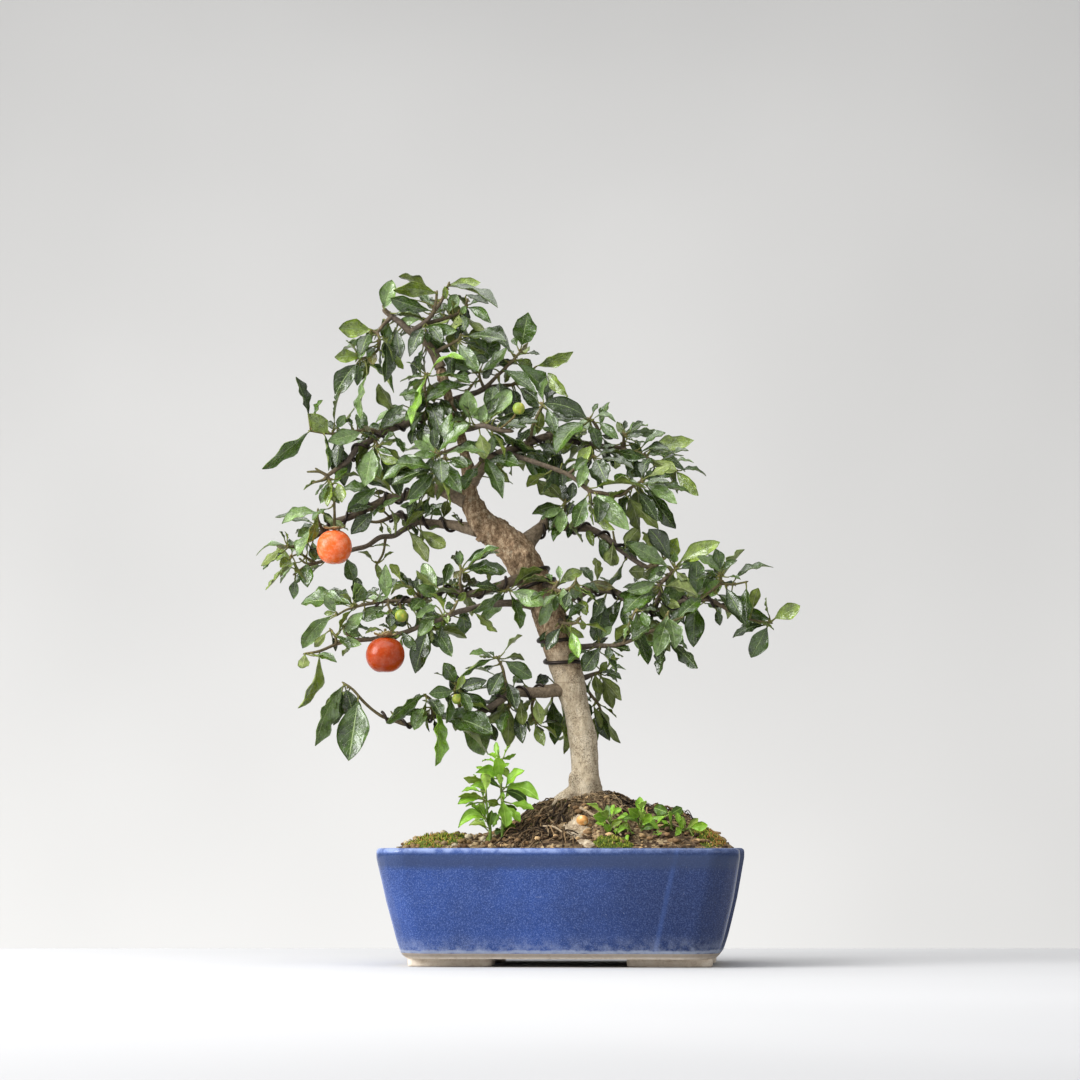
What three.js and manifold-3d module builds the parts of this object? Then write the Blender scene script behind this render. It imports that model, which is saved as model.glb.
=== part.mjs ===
// A persimmon bonsai in a blue glazed pot: the pot with its feet and drain screens, the soil and moss,
// the trunk, the wired limbs with their leaves, the fruit, and the seedlings on the soil.
// Millimetres, +Z up. X runs along the pot, Y from its front to its back, and it stands on Z = 0.
import * as THREE from 'three';
import { mergeVertices } from 'three/addons/utils/BufferGeometryUtils.js';
import Module from 'manifold-3d';

const wasm = await Module();
wasm.setup();

// Clearances
const GAP = 0.3;                 // between pieces that touch
const LEAF_THICK = 0.7;
// How far a joined surface may move to save triangles, tried in turn until the solid is closed
const SIMPLIFY = [0.1, 0.2, 0.15, 0.05, 0.01, 0];

// Pot
const POT_LENGTH = 265;          // over the rim
const POT_DEPTH = 190;
const POT_HEIGHT = 86;
const POT_WALL = 6;
const POT_CHAMFER = 19;          // cut corner, along each side
const FOOT_HEIGHT = 6;
const FOOT_SIZE = [62, 32];
const FOOT_PLACE = [80, 45];     // middle of a foot, from the pot's middle
const FLOOR_TOP = 15;            // the inside floor's height
const DRAIN_DIAMETER = 16;
const DRAIN_X = 62;
const SCREEN = [26, 26, 1.2];
// Half lengths of the outside at rising heights: underside, rounded foot line, slanted wall, lip
const POT_PROFILE = [[6, 113], [8, 115.7], [12, 117.3], [20, 119.8], [48, 126.6], [72, 131.2], [79, 132.5],
  [86, 132.5]];
const LIP_BOTTOM = 78;

// Soil: height of its ridge along the length, falling off to the front and the back
const SOIL_EDGE = 81;
const SOIL_RIDGE = [[-128, 84], [-110, 92], [-80, 95], [-60, 95], [-45, 98], [-32, 108], [-20, 117], [0, 122],
  [22, 126], [38, 124], [52, 118], [75, 114], [90, 110], [105, 99], [120, 90], [128, 85]];
const SOIL_FALL = 1.2;
const SOIL_STEPS = [14, 6];

// The tree is turned by TURN on the pot and is laid out in its own front plane, as it is seen from a
// standing point at EYE in front of it. A place is [across, behind the plane, height].
const TURN = THREE.MathUtils.degToRad(4.5);
const EYE_DISTANCE = 2600;
const EYE_ACROSS = -15;
const EYE_HEIGHT = 87;
const PLANE_MIDDLE = 3.5;        // the pot's middle in the front plane

const ACROSS = new THREE.Vector3(Math.cos(TURN), Math.sin(TURN), 0);
const AWAY = new THREE.Vector3(-Math.sin(TURN), Math.cos(TURN), 0);
const UP = new THREE.Vector3(0, 0, 1);

// Leaves and wire
const STALK_WIDTH = 1.4;
const ROOT_SLIP = 1.6;           // how far apart leaves of one bud sit along the twig
// Ways a leaf may lean in depth and roll, tried in turn until it crosses nothing
const LEANS = [1, -1, 0.5, -0.5, 1.6, -1.6, 2.2, -2.2].flatMap((lean) => [[lean, 1], [lean, -1]]);
const WIRE_STEPS = 5;            // steps a turn
const WIRE_CLEAR = 0.4;          // from the bark
const FRUIT_STALK_RADIUS = 1;

// Trunk: [across, behind, height, radius]
const TRUNK = [[23, 2, 52, 22], [22, 1, 84, 21], [21, 0, 108, 17], [20.5, 0, 118, 14.5], [20, 0, 126, 12],
  [19, 0, 140, 10.6], [18, 0, 159, 10.4], [15, 0, 178, 10.2], [11, 0, 194, 10.5], [7, -1, 209, 11.4],
  [3, -1, 225, 12.2], [-2, -2, 242, 12.6], [-8, -2, 260, 12.6], [-15, -2, 278, 12.4], [-24, -1, 293, 12.8],
  [-31, 0, 306, 13.2], [-42, 2, 317, 12.4], [-53, 3, 325, 11.2], [-62, 3, 335, 9], [-67, 3, 346, 7.4],
  [-68.5, 3, 356, 6], [-69, 2, 366, 5], [-72, 2, 382, 4.2], [-74, 2, 394, 3.8], [-78, 2, 407, 3.6],
  [-83, 1, 422, 3.6], [-87, 1, 434, 3.7], [-90, 0, 447, 3.5]];
const ROOTS = [
  [[12, -3, 130, 5], [4, -8, 122, 7], [-3, -14, 114, 6.5], [-9, -20, 105, 5], [-16, -26, 94, 4]],
  [[20, -6, 118, 8], [15, -34, 106, 8.5], [16, -50, 98, 8.5], [22, -60, 91, 7], [30, -68, 82, 5]],
  [[24, 4, 118, 8], [30, 26, 110, 7], [40, 44, 100, 6], [52, 58, 86, 4]],
  [[28, 0, 124, 6], [40, 4, 118, 5.5], [54, 8, 108, 5], [70, 10, 96, 4]],
  [[14, 6, 122, 6], [2, 20, 114, 6], [-10, 36, 102, 5], [-22, 50, 88, 4]]];
// [name, wire, from height, to height]
const TRUNK_WIRES = [
  ['wire_trunk_low', { hand: -1, pitch: 17, radius: 1.4 }, 214, 254],
  ['wire_trunk_high', { hand: -1, pitch: 9, radius: 1.4 }, 278, 294]];

// A leaf: [base across, base height, tip across, tip height, seen width, look, arch, tip depth].
// Looks: d dark, m middle green, p pale sheen, o underside, y yellow-green, l lime, b browned.
const SPRAYS = {
  crown: {
    twigs: [
      [[-90, 0, 447, 3.4], [-95, 0, 458, 3.2], [-102, -1, 467, 3], [-111, -2, 473, 2.9],
        [-119, -3, 480, 2.6], [-127, -4, 486, 2.2], [-131, -4, 489, 1.8]],
      [[-127, -4, 486, 2], [-131, -6, 490, 1.5], [-133, -7, 493, 1]],
      [[-113, -2, 474, 2.6], [-104, -6, 480, 2], [-97, -8, 487, 1.6], [-94, -8, 496, 1.2], [-93, -8, 504, 1]],
      [[-104, -6, 480, 2], [-92, -2, 483, 1.6], [-82, 2, 486, 1.4], [-73, 4, 491, 1.1], [-70, 4, 498, 1]],
      [[-97, -8, 487, 1.6], [-90, 2, 497, 1.3], [-86, 4, 506, 1], [-84, 4, 511, 0.9]],
      [[-127, -4, 486, 2], [-133, -8, 480, 1.5], [-138, -10, 474, 1.2], [-141, -10, 475, 1],
        [-143, -10, 476, 0.8]],
      [[-138, -10, 474, 1.2], [-136, -12, 467, 1.1], [-138, -13, 460, 1], [-146, -14, 455, 0.9],
        [-151, -14, 454, 0.8]],
      [[-95, 0, 458, 2], [-84, -8, 464, 1.3], [-77, -12, 468, 1], [-75, -12, 472, 0.8]]],
    leaves: [
      [-142, 476, -167, 477, 14, 'y'], [-133, 491, -127, 514, 13, 'p'], [-92, 503, -126, 506, 10, 'y', 3],
      [-97, 490, -128, 500, 9, 'm'], [-108, 499, -124, 494, 6, 'o'], [-105, 484, -123, 481, 7, 'p'],
      [-134, 485, -129, 467, 9, 'p'], [-132, 471, -132, 436, 8, 'd'], [-126, 471, -122, 451, 10, 'm'],
      [-124, 477, -120, 454, 9, 'd'], [-131, 459, -118, 446, 6, 'y'], [-143, 464, -141, 449, 8, 'b'],
      [-150, 456, -170, 455, 10, 'y'], [-141, 471, -160, 466, 4, 'p'], [-145, 444, -150, 408, 5, 'p'],
      [-85, 510, -60, 512, 9, 'y'], [-88, 509, -47, 493, 8, 'd', 4], [-72, 503, -54, 496, 5, 'd'],
      [-86, 499, -87, 509, 5, 'y'], [-84, 489, -78, 503, 9, 'p'], [-75, 487, -71, 494, 5, 'p'],
      [-70, 493, -52, 481, 8, 'm', 3], [-74, 487, -53, 473, 7, 'o'], [-103, 478, -78, 475, 9, 'm'],
      [-79, 484, -97, 485, 6, 'm'], [-102, 474, -86, 467, 7, 'd'], [-101, 471, -83, 459, 7, 'm'],
      [-104, 486, -98, 478, 6, 'd'], [-77, 466, -61, 444, 11, 'm'], [-72, 466, -53, 457, 5, 'd'],
      [-67, 456, -54, 452, 7, 'd']],
  },
  shoot_upper: {
    twigs: [
      [[-83, 1, 421, 2.4], [-73, 6, 425, 2.2], [-63, 10, 428, 2.1], [-57, 12, 431, 2], [-47, 16, 433, 1.7],
        [-36, 18, 434, 1.3]],
      [[-73, 6, 425, 1.4], [-69, 2, 430, 1.1], [-66, -1, 434, 0.9]],
      [[-57, 12, 431, 1.8], [-50, 8, 438, 1.5], [-41, 4, 447, 1.3], [-35, 2, 453, 1.1], [-30, 0, 459, 0.9]],
      [[-57, 12, 431, 1.3], [-60, 10, 438, 1], [-61, 8, 444, 0.8]],
      [[-36, 18, 434, 1.2], [-27, 16, 440, 1], [-19, 14, 447, 0.8]]],
    leaves: [
      [-60, 444, -40, 462, 8, 'p', -3], [-62, 446, -88, 454, 9, 'm'], [-66, 443, -78, 442, 6, 'd'],
      [-50, 447, -58, 439, 6, 'd'], [-66, 434, -101, 421, 9, 'm', 3], [-29, 463, -24, 489, 18, 'm'],
      [-30, 459, -24, 466, 3, 'b'], [-34, 451, -46, 450, 7, 'd'], [-33, 453, -21, 447, 9, 'y'],
      [-33, 451, -5, 422, 12, 'm'], [-44, 446, -18, 428, 10, 'm'], [-18, 448, 10, 459, 9, 'y'],
      [-31, 432, -16, 415, 8, 'm'], [-35, 430, -31, 420, 7, 'd']],
  },
  shoot_middle: {
    twigs: [[[-75, 0, 400, 2.2], [-66, -14, 401, 2], [-58, -24, 403, 1.9], [-47, -27, 400, 1.9],
        [-38, -28, 399, 1.6]]],
    leaves: [
      [-56, 406, -37, 430, 13, 'p'], [-60, 405, -57, 419, 8, 'p'], [-68, 407, -70, 430, 13, 'p'],
      [-74, 413, -80, 424, 5, 'd'], [-66, 406, -88, 397, 6, 'p'], [-58, 410, -46, 424, 8, 'd'],
      [-50, 409, -22, 411, 7, 'd'], [-46, 406, -25, 402, 7, 'd'], [-55, 399, -42, 391, 5, 'm']],
  },
  limb_left_top: {
    wire: { hand: 1, pitch: 16, radius: 1.1, start: 14, reach: 0.8 },
    bare: 14,
    sides: 4,
    twigs: [
      [[-83, 2, 418, 3.2], [-90, 4, 414, 3.2], [-101, 4, 410, 3.1], [-109, 3, 408, 3], [-117, 2, 404, 2.8],
        [-131, -2, 399, 2.6], [-142, -6, 392, 2.4], [-152, -10, 386, 2.4], [-160, -14, 376, 2.2],
        [-167, -17, 371, 1.7], [-175, -20, 365, 1.4]],
      [[-101, 4, 410, 1.8], [-100, -4, 420, 1.4], [-102, -8, 432, 1.1], [-100, -9, 442, 0.8]],
      [[-136, -4, 396, 1.6], [-142, -10, 400, 1.3], [-160, -14, 398, 1.2], [-174, -18, 397, 1],
        [-188, -20, 399, 0.8]],
      [[-175, -20, 365, 1.3], [-183, -22, 370, 0.8]],
      [[-175, -20, 365, 1.3], [-181, -18, 368, 1], [-189, -18, 368, 0.8]],
      [[-175, -20, 365, 1.3], [-178, -22, 362, 1], [-185, -24, 360, 0.8]],
      [[-175, -20, 365, 1.3], [-172, -21, 358, 1.1], [-170, -21.5, 350, 1.1], [-169.5, -22, 337, 1]],
      [[-140, -5, 394, 1.3], [-138, -10, 390, 1], [-138, -12, 386, 0.8]]],
    leaves: [
      [-101, 441, -112, 404, 5, 'l', -5], [-100, 440, -111, 430, 6, 'y'], [-102, 433, -107, 412, 10, 'm'],
      [-99, 441, -71, 453, 4, 'l', 7], [-103, 429, -121, 426, 4, 'm'], [-112, 413, -140, 403, 5, 'p', 5],
      [-117, 420, -135, 400, 10, 'm'], [-135, 401, -114, 411, 7, 'd'], [-114, 416, -106, 413, 4, 'd'],
      [-90, 424, -83, 410, 10, 'd'], [-101, 412, -92, 407, 4, 'b'], [-109, 406, -91, 385, 14, 'd'],
      [-110, 404, -112, 389, 7, 'd'], [-188, 399, -224, 370, 6, 'm', 3], [-189, 410, -199, 440, 5, 'd'],
      [-174, 397, -189, 412, 13, 'y'], [-168, 401, -162, 411, 7, 'm'], [-149, 398, -175, 391, 12, 'p'],
      [-177, 397, -174, 369, 4, 'm', -3], [-155, 382, -167, 373, 5, 'b'], [-141, 387, -147, 357, 15, 'p'],
      [-139, 386, -143, 361, 8, 'm'], [-137, 383, -120, 376, 7, 'y', -3], [-139, 386, -127, 381, 4, 'm'],
      [-142, 398, -148, 403, 4, 'b'], [-141, 398, -150, 394, 5, 'm'], [-172, 361, -175, 342, 6, 'y'],
      [-167, 360, -164, 345, 9, 'y'], [-175, 358, -180, 344, 6, 'p'], [-171, 358, -160, 371, 6, 'l']],
  },
  spray_front_left: {
    twigs: [[[-72, -2, 388, 1.8], [-78, -20, 386, 1.6], [-86, -32, 383, 1.4], [-94, -36, 381, 1.1]],
        [[-86, -32, 383, 1.3], [-88, -36, 374, 1.1], [-92, -38, 367, 0.9]]],
    leaves: [
      [-96, 384, -110, 391, 7, 'p'], [-95, 382, -110, 381, 6, 'p'], [-92, 383, -68, 404, 8, 'm'],
      [-97, 381, -134, 361, 8, 'm'], [-95, 380, -98, 372, 6, 'p'], [-92, 378, -74, 352, 13, 'm'],
      [-84, 375, -66, 375, 9, 'm'], [-90, 378, -84, 374, 3, 'd'], [-94, 369, -115, 347, 11, 'm'],
      [-96, 361, -114, 343, 7, 'p'], [-97, 371, -108, 363, 5, 'm'], [-95, 364, -88, 358, 5, 'o']],
  },
  limb_left_upper: {
    wire: { hand: -1, pitch: 16, radius: 1.1, start: 14, reach: 0.8 },
    bare: 14,
    sides: 4,
    twigs: [
      [[-70, 4, 346, 5], [-82, 8, 351, 4.6], [-93, 11, 355, 4.3], [-105, 12, 354, 3.8],
        [-118, 11, 349, 3.4], [-129, 9, 348, 3.2], [-139, 6, 343, 3.2], [-150, 3, 338, 3],
        [-160, 1, 333, 2.7], [-170, 0, 330, 2.3], [-178, -2, 323, 1.9], [-187, -6, 317, 1.5],
        [-195, -9, 313, 1.2], [-203, -12, 311, 0.9]],
      [[-178, -2, 323, 1.5], [-182, -8, 332, 1.1], [-182, -10, 339, 0.8]],
      [[-203, -12, 311, 0.9], [-208, -13, 312, 0.8]]],
    leaves: [
      [-182, 337, -209, 329, 9, 'p', 3], [-182, 336, -190, 314, 6, 'y', -3], [-178, 338, -172, 329, 7, 'm'],
      [-188, 326, -197, 319, 7, 'p'], [-205, 310, -213, 312, 3, 'b'], [-205, 312, -228, 305, 4, 'm', 4],
      [-186, 316, -184, 301, 8, 'p'], [-140, 338, -157, 321, 12, 'd'], [-137, 357, -160, 338, 11, 'm'],
      [-141, 342, -159, 339, 6, 'd'], [-131, 353, -140, 352, 4, 'b'], [-119, 349, -134, 341, 5, 'p'],
      [-97, 349, -111, 335, 7, 'y'], [-110, 343, -120, 342, 5, 'p']],
  },
  limb_left_middle: {
    wire: { hand: 1, pitch: 16, radius: 1.1, start: 14, reach: 0.8 },
    bare: 14,
    sides: 4,
    twigs: [
      [[-62, 6, 324, 4], [-72, 12, 326, 3.8], [-82, 17, 328, 3.5], [-95, 20, 329, 3.2],
        [-106, 22, 331, 2.8], [-116, 24, 334, 2.4], [-124, 25, 335, 2], [-131, 24, 332, 1.5],
        [-138, 23, 330, 1.2], [-146, 22, 331, 0.9]],
      [[-106, 22, 331, 2.5], [-112, 19, 327, 2.3], [-118, 17, 324, 2.2], [-125, 15, 319.5, 2.1],
        [-135, 14, 318.5, 2], [-145, 13, 312, 1.9], [-156, 12, 309, 1.8], [-170, 10, 304, 1.6],
        [-180, 7, 300, 1.4], [-190, 4, 297, 1.2], [-199, 1, 291, 0.9]],
      [[-131, 15, 318, 1], [-133, 12, 306, 0.9], [-138, 8, 297, 0.9], [-137, 5, 291, 0.8],
        [-134.5, 3, 285, 0.7]],
      [[-184, 6, 299.5, 1], [-190, 2, 303, 0.9], [-195, -1, 306, 0.8], [-202, -3, 304, 0.7]],
      [[-186, 6, 298.6, 1], [-191, 6, 299, 0.9], [-195, 8, 302, 0.8]]],
    leaves: [
      [-114, 324, -99, 300, 9, 'o'], [-106, 324, -86, 311, 11, 'o'], [-119, 332, -113, 326, 6, 'o'],
      [-88, 334, -98, 336, 6, 'm', 3], [-95, 341, -105, 335, 3, 'm'], [-130, 328, -127, 321, 3, 'y'],
      [-202, 303, -214, 307, 11, 'y'], [-202, 302, -210, 296, 10, 'y'], [-206, 299, -221, 279, 4, 'y', -3],
      [-201, 297, -210, 284, 3, 'p'], [-190, 295, -200, 282, 5, 'd'], [-160, 303, -155, 286, 11, 'm'],
      [-134, 285, -137, 298, 5, 'y']],
  },
  limb_left_low: {
    wire: { hand: -1, pitch: 16, radius: 1.1, start: 14, reach: 0.8 },
    bare: 14,
    sides: 4,
    twigs: [
      [[-27, -6, 288, 3.6], [-37, -14, 285, 3.4], [-45, -19, 282, 3.2], [-54, -22, 279.5, 3],
        [-63, -23, 276.5, 2.8], [-73, -23, 276, 2.6], [-84, -22, 279, 2.3], [-93, -22, 276, 2.1],
        [-104, -23, 273, 2], [-114, -24, 270.5, 1.8], [-128, -25, 270.5, 1.5], [-140, -26, 269, 1.3],
        [-150, -27, 267, 1.1], [-160, -28, 264, 0.9], [-167, -28, 260, 0.8]],
      [[-128, -25, 270.5, 1.2], [-129, -28, 268, 1], [-127, -30, 263, 0.8]],
      [[-104, -23, 273, 1.2], [-109, -30, 277, 1], [-112, -33, 281, 0.8], [-117, -34, 282, 0.7]],
      [[-73, -23, 276, 1.6], [-75, -30, 285, 1.2], [-74, -32, 293, 0.9]],
      [[-38, -15, 284.6, 1.6], [-39, -21, 281, 1.3], [-40, -25, 278, 1]]],
    leaves: [
      [-147, 270, -154, 284, 12, 'p'], [-168, 262, -177, 275, 8, 'p'], [-168, 262, -177, 261, 4, 'y'],
      [-170, 260, -193, 235, 11, 'p', 6], [-131, 267, -149, 257, 11, 'p'], [-127, 262, -127, 251, 8, 'd'],
      [-130, 271, -131, 298, 10, 'p'], [-139, 270, -130, 274, 4, 'p'], [-129, 270, -115, 272, 5, 'm', 2],
      [-124, 268, -115, 264, 4, 'p'], [-73, 295, -40, 293, 11, 'm'], [-71, 300, -53, 309, 8, 'm'],
      [-70, 292, -45, 291, 5, 'd', 2], [-74, 294, -80, 288, 5, 'b'], [-73, 293, -69, 285, 7, 'b'],
      [-42, 278, -66, 262, 7, 'm'], [-41, 277, -60, 256, 8, 'p'], [-77, 272, -85, 280, 6, 'y'],
      [-76, 270, -71, 277, 6, 'y'], [-72, 279, -84, 282, 4, 'm'], [-92, 276, -103, 299, 11, 'p'],
      [-91, 274, -107, 282, 9, 'p'], [-104, 273, -107, 290, 7, 'd'], [-109, 276, -115, 279, 6, 'y'],
      [-113, 281, -127, 275, 3, 'o', 3], [-95, 271, -107, 269, 5, 'b'], [-37, 278, -10, 268, 13, 'p']],
  },
  limb_left_lower: {
    twigs: [
      [[-22, -10, 268, 3], [-38, -18, 269, 2.6], [-52, -26, 268, 2.4], [-66, -34, 265, 2.2],
        [-78, -38, 262, 2], [-90, -38, 257, 2], [-104, -34, 252, 1.9], [-116, -30, 247, 1.9],
        [-128, -28, 244.5, 1.8], [-140, -28, 242, 1.7], [-150, -29, 241, 1.6], [-160, -31, 240, 1.4],
        [-168, -33, 238, 1.3], [-180, -36, 233, 1.1], [-191, -38, 231, 0.8]],
      [[-168, -33, 238, 1.1], [-168, -35, 243, 1], [-172, -37, 249, 0.8]],
      [[-156, -30, 240.5, 1.1], [-160, -30, 246, 1], [-163, -30, 252, 0.8]],
      [[-84, -38, 259.6, 1.2], [-80, -42, 264, 1], [-77, -44, 270, 0.8]]],
    leaves: [
      [-73, 264, -71, 246, 11, 'm'], [-83, 256, -95, 253, 8, 'l'], [-87, 263, -84, 254, 5, 'y'],
      [-79, 267, -86, 267, 6, 'd'], [-92, 268, -108, 258, 8, 'p'], [-94, 262, -106, 244, 10, 'p'],
      [-108, 264, -99, 234, 11, 'p'], [-97, 248, -90, 236, 8, 'd'], [-175, 247, -184, 236, 6, 'o'],
      [-191, 231, -193, 220, 9, 'o'], [-180, 231, -196, 190, 7, 'y', -3], [-166, 241, -149, 238, 8, 'p'],
      [-163, 246, -148, 262, 9, 'p'], [-148, 244, -163, 250, 9, 'p'], [-132, 247, -146, 246, 3, 'o', 4],
      [-113, 254, -124, 254, 6, 'd'], [-119, 248, -108, 233, 8, 'm'], [-124, 247, -133, 245, 4, 'p']],
  },
  limb_left_bottom: {
    wire: { hand: 1, pitch: 16, radius: 1.1, start: 14, reach: 0.8 },
    bare: 14,
    sides: 4,
    twigs: [
      [[-1, -4, 204, 4.4], [-9, -8, 203, 4.2], [-18, -12, 202, 4], [-27, -16, 202, 3.4], [-35, -18, 201, 3],
        [-43, -18, 197, 2.8], [-52, -17, 191, 2.6], [-62, -15, 186, 2.5], [-75, -14, 184, 2.4],
        [-85, -15, 184, 2.2], [-95, -17, 184, 2], [-105, -20, 181, 1.8], [-114, -23, 178, 1.5],
        [-122, -26, 180, 1.3], [-133, -29, 184, 1.2], [-145, -32, 193, 1.1], [-155, -34, 204, 1],
        [-162, -35, 209, 0.8]],
      [[-37, -18, 200.5, 1.5], [-41, -24, 211, 1.2], [-43, -26, 220, 1.1], [-47, -27, 228, 0.8]],
      [[-73, -14, 184.2, 1.4], [-76, -20, 194, 1.2], [-79, -23, 203, 1], [-77, -24, 208, 0.8]],
      [[-95, -17, 184, 1.3], [-96, -21, 191, 1.1], [-96, -23, 196, 1], [-101, -24, 200, 0.8]],
      [[-18, -12, 202, 1.6], [-21, -8, 192, 1.2], [-20, -4, 184, 1], [-18, -2, 180, 0.8]],
      [[-35, -18, 201, 1.4], [-36, -13, 196, 1.2], [-38, -10, 192, 0.9]],
      [[-118, -24.5, 179, 1], [-123, -24, 183, 0.8], [-126, -24, 187, 0.7]],
      [[-151, -33, 199.6, 0.9], [-151, -36, 198, 0.8]]],
    leaves: [
      [-100, 201, -130, 179, 7, 'm', 4], [-103, 191, -109, 174, 12, 'p'], [-102, 189, -122, 188, 6, 'm'],
      [-97, 190, -103, 180, 6, 'b'], [-92, 192, -93, 147, 10, 'l'], [-82, 200, -85, 179, 5, 'm', -2],
      [-79, 203, -98, 201, 10, 'm'], [-78, 209, -87, 224, 11, 'm'], [-78, 203, -72, 216, 5, 'y'],
      [-75, 205, -55, 211, 10, 'd'], [-74, 203, -53, 188, 10, 'm'], [-70, 190, -57, 155, 19, 'p'],
      [-49, 227, -74, 214, 4, 'm', 4], [-49, 222, -58, 219, 4, 'd'], [-43, 218, -53, 200, 12, 'd'],
      [-41, 212, -44, 197, 11, 'p'], [-42, 226, -21, 213, 12, 'm'], [-29, 205, -39, 192, 9, 'p'],
      [-27, 209, -35, 214, 6, 'd'], [-41, 196, -54, 178, 8, 'o'], [-38, 191, -39, 161, 12, 'o'],
      [-32, 190, -28, 164, 10, 'd'], [-18, 190, -22, 177, 7, 'y'], [-19, 178, -12, 162, 8, 'y'],
      [-18, 197, -14, 178, 9, 'o'], [-162, 208, -183, 162, 13, 'p', 8], [-157, 204, -176, 185, 14, 'o'],
      [-151, 197, -158, 151, 24, 'm']],
  },
  limb_right_top: {
    wire: { hand: 1, pitch: 16, radius: 1.1, start: 14, reach: 0.8 },
    bare: 14,
    sides: 4,
    twigs: [
      [[-67, 2, 362, 5], [-61, -2, 369, 4.4], [-55, -4, 376, 3.9], [-44, -5, 382, 3.4], [-30, -4, 387, 3],
        [-9, 0, 395, 2.8], [2, 3, 393, 2.6], [11, 5, 391, 2.4], [28, 6, 387.5, 2.2], [37, 6, 387, 2],
        [47, 5, 386, 1.6]],
      [[-57, -4, 374, 1.8], [-60, -12, 378, 1.3], [-57, -16, 381, 0.9]],
      [[-25, -3, 389, 1.4], [-22, -8, 395, 1.2], [-20, -10, 404, 1.1], [-13, -10, 419, 0.8]],
      [[-25, -3, 389, 1.4], [-23, -10, 387, 1]],
      [[28, 6, 387.5, 1.8], [29, 4, 398, 1.6], [26, 2, 405, 1.3], [22, 0, 408, 0.9]],
      [[47, 5, 386, 1.6], [53, 2, 383, 1.4], [60, 0, 382, 1.2], [67, -2, 378, 1.1], [77, -4, 373, 1],
        [87, -5, 369, 0.8]],
      [[47, 5, 386, 1.4], [48, 2, 391, 1.2], [48, 0, 396, 0.9]]],
    leaves: [
      [-57, 380, -43, 348, 12, 'm'], [-55, 378, -38, 360, 8, 'o'], [-54, 389, -40, 389, 5, 'm'],
      [-24, 386, -18, 364, 10, 'm'], [-21, 387, -6, 360, 12, 'm'], [-24, 387, -37, 377, 9, 'd'],
      [-17, 389, 2, 382, 8, 'd'], [10, 390, -6, 380, 7, 'y'], [7, 424, -9, 443, 8, 'y'],
      [22, 407, -12, 420, 14, 'd', 4], [24, 407, 42, 406, 4, 'm', 4], [48, 396, 43, 406, 6, 'y'],
      [29, 406, 44, 393, 8, 'm'], [31, 396, 40, 393, 4, 'd'], [50, 397, 76, 396, 4, 'p', 3],
      [51, 395, 63, 396, 4, 'd'], [51, 391, 62, 382, 6, 'm'], [65, 384, 101, 392, 13, 'y'],
      [40, 384, 65, 379, 8, 'm'], [68, 377, 88, 369, 10, 'o'], [87, 369, 104, 350, 9, 'y'],
      [90, 369, 110, 365, 4, 'm', 2], [86, 367, 71, 361, 4, 'm'], [69, 376, 50, 365, 11, 'm'],
      [46, 382, 60, 371, 8, 'd'], [31, 384, 38, 376, 7, 'd'], [42, 382, 42, 370, 8, 'o'],
      [-10, 417, -3, 398, 9, 'm'], [20, 404, -6, 395, 12, 'm'], [-14, 418, -32, 407, 8, 'd']],
  },
  spray_right_front: {
    twigs: [
      [[-40, -5, 383, 1.9], [-33, -15, 380, 1.9], [-18, -22, 375, 1.8], [6, -28, 366, 1.7],
        [22, -28, 354, 1.6], [32, -28, 352, 1.4], [45, -28, 350, 1.3], [52, -28, 355, 1.2],
        [61, -28, 361, 1]],
      [[22, -28, 354, 1.4], [23, -26, 347, 1.2], [23, -24, 340, 0.9]],
      [[6, -28, 366, 1.4], [14, -24, 372, 1.2], [22, -22, 377, 1], [25, -22, 380, 0.8]]],
    leaves: [
      [24, 388, 13, 375, 9, 'y'], [2, 376, 2, 357, 8, 'd'], [11, 375, 4, 360, 9, 'p'],
      [20, 376, 14, 356, 9, 'p'], [50, 366, 41, 361, 8, 'l'], [27, 378, 35, 360, 14, 'd'],
      [64, 360, 88, 344, 10, 'p'], [66, 357, 87, 325, 12, 'd'], [62, 354, 77, 330, 9, 'm'],
      [52, 348, 74, 325, 9, 'o'], [72, 356, 98, 352, 4, 'm', 1], [64, 363, 80, 360, 6, 'm'],
      [26, 352, 52, 324, 15, 'p'], [23, 341, 41, 324, 6, 'y'], [20, 350, 11, 326, 12, 'm']],
  },
  limb_right_middle: {
    wire: { hand: -1, pitch: 16, radius: 1.1, start: 14, reach: 0.8 },
    bare: 14,
    sides: 4,
    twigs: [
      [[-26, 4, 313, 6], [-22, 7, 318, 5.4], [-16, 10, 324, 4.6], [-9, 13, 329, 3.6], [-1, 15, 328, 3.2],
        [5, 16, 326, 3], [12, 16, 325.5, 2.9], [22, 15, 325, 2.8], [32, 13, 320, 2.6], [40, 11, 313.5, 2.5],
        [50, 8, 306, 2.3], [58, 6, 300, 2], [66, 4, 296, 1.6], [72, 2, 297, 1.2]],
      [[-13, 11, 326.5, 3.4], [-11, 8, 331, 3.6]],
      [[5, 16, 326, 1.4], [3, 6, 332, 1.2], [4, 0, 341, 1.1], [4, -2, 345, 0.8]],
      [[42, 10, 312, 1.2], [41, 12, 316, 1], [40, 13, 322, 0.8]],
      [[66, 4, 296, 1.3], [72, 4, 300, 1.1], [78, 3, 302, 0.8]]],
    leaves: [
      [3, 342, -21, 336, 7, 'm', 3], [5, 344, 4, 356, 12, 'd'], [2, 341, -12, 334, 7, 'p'],
      [2, 341, 0, 322, 10, 'p'], [8, 328, 6, 318, 5, 'd'], [8, 346, 10, 360, 8, 'd'],
      [48, 311, 60, 326, 12, 'o'], [40, 314, 38, 297, 12, 'o'], [20, 326, 25, 312, 6, 'y'],
      [64, 293, 52, 293, 12, 'o'], [79, 302, 88, 318, 14, 'y'], [76, 301, 60, 314, 8, 'm']],
  },
  spray_front: {
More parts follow.
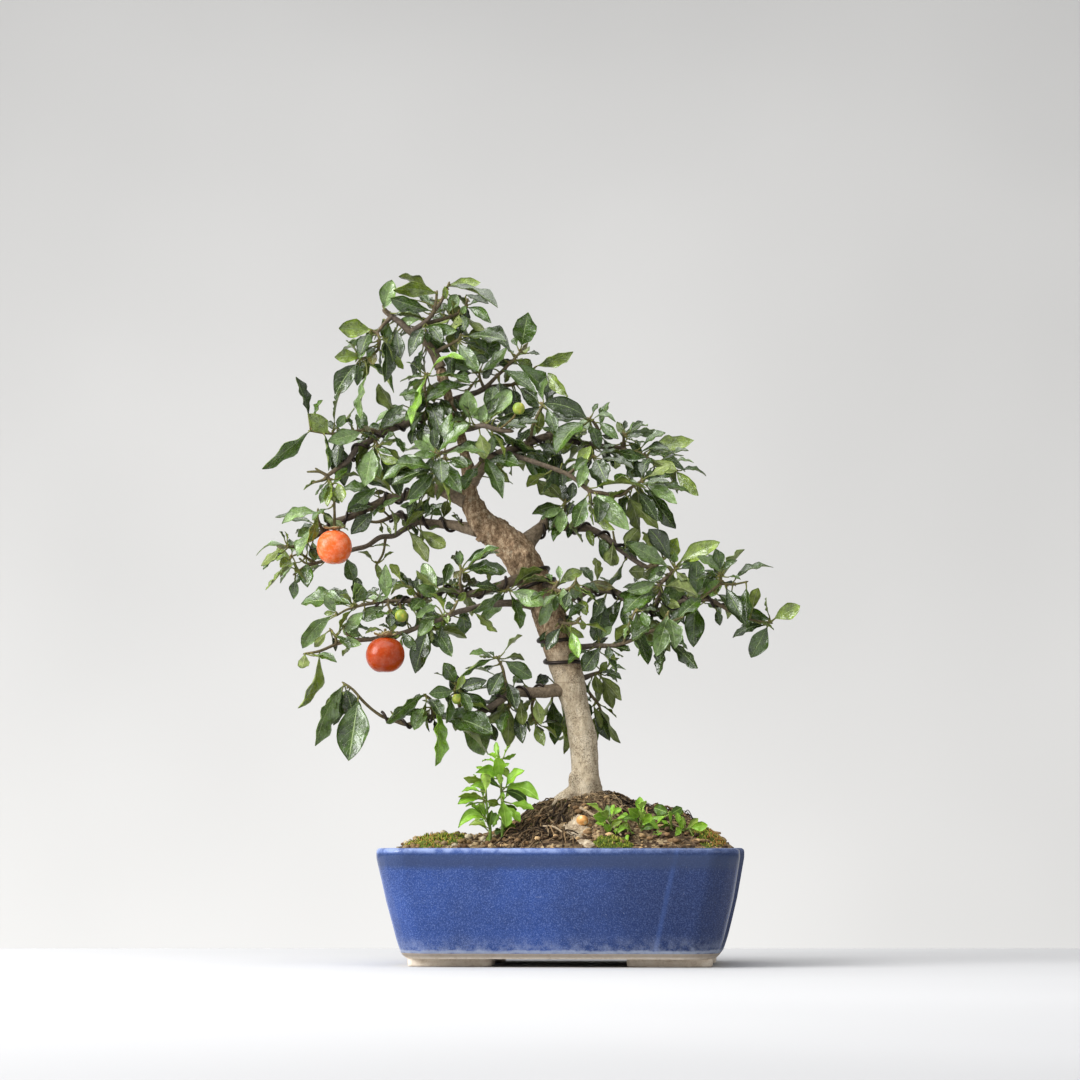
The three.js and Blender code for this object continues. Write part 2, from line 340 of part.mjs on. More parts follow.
    twigs: [[[-12, -10, 283, 2], [-9, -22, 282, 1.7], [-5, -32, 280, 1.4], [-2, -35, 284, 1]],
        [[-5, -32, 280, 1.3], [2, -36, 278, 1.1], [10, -38, 282, 0.9], [12, -38, 287, 0.8]]],
    leaves: [
      [-6, 277, -15, 252, 9, 'p'], [-3, 277, -4, 263, 5, 'm'], [0, 286, -1, 297, 5, 'p'],
      [-1, 283, 17, 293, 9, 'y', 2], [12, 288, 11, 272, 9, 'p'], [2, 281, 4, 264, 8, 'p'],
      [8, 274, 4, 264, 8, 'm']],
  },
  spray_front_low: {
    twigs: [[[0, -10, 256, 1.8], [1, -18, 254.5, 1.5], [3, -25, 254, 1.2], [12, -28, 254, 1],
        [15, -28, 258, 0.8]]],
    leaves: [
      [-3, 252, -14, 236, 10, 'm'], [4, 252, 18, 243, 6, 'y'], [8, 248, 14, 228, 9, 'l'],
      [16, 257, 18, 249, 5, 'y'], [-2, 260, -20, 263, 5, 'b'], [0, 260, 5, 257, 3, 'm']],
  },
  limb_right_low: {
    wire: { hand: 1, pitch: 16, radius: 1.1, start: 14, reach: 0.8 },
    bare: 14,
    sides: 4,
    twigs: [
      [[0, 2, 268, 3.2], [10, 6, 274, 3], [20, 8, 278.5, 2.8], [31, 8, 279, 2.7], [42, 6, 277, 2.6],
        [51, 3, 271, 2.5], [60, 0, 266, 2.4], [70, -3, 263, 2.3], [82, -7, 266, 2], [94, -11, 271, 1.9],
        [104, -13, 271, 1.8], [112, -14, 271.5, 1.7], [121, -14, 267, 1.5], [133, -13, 260, 1.3],
        [145, -12, 256, 1.1], [158, -11, 254, 0.8]],
      [[70, -3, 263, 2], [73, -6, 270, 1.9], [76, -9, 278, 1.8], [75, -11, 283, 1.8], [80, -13, 288, 1.6],
        [87, -15, 295, 1.2]],
      [[104, -13, 271, 1.4], [112, -18, 277, 1.1], [121, -20, 283, 1], [130, -21, 283, 0.9],
        [140, -22, 285, 0.7]],
      [[121, -20, 283, 0.9], [121, -22, 290, 0.8]]],
    leaves: [
      [22, 282, 14, 273, 7, 'o'], [42, 280, 22, 284, 8, 'b'], [15, 272, 20, 260, 8, 'y'],
      [47, 272, 25, 244, 14, 'm'], [49, 270, 50, 250, 9, 'm'], [60, 275, 44, 275, 7, 'm'],
      [82, 296, 52, 313, 12, 'p'], [86, 299, 86, 307, 6, 'p'], [89, 300, 120, 315, 13, 'y'],
      [82, 298, 66, 286, 9, 'm'], [79, 291, 72, 291, 4, 'd'], [73, 286, 50, 278, 10, 'p', -2],
      [75, 277, 57, 267, 7, 'm'], [75, 273, 90, 266, 7, 'o'], [76, 269, 80, 258, 7, 'o'],
      [84, 291, 90, 266, 12, 'p'], [87, 293, 96, 283, 8, 'o'], [103, 275, 102, 302, 13, 'm'],
      [120, 289, 108, 290, 5, 'd'], [105, 271, 122, 286, 10, 'l'], [121, 292, 103, 304, 6, 'p'],
      [121, 291, 119, 305, 8, 'y'], [123, 293, 133, 301, 5, 'm', 3], [130, 286, 160, 296, 6, 'm', 3],
      [124, 281, 136, 259, 11, 'd'], [135, 260, 142, 253, 7, 'm'], [158, 257, 139, 260, 11, 'm'],
      [160, 257, 180, 267, 12, 'y'], [156, 252, 143, 228, 14, 'm'], [101, 270, 100, 236, 15, 'm'],
      [90, 265, 93, 253, 4, 'd']],
  },
  limb_right_under: {
    twigs: [
      [[5, -2, 234, 2.8], [17, -6, 236, 2.2], [28, -12, 237, 1.9], [38, -18, 237, 1.7], [48, -23, 239, 1.5],
        [58, -28, 243, 1.4], [66, -31, 247, 1.3], [75, -33, 250, 1.1], [84, -34, 255, 1],
        [91, -35, 258, 0.8]],
      [[48, -23, 239, 1.1], [50, -30, 248, 1], [54, -33, 258, 0.9], [57, -34, 264, 0.8]],
      [[75, -33, 250, 1], [78, -36, 256, 0.9], [81, -37, 262, 0.8]],
      [[75, -33, 250, 1], [79, -32, 242, 0.8]]],
    leaves: [
      [81, 261, 72, 229, 13, 'p'], [57, 263, 63, 232, 9, 'p'], [51, 260, 66, 223, 11, 'm'],
      [61, 263, 66, 251, 8, 'm'], [80, 241, 103, 220, 8, 'd', 2], [80, 240, 74, 215, 5, 'd'],
      [25, 239, 36, 243, 4, 'd'], [30, 236, 17, 218, 13, 'd'], [36, 237, 37, 227, 6, 'd'],
      [40, 239, 53, 245, 4, 'd']],
  },
  spray_right_bottom: {
    twigs: [
      [[8, 6, 210, 2.4], [18, 12, 213, 2], [26, 16, 216, 1.4], [33, 18, 218, 0.9]],
      [[16, 11, 212, 1.6], [21, 17, 203, 1.3], [28, 20, 194, 1.1], [30, 21, 190, 0.8]],
      [[12, 8, 211, 1.6], [2, 22, 205, 1.4], [-5, 28, 200, 1.1], [-6, 28, 196, 0.8]]],
    leaves: [
      [26, 216, 29, 201, 8, 'o'], [29, 215, 46, 196, 8, 'o'], [30, 217, 35, 225, 6, 'y'],
      [34, 220, 46, 212, 4, 'm'], [29, 193, 45, 164, 8, 'o'], [27, 190, 37, 166, 9, 'd'],
      [25, 192, 31, 175, 6, 'o'], [-6, 197, -4, 163, 12, 'm'], [1, 197, 3, 156, 7, 'y'],
      [-8, 214, -18, 209, 9, 'd']],
  },
};

// Limbs on the back of the tree run behind one in front: [that limb, how much deeper]
const BACK_LIMBS = {
  limb_back_low: ['limb_right_low', 66],
  limb_back_middle: ['limb_right_top', 58],
  limb_back_left: ['limb_left_low', 88],
};
const BACK_LEAF_SCALE = 0.84;
const BACK_LEAF_WIDTH = 9;       // only leaves at least this wide are repeated

// Fruit: [across, behind, height, radius, squash] and the way of its stalk up to a twig
const FRUITS = {
  fruit_left: { place: [-169.5, -22, 311, 13.4, 0.98], stalk: [[-169.5, -22, 338]] },
  fruit_low: { place: [-131, -46, 230, 14.6, 0.92], stalk: [[-131, -43, 249], [-131, -28, 245]] },
};
const CALYX_REACH = 9;
const CALYX_WIDTH = 8;
const UNRIPE = {
  fruit_green_upper: { place: [-31, -41, 416, 4.6], stalk: [[-36, -38, 408], [-46, -27, 400]] },
  fruit_green_left: { place: [-134.5, 10, 340, 3.2], stalk: [[-128, 24, 334]] },
  fruit_green_low: { place: [-119, -40, 259.5, 4.8], stalk: [[-120, -25, 270.5]] },
  fruit_yellow_bottom: { place: [-77, -29, 197, 4], stalk: [[-76.5, -21, 196]] },
};

// Seedlings and weeds in the soil, leaves as on the tree
const SEEDLINGS = {
  seedling_tall: {
    twigs: [[[-44, -46, 80, 1.2], [-43, -46, 100, 1.1], [-43, -46, 115, 1], [-44, -46, 130, 0.9],
        [-44, -46, 140, 0.8], [-45, -46, 150, 0.7], [-46.5, -46, 158, 0.6]]],
    leaves: [
      [-46, 137, -63, 142, 8, 'l', 5], [-45, 131, -56, 138, 4, 'm'], [-42, 131, -16, 122, 8, 'l', 4],
      [-42, 128, -25, 120, 9, 'm', 3], [-42, 119, -34, 111, 9, 'l'], [-45, 118, -54, 121, 6, 'y'],
      [-43, 116, -30, 106, 4, 'p', 2], [-44, 152, -33, 156, 3, 'l'], [-44, 146, -38, 149, 3, 'l'],
      [-46, 153, -48, 165, 4, 'l'], [-43, 99, -49, 98, 5, 'm']],
  },
  seedling_short: {
    twigs: [[[-53, -50, 80, 1.1], [-52, -50, 100, 1], [-54, -51, 110, 0.9], [-55, -51, 122, 0.8],
        [-55.5, -51, 131, 0.7]]],
    leaves: [
      [-56, 136, -72, 138, 5, 'y'], [-55, 127, -67, 132, 5, 'l', 4], [-56, 121, -76, 124, 5, 'y', 3],
      [-53, 100, -51, 114, 6, 'm'], [-54, 105, -76, 101, 8, 'l', 8], [-54, 101, -68, 103, 4, 'y', 2]],
  },
  weed_middle: {
    twigs: [[[40, -62, 80, 1], [38, -63, 98, 0.8], [37, -64, 108, 0.7]]],
    leaves: [[36, 108, 25, 110, 8, 'l'], [38, 97, 33, 104, 5, 'l'], [38, 100, 46, 106, 5, 'y', 2],
      [37, 109, 35, 118, 5, 'p'], [38, 98, 30, 97, 5, 'y', 2]],
  },
  weed_clump: {
    twigs: [[[61, -62, 80, 1], [61, -63, 98, 0.8], [59, -64, 112, 0.7]],
      [[61, -63, 94, 0.8], [54, -66, 97, 0.7], [50, -67, 101, 0.6]]],
    leaves: [[60, 109, 51, 115, 8, 'l'], [61, 104, 68, 111, 7, 'l'], [60, 101, 46, 107, 4, 'm', 4],
      [53, 98, 43, 101, 4, 'y', 4], [51, 100, 43, 97, 4, 'l', 3], [61, 99, 70, 101, 5, 'm', 2],
      [61, 98, 69, 96, 5, 'l', 2]],
  },
  weed_right: {
    twigs: [[[84, -56, 80, 1], [83, -57, 100, 0.9], [82, -57, 112, 0.8]], [[83, -57, 97, 0.8],
        [92, -60, 99, 0.7], [97, -61, 101, 0.6]]],
    leaves: [[81, 112, 70, 116, 9, 'm'], [82, 111, 91, 116, 7, 'm'], [97, 101, 110, 103, 7, 'l'],
      [92, 98, 101, 94, 5, 'l'], [90, 99, 92, 108, 5, 'l'], [83, 98, 74, 101, 5, 'm', 2],
      [91, 99, 86, 95, 5, 'l', 2], [95, 101, 103, 108, 5, 'y']],
  },
};

const MOSS = {                   // middle, half sizes and height of each patch on the soil
  moss_left: [[-94, -38], [22, 30], 4],
  moss_middle: [[41, -76], [15, 7], 4],
  moss_right: [[108, -30], [13, 34], 4],
};
const PEBBLE = [[17, -56], [4.6, 4, 3.8]];

const COLOURS = {
  glaze: 0x2f4a8f, screen: 0x2b2b2c, soil: 0x4a3a2c, moss: 0x7c8a2e, pebble: 0xd8a45a, bark: 0x9a8468,
  wire: 0x33302f, leaf: 0x3f6a2a, ripe: 0xdc5220, calyx: 0x9b8f70, unripe: 0x9cab45, shoot: 0x8fb030,
};
const FINISH = { glaze: 0.2, ripe: 0.35, unripe: 0.4, wire: 0.5 };

// Places

function at([across, behind, height]) {
  const k = 1 + behind / EYE_DISTANCE;
  const x = EYE_ACROSS + (across - EYE_ACROSS) * k - PLANE_MIDDLE;
  const z = EYE_HEIGHT + (height - EYE_HEIGHT) * k;
  return ACROSS.clone().multiplyScalar(x).addScaledVector(AWAY, behind).addScaledVector(UP, z);
}

function interpolate(table, x) {
  for (let i = 1; i < table.length; i += 1) {
    const [x0, v0] = table[i - 1];
    const [x1, v1] = table[i];
    if (x <= x1) return THREE.MathUtils.lerp(v0, v1, Math.max(0, (x - x0) / (x1 - x0)));
  }
  return table[table.length - 1][1];
}

function soilHeight(x, y) {
  const fall = Math.max(0, 1 - (y / (POT_DEPTH / 2 - 8)) ** 2) ** SOIL_FALL;
  return SOIL_EDGE + (interpolate(SOIL_RIDGE, x) - SOIL_EDGE) * fall;
}

// Solids

function solid(geometry) {
  const bare = geometry.clone();
  bare.deleteAttribute('normal');
  bare.deleteAttribute('uv');
  const merged = mergeVertices(bare.index ? bare.toNonIndexed() : bare, 1e-4);
  return new wasm.Manifold(new wasm.Mesh({
    numProp: 3,
    vertProperties: new Float32Array(merged.attributes.position.array),
    triVerts: new Uint32Array(merged.index.array),
  }));
}

function solidOf(points, triangles) {
  return new wasm.Manifold(new wasm.Mesh({
    numProp: 3,
    vertProperties: new Float32Array(points.flatMap((p) => [p.x, p.y, p.z])),
    triVerts: new Uint32Array(triangles.flat()),
  }));
}

function joined(parts) {
  return wasm.Manifold.union(parts);
}

function largest(shape) {
  const parts = shape.decompose();
  return parts.reduce((best, part) => (part.volume() > best.volume() ? part : best), parts[0]);
}

// Whether each edge lies between two faces, with corners that coincide taken as one
function isClosed(shape) {
  const { vertProperties, triVerts } = shape.getMesh();
  const corners = new Map();
  const corner = (i) => {
    const key = [0, 1, 2].map((k) => Math.round(vertProperties[3 * i + k] * 1000)).join();
    if (!corners.has(key)) corners.set(key, corners.size);
    return corners.get(key);
  };
  const edges = new Map();
  for (let i = 0; i < triVerts.length; i += 3) {
    const face = [0, 1, 2].map((k) => corner(triVerts[i + k]));
    if (new Set(face).size < 3) continue;
    face.forEach((a, k) => {
      const b = face[(k + 1) % 3];
      const key = a < b ? `${a} ${b}` : `${b} ${a}`;
      edges.set(key, (edges.get(key) ?? 0) + 1);
    });
  }
  return [...edges.values()].every((count) => count === 2);
}

function boxesMeet(a, b) {
  const p = a.boundingBox();
  const q = b.boundingBox();
  return [0, 1, 2].every((i) => p.min[i] <= q.max[i] && q.min[i] <= p.max[i]);
}

// A stack of equal rings, closed at both ends
function stack(rings) {
  const n = rings[0].length;
  const last = rings.length - 1;
  const triangles = [];
  for (let i = 0; i < last; i += 1) {
    for (let j = 0; j < n; j += 1) {
      const a = i * n + j;
      const b = i * n + (j + 1) % n;
      triangles.push([a, b, b + n], [a, b + n, a + n]);
    }
  }
  for (let j = 1; j < n - 1; j += 1) {
    triangles.push([0, j + 1, j], [last * n, last * n + j, last * n + j + 1]);
  }
  return solidOf(rings.flat(), triangles);
}

// A rail: places along a limb with a steady side and normal, and the length so far
function railOf(places) {
  const stops = places.map((place) => ({ p: at(place), r: place[3], s: 0 }));
  stops.forEach((stop, i) => {
    const before = stops[Math.max(0, i - 1)].p;
    const after = stops[Math.min(stops.length - 1, i + 1)].p;
    stop.t = after.clone().sub(before).normalize();
    if (i > 0) stop.s = stops[i - 1].s + stop.p.distanceTo(before);
    const guide = i > 0 ? stops[i - 1].n : AWAY.clone().cross(stop.t);
    stop.n = guide.clone().addScaledVector(stop.t, -guide.dot(stop.t)).normalize();
    stop.b = stop.t.clone().cross(stop.n);
  });
  return stops;
}

function alongRail(rail, s) {
  let i = 1;
  while (i < rail.length - 1 && rail[i].s < s) i += 1;
  const a = rail[i - 1];
  const b = rail[i];
  const f = THREE.MathUtils.clamp((s - a.s) / (b.s - a.s), 0, 1);
  return {
    p: a.p.clone().lerp(b.p, f),
    n: a.n.clone().lerp(b.n, f).normalize(),
    b: a.b.clone().lerp(b.b, f).normalize(),
    r: THREE.MathUtils.lerp(a.r, b.r, f),
  };
}

function tubeOf(rail, sides, extra) {
  return stack(rail.map(({ p, n, b, r, t }, i) => {
    const end = i === 0 ? -1 : Number(i === rail.length - 1);
    const middle = p.clone().addScaledVector(t, end * extra);
    return Array.from({ length: sides }, (_, j) => {
      const angle = (2 * Math.PI * j) / sides;
      return middle.clone().addScaledVector(n, Math.cos(angle) * (r + extra))
        .addScaledVector(b, Math.sin(angle) * (r + extra));
    });
  }));
}

function tubeThrough(points, radius, sides) {
  let normal = new THREE.Vector3(0.31, 0.52, 0.79);
  return stack(points.map((p, i) => {
    const before = points[Math.max(0, i - 1)];
    const after = points[Math.min(points.length - 1, i + 1)];
    const t = after.clone().sub(before).normalize();
    normal = normal.clone().addScaledVector(t, -normal.dot(t)).normalize();
    const side = t.clone().cross(normal);
    return Array.from({ length: sides }, (_, j) => {
      const angle = (2 * Math.PI * (j + 0.5)) / sides;
      return p.clone().addScaledVector(normal, Math.cos(angle) * radius)
        .addScaledVector(side, Math.sin(angle) * radius);
    });
  }));
}

function coilTurn(s, { hand, pitch }) {
  return (hand * 2 * Math.PI * s) / pitch;
}

// A wire wound round a rail between two of its lengths
function coil(rail, wire, start, stop, extra) {
  const points = [];
  const step = wire.pitch / WIRE_STEPS;
  for (let s = start; s <= stop; s += step) {
    const { p, n, b, r } = alongRail(rail, s);
    const reach = (r + wire.radius + WIRE_CLEAR) / Math.cos(Math.PI / WIRE_STEPS);
    const angle = coilTurn(s, wire);
    points.push(p.addScaledVector(n, Math.cos(angle) * reach).addScaledVector(b, Math.sin(angle) * reach));
  }
  return tubeThrough(points, wire.radius + extra, 3);
}

// What the leaves laid so far and the twigs take up
const leavesLaid = [];
const leafEdges = [];
const woodEdges = [];

// Even draws between 0 and 1, the same in every run
function drawsFrom(word) {
  let seed = [...word].reduce((sum, letter) => (sum * 31 + letter.charCodeAt(0)) % 65521, 7);
  return () => {
    seed = (seed * 1664525 + 1013904223) % 4294967296;
    return seed / 4294967296;
  };
}

// The place on the twigs that lies nearest in the front plane, past the first twig's bare length
function rootOn(rails, across, height, wire, bare, slip) {
  let best = null;
  rails.forEach((rail, index) => {
    const steps = 8 * (rail.length - 1);
    const first = index === 0 ? bare : 0;
    for (let i = 0; i <= steps; i += 1) {
      const s = THREE.MathUtils.lerp(first, rail[rail.length - 1].s, i / steps);
      const spot = alongRail(rail, s);
      const flat = at([across, spot.p.dot(AWAY), height]);
      const reach = flat.distanceTo(spot.p) - spot.r;
      if (!best || reach < best.reach) best = { ...spot, s, reach, index, rail, flat };
    }
  });
  let shift = slip;
  if (wire && best.index === 0) {
    // the wire passes on the far side of the limb where the stalk leaves it
    const out = best.flat.clone().sub(best.p);
    const angle = Math.atan2(out.dot(best.b), out.dot(best.n));
    const turn = (angle + Math.PI - coilTurn(best.s, wire)) / (2 * Math.PI);
    shift += (turn - Math.round(turn)) * wire.pitch * wire.hand;
  }
  const last = best.rail[best.rail.length - 1].s;
  const least = best.index === 0 ? bare : 0;
  return { ...best, ...alongRail(best.rail, THREE.MathUtils.clamp(best.s + shift, least, last - 0.3)) };
}

// A flat-sided blade of even thickness between its root, the ends of its cross lines and its tip
function blade(root, lines, tip, normal, extra) {
  const half = LEAF_THICK / 2 + extra;
  const outline = [root, ...lines.map(([left]) => left), tip, ...lines.map(([, right]) => right).reverse()];
  const n = outline.length;
  const k = lines.length;
  const face = [[0, 1, n - 1], [k, k + 1, k + 2]];
  for (let i = 1; i < k; i += 1) face.push([i, i + 1, n - i], [i + 1, n - i - 1, n - i]);
  const both = [1, -1].flatMap((side) => outline.map((p) => p.clone().addScaledVector(normal, side * half)));
  const triangles = [...face, ...face.map(([a, b, c]) => [c + n, b + n, a + n])];
  for (let i = 0; i < n; i += 1) {
    const j = (i + 1) % n;
    triangles.push([j, i, i + n], [j, i + n, j + n]);
  }
  const shape = solidOf(both, triangles);
  return shape.volume() > 0 ? shape : solidOf(both, triangles.map(([a, b, c]) => [c, b, a]));
}

// Where a leaf goes: its stalk's root on the twig, its midline and the way it faces
function layLeaf(rails, wire, bare, entry, draw) {
  const [bx, bz, tx, tz, seenWidth, , arch = 0] = entry;
  const towards = draw() < 0.65 ? -1 : 1;
  const rollHand = draw() < 0.5 ? -1 : 1;
  const root = rootOn(rails, bx, bz, wire, bare, (draw() - 0.5) * ROOT_SLIP);
  const clear = root.r + (wire ? 2 * wire.radius + WIRE_CLEAR : 0) + 1;
  const off = root.flat.distanceTo(root.p);
  const lift = off < clear ? Math.sqrt(clear * clear - off * off) : 0;
  const seen = Math.hypot(tx - bx, tz - bz);
  const length = Math.max(1.06 * seen, 1.9 * seenWidth);
  const width = Math.max(seenWidth, 0.36 * length);
  const reach = Math.sqrt(length * length - seen * seen);
  let best = null;
  LEANS.forEach(([lean, turn]) => {
    const depth = root.p.dot(AWAY) + Math.sign(lean) * towards * lift;
    const base = at([bx, depth, bz]);
    const tip = at([tx, depth + lean * towards * reach, tz]);
    const along = tip.clone().sub(base).normalize();
    const facing = AWAY.clone().negate();
    facing.addScaledVector(along, -facing.dot(along)).normalize();
    const roll = turn * rollHand * Math.acos(Math.min(1, seenWidth / width));
    const side = along.clone().cross(facing).multiplyScalar(Math.cos(roll)).addScaledVector(facing,
      Math.sin(roll));
    const bow = UP.clone().addScaledVector(along, -UP.dot(along)).multiplyScalar(arch);
    const normal = side.clone().cross(along).normalize();
    const leaf = { root: root.p, clear, base, tip, along, side, normal, width, bow };
    const meets = countCrossings(leaf);
    if (!best || meets < best.meets) best = { ...leaf, meets };
  });
  leafEdges.push(...edgesOf(best));
  leavesLaid.push(best);
  return best;
}

function edgesOf({ base, tip, side, width, bow }) {
  const middle = base.clone().lerp(tip, 0.5).add(bow);
  const [left, right] = [-1, 1].map((hand) => middle.clone().addScaledVector(side, (hand * width) / 2));
  return [[base, left], [left, tip], [tip, right], [right, base], [base, middle], [middle, tip]];
}

// Whether a stretch goes through a leaf's blade or comes close to it
function passesThrough([a, b], { base, tip, along, side, normal, width }) {
  const length = base.distanceTo(tip);
  const [u, v] = [a, b].map((p) => p.clone().sub(base));
  const [du, dv] = [u.dot(normal), v.dot(normal)];
  if (du * dv > 0 && Math.min(Math.abs(du), Math.abs(dv)) > 1) return false;
  const f = du === dv ? 0 : THREE.MathUtils.clamp(du / (du - dv), 0, 1);
  const spot = u.lerp(v, f);
  const t = spot.dot(along) / length;
  return t > 0.05 && t < 1.04 && Math.abs(spot.dot(side)) < width * Math.min(t, 1.04 - t) + 0.8;
}

function countCrossings(leaf) {
  const far = leaf.base.distanceTo(leaf.tip) + 30;
  const near = (p) => p.distanceTo(leaf.base) < far;
  const edges = edgesOf(leaf);
  const byEdges = leafEdges.filter((edge) => near(edge[0]) && passesThrough(edge, leaf)).length;
  const byWood = woodEdges.filter((edge) => near(edge[0]) && passesThrough(edge, leaf)).length;
  const byLeaves = leavesLaid.filter((other) => near(other.base)
    && edges.some((edge) => passesThrough(edge, other))).length;
  return byEdges + 2 * byWood + byLeaves;
}

function leafOf({ root, clear, base, tip, along, side, normal, width, bow }, extra) {
  const across = (p, direction, reach) => [-1, 1].map((hand) => (
    p.clone().addScaledVector(direction, hand * (reach + extra))));
  const lines = [across(base.clone().lerp(tip, 0.45).add(bow), side, width / 2)];
  if (base.distanceTo(root) > clear + 3) {
    const bend = base.clone().sub(root).normalize().add(along);
    lines.unshift(across(base, bend.cross(normal).normalize(), STALK_WIDTH / 2));
  }
  return blade(root, lines, tip.clone().addScaledVector(along, extra), normal, extra);
}

// The wood and leaves of one limb, as they are and grown by the gap all round
function grow(name, { twigs, leaves, wire, bare = 0, sides = 4 }) {
  const draw = drawsFrom(name);
  const rails = twigs.map(railOf);
  const laid = leaves.map((entry) => layLeaf(rails, wire, bare, entry, draw));
  const [exact, loose] = [0, GAP].map((extra) => joined([
    ...rails.map((rail, i) => tubeOf(rail, i === 0 ? sides : 3, extra)),
    ...laid.map((leaf) => leafOf(leaf, extra))]));
  return { exact, loose, rails };
}

// The twigs of a limb set deeper, and its broader leaves drawn in towards their middles
function behind({ twigs, leaves, ...rest }, deeper) {
  const ramp = (i) => deeper * Math.min(1, i / 3);
  const joint = ([x, y]) => twigs[0].findIndex((place) => Math.hypot(place[0] - x, place[1] - y) < 8);
  const moved = twigs.map((twig, index) => {
    const first = index ? Math.max(joint(twig[0]), 3) : 0;
    return twig.map(([x, y, z, r], i) => [x, y + ramp(first + i), z, r]);
  });
  const part = (1 + BACK_LEAF_SCALE) / 2;
  return {
    ...rest,
    twigs: moved,
    wire: undefined,
    leaves: leaves.filter((leaf) => leaf[4] >= BACK_LEAF_WIDTH).map(([bx, bz, tx, tz, width, look]) => [
      THREE.MathUtils.lerp(tx, bx, part), THREE.MathUtils.lerp(tz, bz, part),
      THREE.MathUtils.lerp(bx, tx, part), THREE.MathUtils.lerp(bz, tz, part), width * BACK_LEAF_SCALE, look]),
  };
}

// Pot and ground

function potSection(halfLength, halfDepth) {
  const corners = [[1, -1], [1, 1], [-1, 1], [-1, -1]];
  return corners.flatMap(([sx, sy], i) => {
    const alongX = [sx * (halfLength - POT_CHAMFER), sy * halfDepth];
    const alongY = [sx * halfLength, sy * (halfDepth - POT_CHAMFER)];
    const [first, second] = i % 2 ? [alongY, alongX] : [alongX, alongY];
    // the cut corner bows out a little
    const bowed = [1 / 3, 2 / 3].map((f) => [
      THREE.MathUtils.lerp(first[0], second[0], f) + sx * POT_CHAMFER * 0.07,
      THREE.MathUtils.lerp(first[1], second[1], f) + sy * POT_CHAMFER * 0.07]);
    return [first, ...bowed, second];
  });
}

function potShell(profile, inset) {
  return stack(profile.map(([z, half]) => {
    const slant = POT_LENGTH / 2 - half;
    return potSection(half - inset, POT_DEPTH / 2 - slant - inset)
      .map(([x, y]) => new THREE.Vector3(x, y, z));
  }));
}

function potInside(bottom, top, inset) {
  const lip = POT_PROFILE[POT_PROFILE.length - 1][1];
  const walls = POT_PROFILE.filter(([z]) => z > FLOOR_TOP && z < LIP_BOTTOM);
  return potShell([[bottom, 114], ...walls, [top, lip]], inset);
}

function box([sx, sy, sz], x, y, z) {
  return solid(new THREE.BoxGeometry(sx, sy, sz).translate(x, y, z));
}

function pot() {
  const signs = [-1, 1];
  const feet = signs.flatMap((sx) => signs.map((sy) => box([...FOOT_SIZE, FOOT_HEIGHT + 2],
    sx * FOOT_PLACE[0], sy * FOOT_PLACE[1], FOOT_HEIGHT / 2 + 1)));
  const drains = signs.map((sx) => solid(new THREE.CylinderGeometry(DRAIN_DIAMETER / 2,
    DRAIN_DIAMETER / 2, 30, 16)
    .rotateX(Math.PI / 2).translate(sx * DRAIN_X, 0, FLOOR_TOP)));
  const cavity = potInside(FLOOR_TOP, POT_HEIGHT + 1, POT_WALL);
  return joined([potShell(POT_PROFILE, 0), ...feet]).subtract(joined([cavity, ...drains]));
}

function soil() {
  const [nx, ny] = SOIL_STEPS;
  const halfX = POT_LENGTH / 2;
  const halfY = POT_DEPTH / 2;
  const points = [];
  const triangles = [];
  for (let i = 0; i <= nx; i += 1) {
    for (let j = 0; j <= ny; j += 1) {
      const x = THREE.MathUtils.lerp(-halfX, halfX, i / nx);
      const y = THREE.MathUtils.lerp(-halfY, halfY, j / ny);
      points.push(new THREE.Vector3(x, y, soilHeight(x, y)));
    }
  }
  const corners = [[-halfX, -halfY], [halfX, -halfY], [halfX, halfY], [-halfX, halfY]];
  const floor = points.length;
  corners.forEach(([x, y]) => points.push(new THREE.Vector3(x, y, 0)));
  const row = ny + 1;
  for (let i = 0; i < nx; i += 1) {
    for (let j = 0; j < ny; j += 1) {
      const a = i * row + j;
      triangles.push([a, a + row, a + row + 1], [a, a + row + 1, a + 1]);
    }
  }
  const steps = (n, index) => Array.from({ length: n }, (_, i) => index(i));
  const sides = [
    [...steps(nx, (i) => i * row), nx * row],
    [...steps(ny, (j) => nx * row + j), nx * row + ny],
    [...steps(nx, (i) => (nx - i) * row + ny), ny],
    [...steps(ny, (j) => ny - j), 0]];
  sides.forEach((side, k) => {
    const a = floor + k;
    const b = floor + (k + 1) % 4;
    for (let i = 1; i < side.length; i += 1) triangles.push([a, side[i], side[i - 1]]);
    triangles.push([a, b, side[side.length - 1]]);
  });
  triangles.push([floor, floor + 2, floor + 1], [floor, floor + 3, floor + 2]);
  return solidOf(points, triangles).intersect(potInside(FLOOR_TOP + GAP, 2 * POT_HEIGHT, POT_WALL + GAP));
}

function mossPatch([[cx, cy], [hx, hy], height]) {
  const ringAt = (k, rise) => Array.from({ length: 8 }, (_, j) => {
    const angle = (2 * Math.PI * j) / 8;
    const x = cx + hx * k * Math.cos(angle);
    const y = cy + hy * k * Math.sin(angle);
    return new THREE.Vector3(x, y, soilHeight(x, y) + rise);
  });
  return stack([ringAt(1, -3), ringAt(1, 0.4 * height), ringAt(0.7, 0.85 * height), ringAt(0.3, height)]);
}

function ball([across, behindPlane, height, radius, squash = 1], extra = 0) {
  const shape = new THREE.IcosahedronGeometry(radius + extra, radius > 8 ? 2 : 1);
  const p = at([across, behindPlane, height]);
  return solid(shape.scale(1, 1, squash).translate(p.x, p.y, p.z));
}

